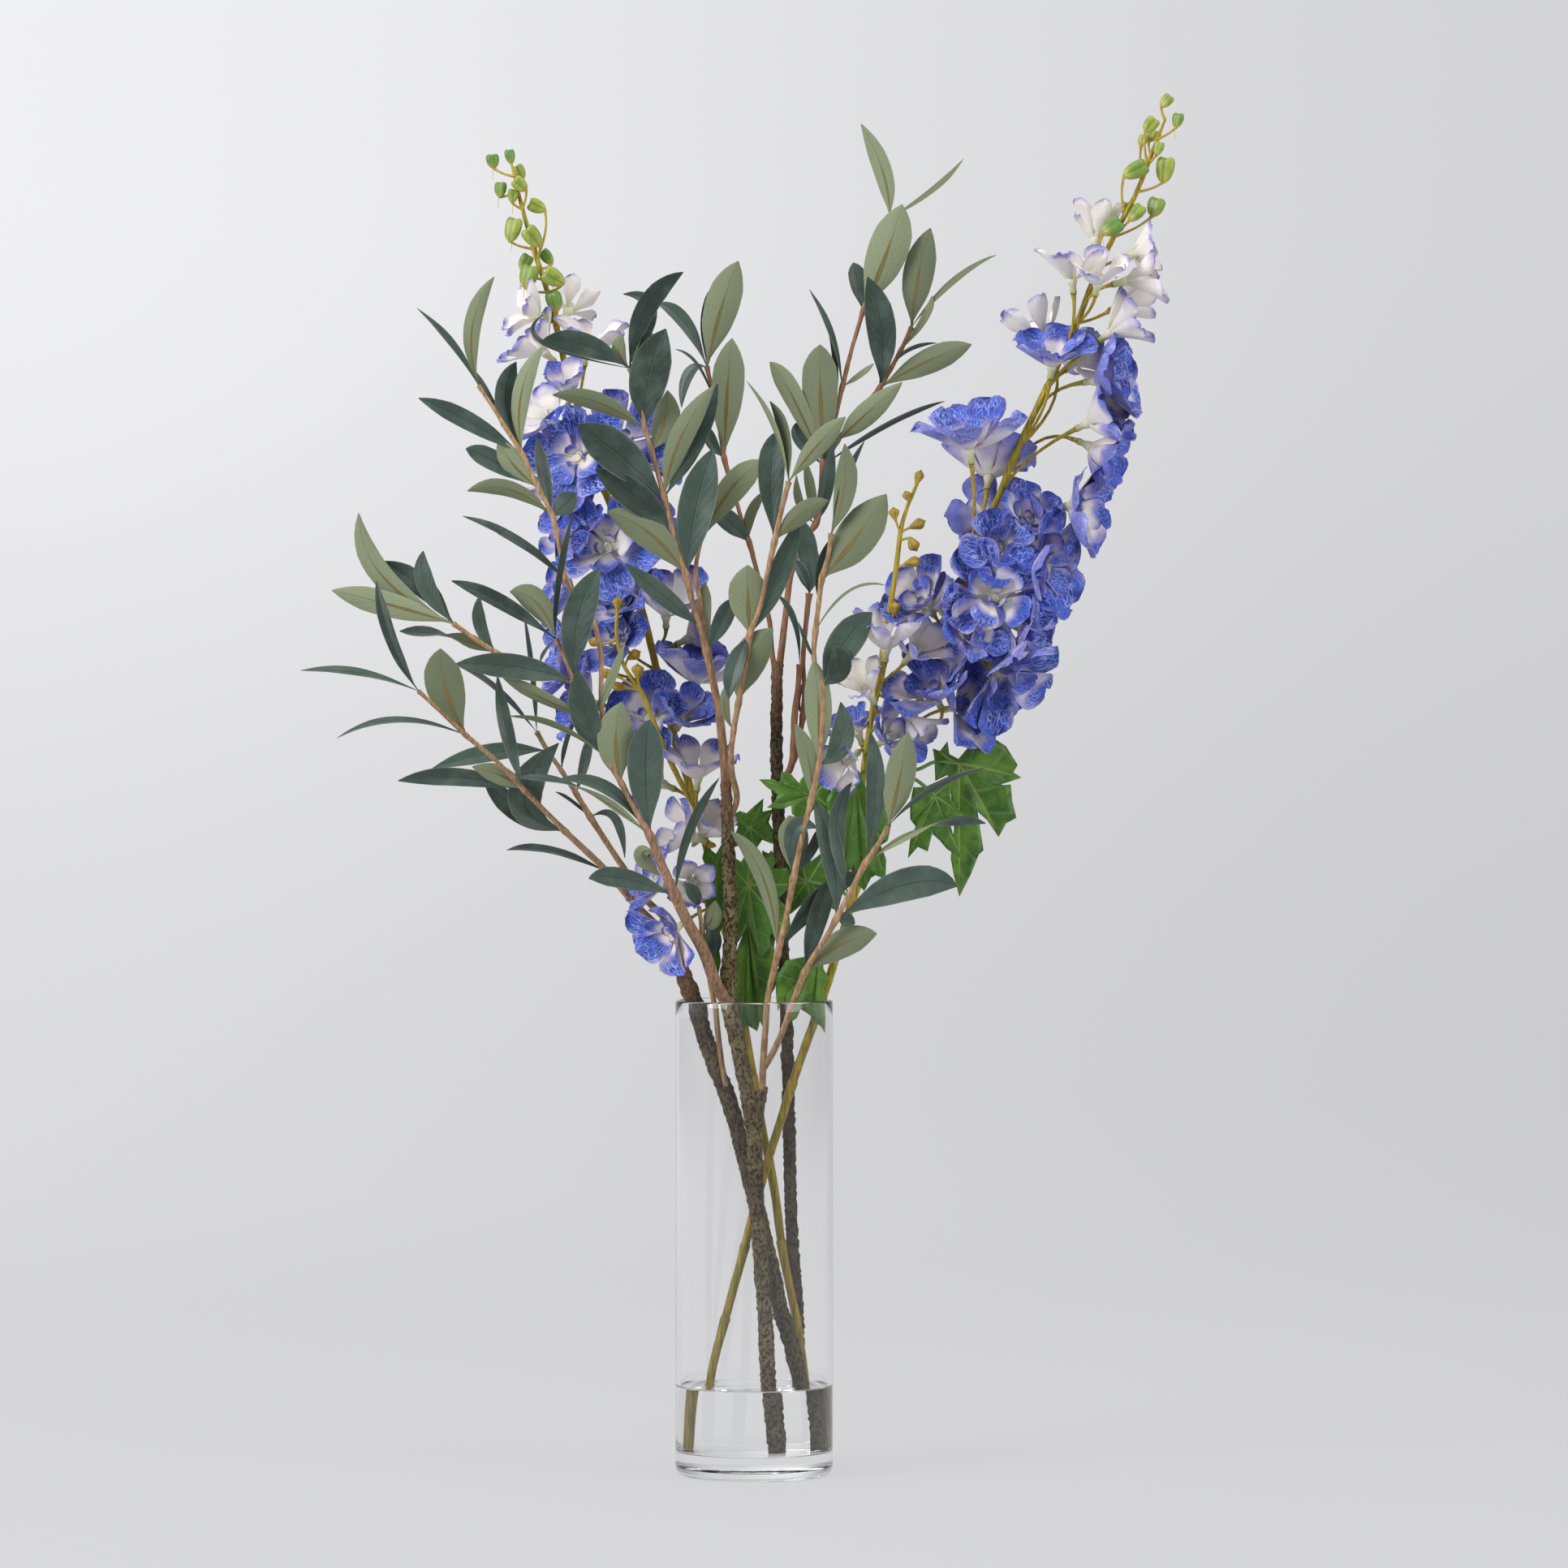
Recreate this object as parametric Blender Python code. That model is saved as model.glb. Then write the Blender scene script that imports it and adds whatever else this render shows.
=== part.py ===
"""Two delphinium stems and three olive branches in a clear glass cylinder vase with a little water.

Places are read as a viewer in front sees them: x to the right, z up, both in millimetres in the
upright plane through the middle of the vase, and y for the depth behind that plane.
"""

import math
import random

import bmesh
import bpy
from mathutils import Vector
from mathutils.bvhtree import BVHTree

MM = 0.001

# Vase, in millimetres
VASE_RADIUS = 50.0
VASE_WALL = 3.0
VASE_HEIGHT = 301.0
VASE_FLOOR = 15.0
FOOT_ROUND = 6.0
WATER_TOP = 56.0
SEAT_GAP = 0.35
CUT_GAP = 0.45

# The viewer, whose sight lines carry a place seen in the plane y = 0 to its real depth
VIEW_X = 19.0
VIEW_Z = 438.0
VIEW_DISTANCE = 3711.0

# Blades and tubes
LEAF_THICK = 1.3
PETAL_THICK = 1.3
LEAF_PROFILE = ((0.10, 0.16), (0.34, 0.86), (0.62, 1.0), (0.88, 0.52))
KEPT_SHARE = 0.97
THINNEST = 0.02
CONE_LENGTH = 9.0
RING_RADIUS = 2.1
TRIES = 90
GRAZE = 9

# Each stem runs from its foot on the vase's floor: x, z, depth, radius
TRUNKS = {
    "olive_left_trunk": (
        (33, 16, -1, 4.9), (29, 60, -1, 4.9), (24, 80, -1, 4.9), (18, 100, -1, 5), (9, 140, -2, 5),
        (-1, 180, -3, 5), (-6, 200, -3, 5), (-17, 240, -3, 5.1), (-25, 260, -3, 5.2),
        (-32, 280, -3, 5.4), (-38, 300, -3, 5.5), (-43, 312, -3, 5.4), (-48, 326, -1, 4.6)),
    "olive_middle_trunk": (
        (12, 16, -15, 4.9), (9, 60, -15, 4.8), (7, 100, -15, 4.7), (4, 140, -15, 4.6),
        (1.5, 180, -15, 4.6), (0, 210, -15, 4.8), (-3, 235, -15, 4.9), (-7, 255, -15, 4.8),
        (-12, 280, -15, 4.9), (-16, 298, -15, 5.4), (-16, 318, -15, 4.9), (-15, 345, -15, 4.5),
        (-16, 390, -16, 4.2), (-17, 420, -17, 3.9), (-18, 440, -18, 3.3)),
    "olive_right_trunk": (
        (31, 16, 21, 4), (29, 60, 22, 4), (27.5, 110, 23, 4), (24.5, 150, 23, 4), (23, 200, 22, 4),
        (22, 240, 20, 4), (20.5, 290, 17, 4), (18, 340, 12, 3.9), (16, 400, 4, 3.8),
        (14.5, 450, -4, 3.8), (14.5, 500, -9, 3.7), (15, 516, -10, 3.7)),
}

STEMS = {
    "delphinium_left_stem": (
        (36, 16, 13, 2.9), (32.5, 62, 13, 2.9), (26.5, 100, 13, 2.9), (18.5, 140, 12.5, 2.9),
        (13, 180, 12.5, 2.9), (5, 220, 12.5, 2.9), (-2, 260, 13, 2.9), (-9, 300, 14, 2.9),
        (-21, 360, 16, 2.8), (-36, 420, 20, 2.7), (-57, 490, 24, 2.6), (-69, 540, 24, 2.5),
        (-84, 590, 24, 2.4), (-99, 640, 24, 2.2), (-118, 697, 24, 2.2), (-131, 750, 22, 1.9),
        (-138, 772, 21, 1.7), (-147, 803, 20, 1.4), (-152, 824, 20, 1.0)),
    "delphinium_right_stem": (
        (-31, 16, 6, 2.9), (-27.5, 62, 6, 2.9), (-18, 100, 6, 2.9), (-7, 140, 6, 2.9),
        (6, 190, 5.5, 2.9), (15.5, 220, 5, 2.9), (28.5, 260, 4, 2.9), (43, 300, 3, 2.8),
        (61, 359, 3, 2.7), (80, 420, 3, 2.6), (98, 472, 2, 2.5), (119, 528, 0, 2.5),
        (139, 581, 0, 2.4), (157, 625, 0, 2.3), (168, 652, 0, 2.2), (188, 694, 0, 2.2),
        (205, 731, 0, 2.1), (219, 766, 2, 1.9), (228, 785, 2, 1.8), (243, 814, 1, 1.6),
        (254, 842, 0, 1.3), (261, 860, 0, 0.9)),
}

SIDE_BRANCHES = {
    "delphinium_left_stem": (
        (-36, 420, 20, 1.9), (-47, 440, 4, 1.8), (-60, 468, -13, 1.7), (-72, 497, -16, 1.5),
        (-82, 512, -17, 1.3), (-87, 530, -17, 1.2), (-87, 549, -17, 1.0)),
    "delphinium_right_stem": (
        (61, 359, 3, 2.2), (66, 405, -6, 2.1), (70, 450, -12, 2.0), (77, 495, -13, 1.9),
        (85, 542, -13, 1.8), (90, 574, -12, 1.6), (95, 607, -12, 1.3), (104, 630, -12, 1.0)),
}

# A spray is a list of twigs. A twig is its path (x, z, depth, radius) and its leaves. A leaf grows from a
# numbered point of the path: point, x and z of its middle, x and z of its tip, width, roll, depth gained.
# Roll 0 shows the dark upper face, 180 the pale one, 90 an edge, and a pair is a twist from base to tip.
SPRAYS = {
    "olive_left_low_spray": [
        (((-53, 336, 1, 2.9), (-63, 349, 5, 2.5), (-75, 361, 5, 2.3), (-93, 382, -4, 2.1),
          (-120, 408, -20, 1.9), (-131, 419, -26, 1.6), (-146, 434, -34, 1.6), (-163, 452, -42, 1.4),
          (-183, 469, -50, 1.5), (-198, 483, -56, 1.2), (-213, 497, -60, 1.3)),
         ((3, -128, 395, -157, 396, 11, 65, -22), (4, -146, 428, -124, 464, 22, 12, -14),
          (4, -148, 420, -172, 442, 15, 5, 6), (6, -160, 443, -179, 449, 12, 175, -12),
          (6, -186, 442, -226, 440, 12, 15, 4), (6, -157, 470, -163, 507, 10, 30, 10),
          (8, -196, 499, -199, 524, 24, 180, -10), (8, -226, 478, -265, 467, 11, 68, -20),
          (10, -250, 508, -288, 510, 11, 66, -18), (10, -231, 529, -240, 567, 12, 50, -3)))],
    "olive_left_mid_spray": [
        (((-47, 337, 7, 2.6), (-56, 352, 12, 2.4), (-68, 364, 14, 2.2), (-83, 385, 9, 2.0),
          (-95, 403, 2, 1.9), (-104, 417, -4, 2.0), (-113, 432, -8, 1.6), (-122, 446, -12, 1.5),
          (-131, 459, -16, 1.5), (-138, 471, -20, 1.5)),
         ((5, -88, 417, -82, 391, 9, 50, -8), (5, -116, 427, -126, 433, 5, 60, -4),
          (7, -120, 464, -112, 482, 6, 60, 4), (6, -108, 452, -104, 471, 8, 30, 6),
          (8, -165, 458, -204, 448, 12, 20, 2), (9, -165, 499, -190, 514, 10, 65, 8),
          (9, -141, 505, -146, 546, 7, 60, 6)))],
    "olive_fork_spray": [
        (((-24, 311, -24, 3.9), (-32, 332, -32, 3.8), (-42, 350, -39, 3.5), (-50, 367, -44, 3.3),
          (-62, 395, -48, 2.6), (-66, 405, -50, 2.5), (-74, 419, -50, 1.9), (-84, 438, -50, 1.8),
          (-94, 455, -48, 1.7), (-103, 478, -46, 1.6), (-114, 503, -44, 1.6), (-120, 518, -42, 1.4),
          (-126, 530, -40, 1.5)),
         ((3, -83, 378, -105, 378, 13, 5, -12), (3, -42, 408, -22, 442, 11, 55, -14),
          (5, -69, 448, -66, 479, 23, 0, -10), (5, -108, 434, -149, 442, 11, (170, 20), -14),
          (5, -92, 434, -124, 441, 10, 35, -2), (4, -71, 393, -60, 380, 11, 175, 8),
          (7, -88, 464, -84, 490, 23, 180, -6), (8, -125, 474, -156, 481, 10, 115, -14),
          (8, -107, 480, -112, 511, 18, 0, -6), (9, -135, 493, -160, 506, 10, 145, -8),
          (9, -93, 500, -82, 528, 7, 150, -4), (10, -150, 512, -190, 514, 16, 5, -16),
          (10, -112, 542, -98, 575, 20, 0, -8), (12, -125, 565, -115, 610, 8, 60, -4),
          (12, -138, 553, -155, 560, 16, 170, 4), (12, -160, 553, -192, 567, 10, 15, -6),
          (12, -132, 523, -136, 515, 5, 60, -4))),
        (((-114, 503, -44, 1.6), (-135, 508, -40, 1.5), (-150, 513, -38, 1.5), (-163, 521, -38, 1.6),
          (-177, 530, -42, 1.4), (-191, 540, -46, 1.5)),
         ((3, -192, 531, -225, 535, 16, (178, 20), -6), (3, -174, 538, -174, 558, 9, 25, 6),
          (5, -232, 552, -268, 561, 16, 180, -10), (5, -236, 570, -251, 610, 14, 178, 4),
          (5, -208, 563, -210, 586, 12, 12, 8), (5, -212, 564, -238, 579, 14, 10, 14))),
        (((-94, 455, -48, 1.7), (-97, 490, -36, 1.6), (-98, 525, -30, 1.6), (-105, 549, -30, 1.6),
          (-119, 567, -32, 1.6), (-123, 586, -34, 1.4), (-128, 608, -36, 1.6), (-137, 626, -38, 1.4),
          (-147, 647, -40, 1.6), (-157, 663, -42, 1.3), (-167, 679, -44, 1.2), (-175, 691, -46, 1.3)),
         ((4, -150, 592, -185, 608, 10, 52, -8), (4, -141, 585, -163, 597, 8, 60, 2),
          (6, -155, 625, -182, 624, 11, 165, -8), (6, -121, 615, -113, 623, 14, 10, 6),
          (6, -134, 635, -138, 658, 10, 30, 4), (8, -181, 668, -213, 683, 12, 8, -8),
          (8, -158, 680, -151, 706, 17, 30, 2), (8, -148, 685, -134, 716, 12, 170, -8),
          (7, -165, 643, -183, 651, 13, 10, 2), (7, -153, 641, -162, 657, 15, 160, -6),
          (11, -179, 728, -165, 760, 11, 175, 4), (11, -192, 717, -214, 740, 9, 60, -6),
          (9, -170, 686, -181, 704, 6, 40, 4)))],
    "olive_leader_spray": [
        (((-18.5, 446, -18, 2.9), (-20, 463, -18, 2.8), (-22, 482, -19, 2.6), (-26, 503, -20, 2.4),
          (-30, 522, -21, 2.6), (-34, 538, -22, 2.0), (-39, 553, -22, 1.9), (-43, 570, -23, 2.2),
          (-48, 585, -23, 1.7), (-52, 600, -24, 1.6), (-57, 620, -24, 1.9), (-61, 635, -24, 1.5),
          (-65, 650, -25, 1.4), (-69, 663, -25, 1.6), (-73, 683, -26, 1.3), (-79, 702, -26, 1.5)),
         ((4, -20, 542, -14, 556, 12, 5, -8), (5, -57, 557, -82, 578, 12, 5, -10),
          (4, -32, 548, -31, 566, 10, 160, 8), (7, -37, 612, -26, 651, 23, 0, -6),
          (7, -66, 597, -93, 611, 20, 180, -12), (9, -74, 619, -101, 638, 19, 5, -10),
          (10, -86, 647, -112, 666, 25, 0, -14), (10, -47, 657, -25, 691, 15, 178, -10),
          (10, -38, 655, -23, 692, 13, 10, -2), (13, -67, 696, -56, 727, 25, 0, -8),
          (13, -98, 680, -128, 685, 12, 168, -12), (12, -57, 667, -55, 688, 18, 165, 8),
          (15, -108, 717, -135, 719, 15, 0, -10), (15, -134, 718, -134, 736, 4, 40, -12),
          (15, -86, 713, -83, 724, 9, 170, -2), (15, -69, 740, -45, 763, 14, 25, -6),
          (15, -66, 738, -83, 749, 9, 15, 6), (15, -73, 718, -60, 723, 7, 150, 4),
          (14, -74, 702, -72, 716, 9, 160, 6))),
        (((-30, 522, -21, 2.0), (-33, 548, -14, 1.6), (-37, 575, -12, 1.5), (-34, 592, -12, 1.3)),
         ((3, -14, 626, 7, 643, 18, 168, -4),))],
    "olive_centre_spray": [
        (((-11, 428, -18, 2.0), (-14, 444, -24, 2.1), (-14.5, 456, -26, 1.9), (-13, 472, -28, 1.8),
          (-10, 489, -28, 2.0), (-7, 505, -28, 1.7), (-4, 520, -28, 1.7), (-3, 532, -28, 2.1),
          (3, 548, -28, 1.6), (8, 570, -28, 1.6), (13, 592, -28, 1.9), (17, 610, -28, 1.6),
          (22, 630, -28, 1.8)),
         ((4, -4, 515, 12, 537, 22, 180, -8), (3, -19, 488, -15, 503, 7, 160, -4),
          (7, -4, 556, -4, 577, 24, 180, -9), (7, 14, 567, 29, 607, 14, 8, -5),
          (7, -12, 514, -16, 492, 12, 10, -6), (10, 29, 609, 47, 618, 13, 178, -8),
          (10, 11, 635, 15, 662, 17, 0, 4), (12, 12, 665, -5, 694, 9, 112, -6),
          (12, 40, 653, 58, 671, 13, 178, -12), (12, 19, 660, 10, 681, 9, 140, -2)))],
    "olive_top_spray": [
        (((11, 525, -9, 1.7), (10, 540, -9, 1.6), (5, 560, -8, 1.5), (1, 576, -7, 1.5),
          (-3, 591, -6, 1.7), (-8, 606, -5, 1.4), (-13, 624, -4, 1.4), (-19, 645, -4, 1.7),
          (-21, 657, -4, 1.3), (-25, 680, -4, 1.3), (-30, 703, -4, 1.5)),
         ((4, -15, 604, -28, 614, 13, 10, -4), (4, -3, 608, 8, 625, 8, 155, -4),
          (7, -17, 688, -14, 721, 21, 180, -6), (7, -27, 655, -30, 667, 8, 10, -4),
          (10, -21, 740, -10, 770, 22, 178, -6), (10, -41, 698, -46, 677, 10, 40, 4),
          (10, -45, 732, -62, 743, 10, 20, 4), (10, -30, 735, -23, 757, 9, 20, 6),
          (9, -36, 704, -50, 714, 4, 60, -2)))],
    "olive_tall_spray": [
        (((17.5, 524, -8, 2.2), (20, 545, -6, 2.0), (25, 577, -4, 1.9), (33, 595, -4, 1.7),
          (39, 603, -4, 2.0), (42, 620, -5, 1.7), (44, 640, -6, 2.1), (46, 655, -6, 1.5),
          (52, 673, -6, 1.4), (56, 690, -6, 1.6), (62, 714, -5, 1.3), (69, 738, -4, 1.5),
          (77, 768, -3, 1.3), (86, 797, -3, 1.3)),
         ((4, 36, 622, 32, 645, 8, 150, -6), (4, 29, 616, 27, 634, 6, 160, 2),
          (4, 45, 624, 50, 655, 10, 20, 4), (6, 48, 655, 53, 668, 10, 10, -4),
          (6, 42, 688, 42, 717, 23, 180, -8), (6, 25, 683, 10, 706, 14, 165, -4),
          (6, 30, 657, 30, 668, 11, 10, 6), (9, 49, 722, 35, 752, 9, 62, -4),
          (8, 51, 705, 47, 727, 6, 60, 4), (9, 67, 698, 76, 705, 5, 150, 4),
          (11, 84, 775, 94, 806, 26, 178, -7), (11, 66, 757, 63, 769, 12, 10, 5),
          (13, 82, 826, 68, 857, 12, 172, 4), (13, 113, 816, 133, 835, 9, 118, -4),
          (6, 85, 667, 121, 681, 8, 60, 8))),
        (((44, 640, -6, 1.9), (53, 656, -3, 1.6), (66, 673, 1, 1.5), (80, 690, 4, 1.6),
          (87, 702, 4, 1.4), (93, 713, 4, 1.4), (100, 728, 4, 1.5)),
         ((1, 70, 672, 94, 693, 15, 178, -10), (3, 81, 726, 72, 760, 19, 0, -10),
          (3, 111, 707, 138, 717, 17, 168, 2), (4, 98, 714, 116, 718, 5, 60, 3),
          (6, 104, 760, 112, 791, 20, 178, -6), (6, 126, 758, 154, 774, 9, 120, 3),
          (5, 108, 734, 113, 748, 6, 150, 2)))],
    "olive_right_spray": [
        (((19, 441, -8, 2.2), (23, 448, -11, 2.2), (25, 466, -14, 2.1), (26, 484, -15, 2.2),
          (28, 500, -15, 1.8), (29, 514, -15, 1.9)),
         ((5, 25, 541, 14, 559, 8, 60, -3),)),
        (((23, 448, -11, 1.7), (27, 457, -11, 1.7), (29, 469, -10, 1.7), (31, 481, -10, 1.9),
          (32, 495, -10, 1.6), (31, 515, -11, 1.6), (33, 540, -12, 1.6), (35, 559, -13, 2.0)),
         ((7, 34, 585, 29, 607, 13, 5, -3), (7, 31, 571, 25, 581, 8, 20, -6),
          (7, 39, 573, 38, 590, 7, 30, 3), (3, 28, 492, 33, 505, 5, 60, 4)))],
    "olive_front_spray": [
        (((4.5, 238, -17, 2.3), (5.5, 256, -19, 2.3), (7, 280, -21, 2.1), (9, 303, -23, 2.0),
          (15, 330, -28, 2.2), (20, 352, -30, 1.8), (25, 378, -32, 2.2), (30, 402, -33, 1.7),
          (36, 427, -34, 2.0), (41, 450, -33, 1.8), (43, 475, -31, 1.6), (43, 500, -28, 1.7),
          (38, 518, -26, 1.5), (39, 535, -25, 1.9), (41, 552, -25, 1.5), (43, 568, -25, 1.9),
          (47, 583, -24, 1.4), (49, 597, -24, 1.7)),
         ((4, 6, 378, -15, 408, 12, 168, -10), (4, 42, 366, 70, 382, 14, 20, -10),
          (6, 25, 402, 22, 418, 19, 180, -6), (6, 37, 398, 43, 412, 8, 30, -2),
          (6, 25, 408, 40, 410, 11, 0, -10), (8, 35, 452, 26, 476, 12, 172, -7),
          (9, 41, 485, 38, 517, 17, 180, -8), (9, 55, 464, 55, 490, 15, 5, -2),
          (11, 57, 527, 75, 547, 21, 0, -4), (11, 54, 512, 50, 526, 15, 5, -8),
          (13, 60, 561, 84, 564, 7, 102, -6), (14, 42, 573, 48, 593, 8, 30, 3),
          (15, 64, 594, 84, 622, 26, 172, -7), (17, 57, 625, 57.5, 654, 16, 150, -4),
          (17, 57, 630, 70, 655.5, 7.5, 55, 5), (12, 33, 527, 28, 541, 5, 60, -3))),
        (((5.5, 256, -19, 1.8), (10, 264, -21.5, 2.0), (14.5, 273, -23.5, 2.0), (20, 287, -26, 1.9),
          (26, 303, -30, 1.9), (32, 318, -36, 2.1), (38, 329, -39, 1.7), (46, 341, -41, 1.6),
          (52, 352, -42, 2.0), (60, 367, -43, 1.6), (71, 388, -44, 2.0), (79, 400, -44, 1.6),
          (85, 411, -44, 1.5)),
         ((5, 55, 336, 78, 343, 18, 180, -9), (5, 40, 352, 52, 383, 13, 15, -2),
          (8, 50, 392, 38, 428, 15, 10, -6), (8, 96, 374, 129, 373, 21, 0, -9),
          (8, 58, 352, 64, 349, 9, 5, 3), (9, 52, 410, 62, 439, 12, 28, -2),
          (10, 77, 432, 74, 471, 12, 5, -5), (12, 92, 440, 98, 471, 19, 178, -4),
          (12, 113, 436, 147.5, 448.5, 9, 62, -6), (10, 112, 412, 147, 413, 11, (172, 15), -8)))],
    "olive_back_twig": [
        (((-19, 252, -8, 1.7), (-22, 272, -7, 1.8), (-24, 290, -6, 1.8), (-27, 308, -6, 1.7),
          (-30, 327, -8, 1.6), (-33, 345, -11, 1.5), (-35, 360, -13, 1.2)),
         ((5, -27, 352, -25, 364, 12, 165, -3), (6, -38, 368, -44, 375, 9, 10, -8),
          (4, -26, 337, -30, 350, 11, 20, -5)))],
}

# A floret: x and z where its stalk leaves the stem, x, z and depth of its throat, the direction in which it
# opens (right, up, away from the viewer), petal length, how open it is from 0 to 1, and how pale it is.
FLORETS = {
    "delphinium_left": (
        (-21, 360, -50, 346, -19, -0.70, -0.50, -0.50, 26, 0.75, 0.1),
        (-21, 360, -58, 374, -14, -0.75, 0.35, -0.35, 23, 0.70, 0.3),
        (-24, 372, -42, 374, -8, -0.10, -0.30, -0.70, 22, 0.50, 0.5),
        (-30, 398, -38, 404, -6, -0.75, 0.25, -0.30, 26, 0.62, 0.6),
        (-32, 404, -32, 406, -2, 0.55, 0.50, -0.50, 22, 0.45, 0.7),
        (-36, 420, -36, 442, 2, 0.05, 0.95, -0.30, 30, 0.60, 0.6),
        (-38, 425, -58, 438, 22, -0.70, 0.30, -0.10, 24, 0.70, 0.0),
        (-46, 455, -66, 480, 10, -0.45, 0.30, -0.80, 27, 0.90, 0.0),
        (-46, 455, -46, 478, 2, 0.35, 0.55, -0.60, 23, 0.60, 0.3),
        (-52, 475, -37, 502, 8, 0.10, 0.95, -0.20, 32, 0.72, 0.2),
        (-57, 490, -104, 490, 14, -0.80, 0.20, -0.30, 26, 0.80, 0.0),
        (-60, 500, -112, 515, 24, -0.85, 0.25, -0.20, 28, 0.70, 0.1),
        (-62, 510, -86, 528, 4, -0.40, 0.40, -0.70, 24, 0.80, 0.0),
        (-66, 525, -42, 530, 22, 0.65, 0.30, 0.10, 24, 0.70, 0.1),
        (-66, 525, -56, 545, 4, 0.00, 0.90, -0.40, 32, 0.58, 0.5),
        (-69, 540, -84, 552, 8, -0.30, 0.50, -0.70, 25, 0.80, 0.2),
        (-70, 545, -114, 556, 16, -0.80, 0.25, -0.30, 23, 0.60, 0.4),
        (-77, 565, -92, 588, 2, -0.25, 0.20, -0.95, 30, 0.95, 0.0),
        (-80, 575, -112, 598, 12, -0.60, 0.45, -0.60, 25, 0.80, 0.3),
        (-84, 590, -72, 600, 34, 0.50, 0.35, 0.40, 25, 0.80, 0.1),
        (-90, 612, -112, 645, 2, -0.35, 0.15, -0.92, 30, 0.95, 0.0),
        (-92, 618, -84, 655, 12, 0.40, 0.40, -0.70, 29, 0.85, 0.1),
        (-90, 612, -122, 628, 20, -0.40, -0.70, -0.10, 22, 0.80, 0.2),
        (-103, 652, -66, 640, 18, 0.60, 0.20, -0.30, 18, 0.60, 0.1),
        (-105, 658, -127, 668, 8, -0.55, 0.55, -0.60, 25, 0.70, 0.6),
        (-112, 680, -107, 712, 16, 0.10, 0.97, -0.20, 29, 0.62, 0.9),
        (-109, 672, -119, 686, 6, -0.10, 0.75, -0.60, 20, 0.50, 0.5),
        (-118, 697, -133, 712, 16, -0.70, 0.65, -0.20, 28, 0.62, 0.8),
        (-124, 725, -135, 738, 18, -0.72, 0.66, -0.15, 28, 0.60, 0.9),
        (-124, 725, -118, 738, 40, 0.35, 0.60, 0.60, 22, 0.50, 0.9)),
    "delphinium_right": (
        (70, 450, 62, 454, -30, -0.50, -0.50, -0.70, 23, 0.55, 0.6),
        (66, 420, 68, 470, 2, -0.10, 0.70, -0.50, 22, 0.70, 0.2),
        (70, 445, 84, 466, -26, 0.55, 0.30, -0.50, 22, 0.70, 0.3),
        (74, 470, 77, 497, -30, 0.05, 0.95, -0.25, 29, 0.55, 0.9),
        (76, 488, 84, 524, -28, 0.10, 0.97, -0.20, 30, 0.60, 0.8),
        (77, 495, 98, 480, -20, 0.60, -0.60, -0.20, 22, 0.45, 0.9),
        (78, 500, 100, 520, -18, 0.45, 0.50, -0.50, 24, 0.60, 0.6),
        (98, 472, 117, 494, -16, -0.20, 0.85, -0.45, 33, 0.70, 0.1),
        (98, 472, 126, 488, -6, 0.60, 0.30, -0.70, 33, 0.85, 0.0),
        (106, 493, 126, 514, 20, 0.50, 0.60, 0.50, 26, 0.70, 0.3),
        (110, 503, 154, 508, -12, 0.55, -0.65, -0.45, 32, 0.80, 0.0),
        (110, 503, 158, 518, -2, 0.92, -0.20, -0.25, 30, 0.80, 0.0),
        (112, 510, 140, 500, 28, 0.60, -0.30, 0.55, 28, 0.75, 0.0),
        (119, 528, 110, 550, -10, -0.50, 0.55, -0.60, 27, 0.70, 0.2),
        (119, 528, 120, 548, 14, -0.35, 0.80, 0.10, 28, 0.75, 0.0),
        (122, 535, 136, 532, -18, 0.30, 0.20, -0.80, 22, 0.70, 0.2),
        (130, 556, 153, 556, -16, 0.10, 0.10, -0.98, 33, 0.97, 0.1),
        (126, 545, 168, 538, 6, 0.85, -0.15, -0.30, 28, 0.80, 0.1),
        (126, 545, 160, 548, 30, 0.65, 0.10, 0.65, 27, 0.80, 0.0),
        (139, 581, 154, 590, -8, 0.15, 0.60, -0.70, 28, 0.80, 0.1),
        (139, 581, 180, 576, -4, 0.85, -0.20, -0.45, 32, 0.85, 0.0),
        (139, 581, 176, 590, 12, 0.75, 0.45, 0.10, 29, 0.80, 0.1),
        (145, 593, 172, 604, -8, 0.35, 0.50, -0.65, 24, 0.75, 0.3),
        (151, 607, 200, 614, 0, 0.93, -0.10, -0.30, 31, 0.80, 0.1),
        (148, 600, 150, 606, 28, -0.10, 0.50, 0.80, 26, 0.80, 0.1),
        (136, 575, 137, 650, -22, -0.12, 0.95, -0.25, 34, 0.72, 0.2),
        (139, 581, 150, 633, 10, 0.25, 0.92, 0.20, 33, 0.62, 0.1),
        (157, 625, 212, 667, -8, 0.85, 0.40, -0.30, 28, 0.60, 0.3),
        (157, 625, 213, 652, 4, 0.85, -0.45, -0.20, 28, 0.60, 0.2),
        (168, 652, 217, 694, -2, 0.90, 0.10, -0.35, 29, 0.65, 0.0),
        (168, 652, 190, 704, -10, 0.20, 0.93, -0.25, 31, 0.68, 0.1),
        (180, 680, 203, 706, 6, 0.65, 0.60, 0.20, 26, 0.65, 0.2),
        (168, 652, 183, 722, 12, -0.45, 0.85, 0.15, 27, 0.55, 0.8),
        (188, 694, 226, 724, -4, 0.80, 0.55, -0.15, 27, 0.55, 0.8),
        (197, 714, 202, 758, -6, -0.10, 0.98, -0.10, 27, 0.62, 0.9),
        (205, 731, 219, 757, -10, 0.25, 0.95, -0.15, 28, 0.58, 0.9),
        (205, 731, 236, 757, -4, 0.97, 0.20, -0.10, 27, 0.50, 0.9),
        (213, 752, 217, 784, 10, 0.02, 0.99, 0.10, 25, 0.45, 0.95),
        (219, 766, 238, 777, 0, 0.70, 0.65, -0.20, 26, 0.60, 0.9),
        (205, 731, 232, 742, 22, 0.75, 0.45, 0.45, 24, 0.50, 0.9)),
}

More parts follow.
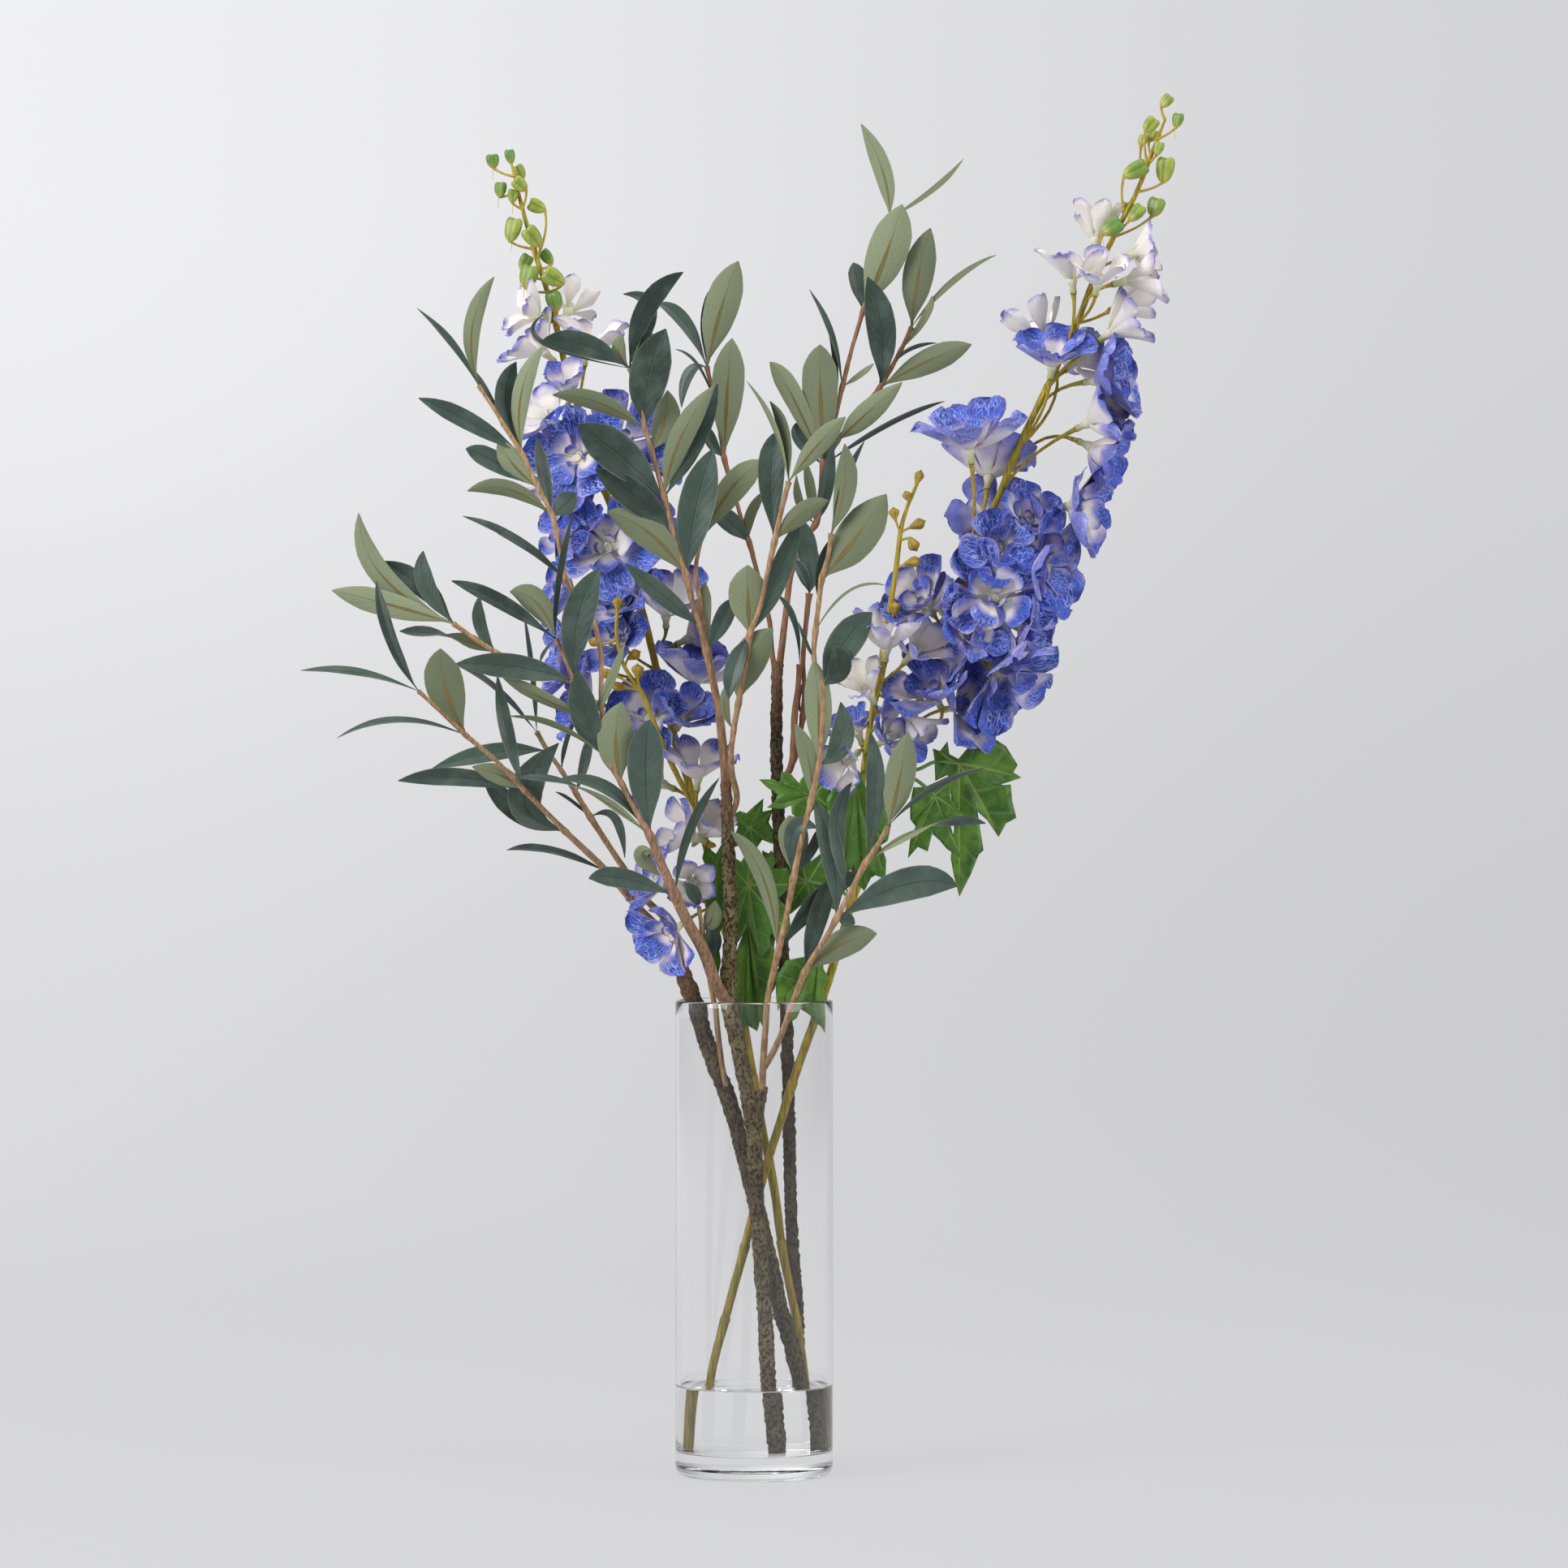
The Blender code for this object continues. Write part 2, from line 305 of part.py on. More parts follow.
# A bud: x and z where its stalk leaves the stem, x, z and depth of its middle, the lean of its long axis in
# degrees from upright towards the right, half its length and half its width.
BUDS = {
    "delphinium_left_stem": (
        (-124, 725, -127, 745, 14, -14, 8, 5.0), (-131, 750, -128, 760, 10, -58, 9, 5.4),
        (-131, 750, -143, 761, 12, 14, 9.2, 6.0), (-136, 765, -132, 773, 26, -38, 6.6, 3.6),
        (-134, 758, -145, 770, 28, 30, 6.5, 4.0), (-138, 772, -141, 786, 14, -38, 9, 5.2),
        (-140, 778, -153, 791, 16, 14, 9.5, 5.2), (-138, 772, -138.5, 805, 24, -66, 7, 4.4),
        (-147, 803, -153, 812, 16, 6, 5.4, 3.2), (-147, 803, -149, 819, 13, -48, 6.4, 4.2),
        (-150, 815, -161, 816, 20, 4, 6, 4.0), (-150, 815, -149, 827, 26, -24, 6, 3.6),
        (-152, 824, -166, 834, 20, -8, 5.6, 4.0), (-152, 824, -155, 837, 20, -10, 5.6, 3.2)),
    "delphinium_right_stem": (
        (219, 766, 228, 792, -5, 58, 8.5, 5.4), (228, 785, 243, 801, -4, 42, 7.6, 4.4),
        (228, 785, 255, 805, 2, 18, 7.4, 5.4), (232, 793, 236, 804, 12, 10, 5.0, 2.8),
        (236, 800, 243, 828, -6, 64, 9.8, 5.2), (243, 814, 261, 829, 0, 8, 9.8, 5.6),
        (250, 831, 257, 842, -3, 20, 5.4, 3.0), (247, 822, 247, 847, 8, 20, 4.6, 3.0),
        (250, 831, 252, 857, 2, 38, 6.4, 4.2), (252, 838, 253, 850, 12, 30, 5, 3.6),
        (256, 848, 269, 860, 0, 12, 5.6, 3.6), (261, 860, 262, 872, 0, 42, 5.6, 3.6)),
}

# A knob bud of a side branch, in the same order.
KNOBS = {
    "delphinium_left_stem": (
        (-72, 497, -74, 510, -20, 0, 4.6, 4.2), (-72, 497, -93, 508, -18, -78, 5.6, 3.4),
        (-82, 512, -76, 520, -14, 60, 4.8, 3.6), (-87, 530, -101, 528, -18, -70, 5.0, 3.2),
        (-87, 549, -86.5, 553, -17, 0, 4.4, 3.6), (-72, 497, -86, 500, -8, -80, 6.2, 3.0)),
    "delphinium_right_stem": (
        (85, 542, 89, 550, -18, 0, 4.4, 4.2), (90, 574, 101, 579, -14, 76, 5.6, 3.6),
        (93, 592, 101, 590, -16, 150, 5.0, 4.0), (94, 598, 104, 603, -10, 66, 5.4, 3.8),
        (94, 596, 89, 610, -14, -10, 4.0, 3.6), (98, 615, 97, 621, -14, -20, 3.4, 3.0),
        (104, 630, 104.5, 633, -12, 20, 4.8, 3.2)),
}

# A lobed leaf: its stalk as x, z and depth from the stem to the leaf's middle, how the depth grows to the
# right and upwards, and its lobes in order round the middle. A lobe runs from the notch before it to its
# last tooth, in x and z.
LEAVES = {
    "delphinium_left_stem": (
        (((-15, 332, 15), (-9, 343, 8), (-4, 346, 1)), 0.10, 0.03, (
            ((-9, 344), (-14, 325), (-16, 300), (-12, 275), (-9, 290)),
            ((-8, 305), (-7, 292), (-4, 281), (-1, 292)),
            ((0, 306), (3, 284), (5, 295)),
            ((6, 304), (8, 289), (9, 310), (7, 330)),
            ((2, 344), (4, 352), (-3, 354)))),
        (((-27, 385, 17), (-26, 390, 11), (-24, 388, 5)), 0.12, 0.02, (
            ((-29, 384), (-33, 370), (-29, 350), (-32, 335), (-28, 322), (-25, 306), (-21, 325),
             (-23, 340), (-18, 352), (-19, 372)),
            ((-20, 384), (-16, 394), (-20, 401)),
            ((-24, 393), (-31, 399), (-33, 391)))),
        (((-33, 408, 19), (-18, 414, 6), (-3, 410, -3)), 0.05, 0.05, (
            ((-9, 412), (-11, 421)), ((-5, 417), (2, 426)), ((4, 417), (11, 420)),
            ((7, 412), (11.5, 402)), ((3, 405), (-1, 398)), ((-5, 404), (-11, 400))))),
    "delphinium_right_stem": (
        (((51, 327, 3), (47, 332, -4), (41, 330, -9)), 0.04, 0.03, (
            ((33, 329), (20, 320), (14, 300), (20, 286), (23, 296)),
            ((27, 305), (25, 296), (28, 289), (30, 294)),
            ((32, 303), (33, 284), (36, 291), (38, 284)),
            ((39, 300), (41, 288), (43.5, 279), (44, 296), (42, 305), (48, 314)),
            ((45, 325), (44, 336), (37, 335)))),
        (((63, 364, 3), (52, 372, 14), (34, 376, 19)), 0.05, 0.05, (
            ((48, 378), (54, 384), (47, 398), (40, 392)), ((36, 388), (27, 401), (20, 394)),
            ((20, 388), (5, 396), (6, 384)), ((12, 378), (0, 371), (8, 364)),
            ((16, 367), (16, 352), (24, 356)), ((30, 362), (37, 349), (43, 357)),
            ((42, 364), (53, 357), (54, 368)))),
        (((66.5, 410, -7), (57, 424, -15), (38, 431, -20)), 0.03, 0.04, (
            ((48, 436), (53, 441), (50, 446), (45, 443)), ((42, 438), (38, 443), (32, 444), (29, 440)),
            ((29, 436), (24, 444), (17, 446), (17, 440)), ((20, 437), (12, 441), (3, 441), (8, 436)),
            ((16, 431), (13, 427), (8, 423), (18, 422)), ((24, 425), (24, 419), (30, 414), (35, 418)),
            ((38, 423), (44, 417), (52, 420), (50, 427)))),
        (((70, 446, -12), (68, 445, -17), (65, 437, -21)), 0.03, 0.06, (
            ((72, 433), (81, 424), (86, 413), (83, 402)),
            ((76, 405), (80, 396), (83, 388), (83, 376), (76, 384)),
            ((71, 396), (73, 378), (69, 369), (64, 380)),
            ((63, 398), (62, 384), (56, 378), (52, 395)),
            ((57, 412), (52, 408), (48, 413), (50, 425)), ((57, 434), (58, 444), (66, 446)))),
        (((89, 448, 2.5), (103, 447, 6), (115, 452, 9), (130, 451, 10)), 0.10, 0.04, (
            ((121, 446), (116, 454), (114, 464), (121, 463)),
            ((127, 458), (134, 466), (149, 468), (148, 459)),
            ((143, 453), (158, 453), (170, 447), (160, 442)),
            ((147, 441), (160, 432), (167, 418), (165, 404), (155, 412), (150, 425)),
            ((142, 436), (144, 415), (141, 390), (137, 376), (130, 367), (126, 385), (129, 400),
             (123, 415), (126, 432)))),
        (((84, 434, 2.6), (98, 442, 2), (115, 431, 1)), 0.06, -0.05, (
            ((108, 437), (100, 441), (99, 432)), ((106, 425), (100, 412), (96, 400), (98, 391), (104, 402)),
            ((108, 412), (106, 402), (110, 395), (114, 404)),
            ((116, 414), (121, 402), (131, 391), (132, 402), (127, 412)),
            ((122, 418), (130, 412), (136, 417), (133, 426)), ((122, 431), (126, 438), (121, 446)),
            ((115, 437), (110, 444)))),
    ),
}

# What each spray is seated on: its trunk, and the sprays beside it that it makes room for
SEATS = {
    "olive_left_low_spray": ("olive_left_trunk",),
    "olive_left_mid_spray": ("olive_left_trunk", "olive_left_low_spray"),
    "olive_fork_spray": ("olive_middle_trunk",),
    "olive_leader_spray": ("olive_middle_trunk",),
    "olive_centre_spray": ("olive_middle_trunk",),
    "olive_top_spray": ("olive_right_trunk",),
    "olive_tall_spray": ("olive_right_trunk", "olive_top_spray"),
    "olive_right_spray": ("olive_right_trunk",),
    "olive_front_spray": ("olive_middle_trunk",),
    "olive_back_twig": ("olive_left_trunk",),
}


# How a plant leans away from the viewer: the height where its lean starts and the depth gained per height
LEANS = {
    "olive_left_low_spray": (345.0, -0.34),
    "olive_left_mid_spray": (345.0, -0.10),
    "olive_fork_spray": (320.0, -0.12),
    "olive_leader_spray": (450.0, -0.05),
    "olive_centre_spray": (440.0, -0.16),
    "olive_top_spray": (535.0, 0.12),
    "olive_tall_spray": (535.0, 0.20),
    "olive_right_spray": (450.0, -0.05),
    "olive_front_spray": (320.0, -0.20),
    "olive_back_twig": (320.0, -0.05),
    "delphinium_left_stem": (320.0, 0.08),
    "delphinium_right_stem": (320.0, -0.06),
}


def seen(x, z, depth, lean=(0.0, 0.0)):
    """True place of a point that the viewer sees at (x, z) when it lies at this depth, in metres.

    A lean carries it further away by a share of its height above a start, or nearer if negative.
    """
    depth += lean[1] * max(z - lean[0], 0.0)
    scale = 1.0 + depth / VIEW_DISTANCE
    return Vector((VIEW_X + (x - VIEW_X) * scale, depth, VIEW_Z + (z - VIEW_Z) * scale)) * MM


def course(rows, lean=(0.0, 0.0)):
    """Places and radii, in metres, of a path given as rows of x, z, depth and radius."""
    return [seen(x, z, y, lean) for x, z, y, _ in rows], [radius * MM for *_, radius in rows]


def closed(verts, faces):
    """A mesh as (places, triangles), turned so that its faces look outwards."""
    split = [(face[0], face[k], face[k + 1]) for face in faces for k in range(1, len(face) - 1)]
    volume = sum(verts[a].dot(verts[b].cross(verts[c])) for a, b, c in split)
    return verts, [tuple(reversed(face)) for face in split] if volume < 0.0 else split


def frames(points):
    """Tangent and two side directions at each point, carried along the path without twist."""
    found = []
    side = None
    for k, point in enumerate(points):
        tangent = (points[min(k + 1, len(points) - 1)] - points[max(k - 1, 0)]).normalized()
        if side is None:
            side = tangent.orthogonal()
        side = (side - tangent * side.dot(tangent)).normalized()
        found.append((tangent, side, tangent.cross(side)))
    return found


def tube(points, radii, sides, foot=None):
    """Rings of vertices round a path, closed by flat ends. A foot is cut level at its height."""
    verts, faces = [], []
    for k, ((tangent, u, v), point) in enumerate(zip(frames(points), points)):
        for j in range(sides):
            angle = math.tau * j / sides
            place = point + (u * math.cos(angle) + v * math.sin(angle)) * radii[k]
            if foot is not None and k == 0:
                place = place + tangent * ((foot - place.z) / tangent.z)
            verts.append(place)
    for k in range(len(points) - 1):
        for j in range(sides):
            a, b = k * sides + j, k * sides + (j + 1) % sides
            faces.append((a, b, b + sides, a + sides))
    faces.append(tuple(reversed(range(sides))))
    faces.append(tuple(range(len(verts) - sides, len(verts))))
    return closed(verts, faces)


def bend(start, middle, end, t):
    """Point on the curve that passes through the middle point at t = 0.5."""
    control = middle * 2.0 - (start + end) * 0.5
    return start * (1 - t) ** 2 + control * (2 * t * (1 - t)) + end * t ** 2


def blade(start, middle, end, width, roll, profile, thick):
    """Long thin leaf along a curve: a flat upper face, a rib below, pointed at its end."""
    verts, faces = [], []
    stations = [(0.0, 0.0)] + list(profile)
    for t, share in stations:
        point = bend(start, middle, end, t)
        tangent = (bend(start, middle, end, t + 0.02) - bend(start, middle, end, t - 0.02)).normalized()
        side = tangent.cross(Vector((0.0, 1.0, 0.0))).normalized()
        up = side.cross(tangent)
        if up.y > 0.0:
            up = -up
        angle = math.radians(roll[0] + (roll[1] - roll[0]) * t)
        across = side * math.cos(angle) + up * math.sin(angle)
        face = up * math.cos(angle) - side * math.sin(angle)
        half = max(width * share * 0.5, 0.8 * MM)
        lift = face * (half * 0.10)
        verts += [point - across * half + lift, point + across * half + lift, point - face * thick]
    last = len(verts)
    verts.append(end)
    for k in range(len(stations) - 1):
        for j in range(3):
            a, b = 3 * k + j, 3 * k + (j + 1) % 3
            faces.append((a, b, b + 3, a + 3))
    faces.append((2, 1, 0))
    for j in range(3):
        faces.append((last - 3 + j, last - 3 + (j + 1) % 3, last))
    return closed(verts, faces)


def star(top, bottom, lobes):
    """Plate of lobes round a middle: upper and lower faces meet at the outline and part at the ribs.

    Each lobe is its rib's upper and lower place and its outline, from the notch before it onwards.
    """
    verts, faces = [top, bottom], []
    starts = []
    for upper, lower, outline in lobes:
        starts.append(len(verts))
        verts += [upper, lower] + list(outline)
    for k, (_, _, outline) in enumerate(lobes):
        first = starts[k]
        edge = [first + 2 + j for j in range(len(outline))] + [starts[(k + 1) % len(lobes)] + 2]
        faces += [(0, edge[0], first), (0, first, edge[-1]), (1, first + 1, edge[0]), (1, edge[-1], first + 1)]
        for a, b in zip(edge, edge[1:]):
            faces += [(first, a, b), (first + 1, b, a)]
    return closed(verts, faces)


def egg(middle, axis, half_length, half_width, sides=5):
    """Bud: two rings of vertices between its foot and its end."""
    u = axis.orthogonal().normalized()
    v = axis.cross(u)
    verts = [middle - axis * half_length]
    for along, round_ in ((-0.42, 0.96), (0.46, 0.86)):
        for j in range(sides):
            angle = math.tau * j / sides
            ring = (u * math.cos(angle) + v * math.sin(angle)) * (half_width * round_)
            verts.append(middle + axis * (along * half_length) + ring)
    verts.append(middle + axis * half_length)
    faces = []
    for j in range(sides):
        n = (j + 1) % sides
        faces.append((0, 1 + n, 1 + j))
        faces.append((1 + j, 1 + n, 1 + sides + n, 1 + sides + j))
        faces.append((1 + sides + j, 1 + sides + n, len(verts) - 1))
    return closed(verts, faces)


def floret(heel, axis, size, opening, turn, draw):
    """One open floret: a spur cone ahead of its heel and five cupped petals round its throat, as one body."""
    throat = heel + axis * CONE_LENGTH * MM
    u = axis.orthogonal().normalized()
    v = axis.cross(u)
    spread = math.radians(90.0 * opening)
    notch = 0.50 - 0.16 * opening

    def around(angle):
        return u * math.cos(angle) + v * math.sin(angle)

    def place(angle, reach):
        curl = 0.14 * reach * reach
        out, ahead = math.sin(spread) * reach + curl * 0.5, math.cos(spread) * reach - curl
        return throat + around(angle) * (out * size + 1.0 * MM) + axis * (ahead * size)

    verts = [throat - axis * 0.8 * MM, heel]
    faces = []
    for k in range(5):
        angle = turn + math.tau * k / 5 + draw.uniform(-0.07, 0.07)
        before = turn + math.tau * (k - 0.5) / 5
        long_ = draw.uniform(0.90, 1.08)
        inward = axis * math.sin(spread) - around(angle) * math.cos(spread)
        rib = place(angle, 0.55 * long_) - inward * (0.05 * size)
        first = len(verts)
        verts += [rib, rib - inward * (PETAL_THICK * MM),
                  throat + around(before) * 3.4 * MM - axis * 1.8 * MM, place(before, notch)]
        for lean, reach in ((-0.38, 0.82), (0.0, 1.04), (0.38, 0.82)):
            verts.append(place(angle + lean, reach * long_) + inward * (0.03 * size))
        after = first + 7 if k < 4 else 2
        edge = list(range(first + 3, first + 7)) + [after + 3]
        faces += [(0, edge[0], first), (0, first, edge[-1]), (1, after + 2, first + 2),
                  (first + 2, after + 2, first + 1), (first + 2, first + 1, edge[0]),
                  (after + 2, edge[-1], first + 1)]
        for a, b in zip(edge, edge[1:]):
            faces += [(first, a, b), (first + 1, b, a)]
    return closed(verts, faces)


def on_path(name, x, z):
    """Place on the stem or its side branch that is seen nearest to (x, z)."""
    best = None
    for rows in (STEMS[name], SIDE_BRANCHES[name]):
        for (x0, z0, y0, _), (x1, z1, y1, _) in zip(rows, rows[1:]):
            along = ((x - x0) * (x1 - x0) + (z - z0) * (z1 - z0)) / ((x1 - x0) ** 2 + (z1 - z0) ** 2)
            t = min(max(along, 0.0), 1.0)
            px, pz, py = x0 + (x1 - x0) * t, z0 + (z1 - z0) * t, y0 + (y1 - y0) * t
            gap = math.hypot(px - x, pz - z)
            if best is None or gap < best[0]:
                best = (gap, seen(px, pz, py, LEANS[name]))
    return best[1]


def stalk(start, end, axis, radius, ring):
    """Stalk that leaves the stem and arrives along the axis, ending in a small ring."""
    reach = (end - start).length
    control = end - axis * reach * 0.5
    if reach < 12 * MM:
        return tube([start, end], [radius, ring], 3)
    points = [start, start.lerp(control, 0.5).lerp(control.lerp(end, 0.5), 0.5), end]
    return tube(points, [radius, radius, ring], 3)


def fat_pieces(name):
    """The pieces of a stem, grown by the gap that its florets keep."""
    return stem_pieces(name, 0.45 * MM)


def stem_pieces(name, grown=0.0):
    """A delphinium stem with its side branch, flower stalks, buds and lobed leaves."""
    lean = LEANS[name]
    points, radii = course(STEMS[name], lean)
    floor = (VASE_FLOOR + SEAT_GAP) * MM
    branch, widths = course(SIDE_BRANCHES[name], lean)
    pieces = [tube(points, [r + grown for r in radii], 6, floor),
              tube(branch, [r + grown for r in widths], 5)]
    for x0, z0, x, z, y, ax, az, ay, *_ in FLORETS[name.replace("_stem", "")]:
        axis = Vector((ax, ay, az)).normalized()
        end = seen(x, z, y, lean) - axis * (CONE_LENGTH + SEAT_GAP) * MM
        pieces.append(stalk(on_path(name, x0, z0), end, axis, 1.0 * MM + grown, RING_RADIUS * MM + grown))
    for x0, z0, x, z, y, slant, half_length, half_width in BUDS[name] + KNOBS[name]:
        axis = Vector((math.sin(math.radians(slant)), 0.0, math.cos(math.radians(slant))))
        middle = seen(x, z, y, lean)
        pieces.append(egg(middle, axis, half_length * MM + grown, half_width * MM + grown))
        pieces.append(stalk(on_path(name, x0, z0), middle - axis * half_length * 0.5 * MM, axis, 0.8 * MM, 1.2 * MM))
    for petiole, right, up, lobes in LEAVES[name]:
        pieces += leaf_pieces(petiole, right, up, lobes, lean)
    return pieces


def leaf_pieces(petiole, right, up, lobes, lean):
    """Lobed leaf on its stalk: thin between its notches, 1.4 mm at the ribs."""
    cx, cz, cy = petiole[-1]
    thick = Vector((0.0, 0.7 * MM, 0.0))

    def place(x, z):
        reach = math.hypot(x - cx, z - cz)
        return seen(x, z, cy + right * (x - cx) + up * (z - cz) + 0.0012 * reach * reach, lean)

    parts = []
    for outline in lobes:
        tip = max(outline, key=lambda p: math.hypot(p[0] - cx, p[1] - cz))
        rib = place(cx + (tip[0] - cx) * 0.55, cz + (tip[1] - cz) * 0.55)
        parts.append((rib - thick, rib + thick, [place(x, z) for x, z in outline]))
    middle = seen(cx, cz, cy, lean)
    rows = [(x, z, y, 1.1) for x, z, y in petiole]
    rows.append((cx, cz, cy, 1.0))
    rows[-2] = (cx + (rows[-3][0] - cx) * 0.1, cz + (rows[-3][1] - cz) * 0.1, cy, 1.1)
    return [star(middle - thick, middle + thick, parts), tube(*course(rows, lean), 4)]


def spray_pieces(name):
    """Twigs and leaves of an olive spray, its first twig rooted in the middle of what carries it."""
    carrier, _ = course(TRUNKS[SEATS[name][0]])
    lean = LEANS[name]
    pieces = []
    for number, (rows, leaves) in enumerate(SPRAYS[name]):
        points, radii = course(rows, lean)
        if number == 0:
            points.insert(0, nearest(carrier, points[0]))
            radii.insert(0, radii[0])
        pieces.append(tube(points, radii, 4))
        for k, xm, zm, xt, zt, width, roll, gain in leaves:
            start = points[k + len(points) - len(rows)]
            depth = rows[k][2] + lean[1] * max(rows[k][1] - lean[0], 0.0)
            middle, end = seen(xm, zm, depth + gain * 0.6), seen(xt, zt, depth + gain)
            turn = roll if isinstance(roll, tuple) else (roll, roll)
            long_ = (end - start).length > 40 * MM
            profile = LEAF_PROFILE if long_ else LEAF_PROFILE[1::2]
            pieces.append(blade(start, middle, end, width * MM, turn, profile, LEAF_THICK * MM))
    return pieces


def nearest(points, target):
    """Nearest place to the target on a path, kept 3 mm inside its ends."""
    best = None
    for a, b in zip(points, points[1:]):
        t = min(max((target - a).dot(b - a) / (b - a).length_squared, 0.0), 1.0)
        place = a.lerp(b, t)
        if best is None or (target - place).length < (target - best).length:
            best = place
    if (best - points[-1]).length < 3 * MM:
        best = points[-1] + (points[-2] - points[-1]).normalized() * 3 * MM
    return best


def as_piece(made):
    """Places and faces of an object."""
    return [v.co.copy() for v in made.data.vertices], [tuple(f.vertices) for f in made.data.polygons]


def thing(name, piece):
    """Object of one closed piece."""
    mesh = bpy.data.meshes.new(name)
    mesh.from_pydata([tuple(v) for v in piece[0]], [], piece[1])
    mesh.validate()
    made = bpy.data.objects.new(name, mesh)
    bpy.context.scene.collection.objects.link(made)
    return made


def combine(name, body, others, operation):
    """Boolean of a body with all the other pieces at once; returns the new object."""
    group = bpy.data.collections.new(name + "_pieces")
    bpy.context.scene.collection.children.link(group)
    for number, piece in enumerate(others):
        made = thing(f"{name}_{number}", piece)
        bpy.context.scene.collection.objects.unlink(made)
        group.objects.link(made)
    step = body.modifiers.new("combine", "BOOLEAN")
    step.operation, step.operand_type, step.solver = operation, "COLLECTION", "MANIFOLD"
    step.collection = group
    graph = bpy.context.evaluated_depsgraph_get()
    mesh = bpy.data.meshes.new_from_object(body.evaluated_get(graph))
    for extra in list(group.objects) + [body]:
        bpy.data.objects.remove(extra)
    bpy.data.collections.remove(group)
    made = bpy.data.objects.new(name, mesh)
    bpy.context.scene.collection.objects.link(made)
    return made


def thinned(made, wanted):
    """Collapse the slivers that a Boolean leaves, as far as the mesh stays one closed body."""
    best = (-1.0, None)
    for method in ("BEAUTY", "EAR_CLIP", ""):
        mesh = made.data.copy()
        if not triangles_only(mesh, method):
            continue
        trial = bpy.data.objects.new("trial", mesh)
        bpy.context.scene.collection.objects.link(trial)
        step = trial.modifiers.new("thin", "DECIMATE")
        goal, count = wanted, sum(len(face.vertices) - 2 for face in mesh.polygons)
        while goal < count and best[0] < THINNEST * MM:
            step.ratio = goal / count
            graph = bpy.context.evaluated_depsgraph_get()
            thin = bpy.data.meshes.new_from_object(trial.evaluated_get(graph))
            relax(thin)
            if one_body(thin) and thinnest(thin) > best[0]:
                best = (thinnest(thin), thin)
            goal = int(goal * 1.04) + 1
        bpy.data.objects.remove(trial)
    if best[1] is None:
        print("not thinned:", made.name)
        return made
    if best[0] < THINNEST * MM:
        print("thin faces:", made.name, best[0] / MM)
    made.data = best[1]
    return rename(made, made.name)


def height(face):
    """Height of a triangle over its longest edge."""
    return 2.0 * face.calc_area() / max(edge.calc_length() for edge in face.edges)


def relax(mesh):
    """Merge the ends of very short edges, and turn the longest edge of each triangle that is nearly a line.

    The largest faces come first, because a STEP reader tells inside from outside by them.
    """
    shape = bmesh.new()
    shape.from_mesh(mesh)
    bmesh.ops.triangulate(shape, faces=shape.faces)
    for _ in range(6):
        short = [edge for edge in shape.edges if edge.calc_length() < 1.5 * THINNEST * MM]
        if not short:
            break
        ends = list(short[0].verts)
        bmesh.ops.pointmerge(shape, verts=ends, merge_co=(ends[0].co + ends[1].co) * 0.5)
    for _ in range(12):
        poor = [face for face in shape.faces if len(face.edges) == 3 and height(face) < THINNEST * MM]
        if not poor:
            break
        longest = max(poor[0].edges, key=lambda edge: edge.calc_length())
        if bmesh.utils.edge_rotate(longest, True) is None:
            break
    shape.faces.sort(key=lambda face: -face.calc_area())
    shape.to_mesh(mesh)
    shape.free()


def thinnest(mesh):
    """Smallest height of a triangle of a mesh."""
    least = 1.0
    mesh.calc_loop_triangles()
    for face in mesh.loop_triangles:
        a, b, c = (mesh.vertices[k].co for k in face.vertices)
        longest = max((b - a).length, (c - b).length, (a - c).length)
        least = min(least, (b - a).cross(c - a).length / longest)
    return least


def island(shape, start):
    """Vertices of a mesh that are reached from one of them."""
    reached, waiting = {start}, [start]
    while waiting:
        for edge in waiting.pop().link_edges:
            for vert in edge.verts:
                if vert not in reached:
                    reached.add(vert)
                    waiting.append(vert)
    return reached


def triangles_only(mesh, method):
    """Drop stray specks and split the faces by this method; tells whether the mesh is still closed."""
    shape = bmesh.new()
    shape.from_mesh(mesh)
    left, main = set(shape.verts), set()
    while left:
        group = island(shape, next(iter(left)))
        left -= group
        main = max(main, group, key=len)
    bmesh.ops.delete(shape, geom=[v for v in shape.verts if v not in main], context="VERTS")
    if method:
        bmesh.ops.triangulate(shape, faces=shape.faces, ngon_method=method)
    sound = all(len(edge.link_faces) == 2 for edge in shape.edges)
    shape.to_mesh(mesh)
    shape.free()
    return sound


def one_body(mesh):
    """Whether every edge has two faces and every vertex is reached from the first."""
    shape = bmesh.new()
    shape.from_mesh(mesh)
    shape.verts.ensure_lookup_table()
    sound = all(len(edge.link_faces) == 2 for edge in shape.edges)
    sound = sound and len(island(shape, shape.verts[0])) == len(shape.verts)
    shape.free()
    return sound


def join(name, pieces, cutters=()):
    """All pieces of a node fused into one body, with room cut for what it is seated on."""
    body = thing(name + "_first", pieces[0])
    if len(pieces) == 1:
        return rename(body, name)
    raw = sum(len(face) - 2 for _, faces in pieces for face in faces)
    made = combine(name, body, pieces[1:], "UNION")
    if cutters:
        made.name = name + "_uncut"
        made = combine(name, made, cutters, "DIFFERENCE")
    return thinned(made, int(raw * KEPT_SHARE))


def rename(made, name):
    """The same object under its node's name."""
    made.name = name
    made.data.name = name
    return made


def fatter(rows, extra, sides):
    """A stem or twig grown by a gap, and as much longer at its end, to cut a seat with."""
    points, radii = course(rows)
    points.append(points[-1] + (points[-1] - points[-2]).normalized() * extra)
    radii.append(radii[-1])
    return tube(points, [(r + extra) for r in radii], sides)


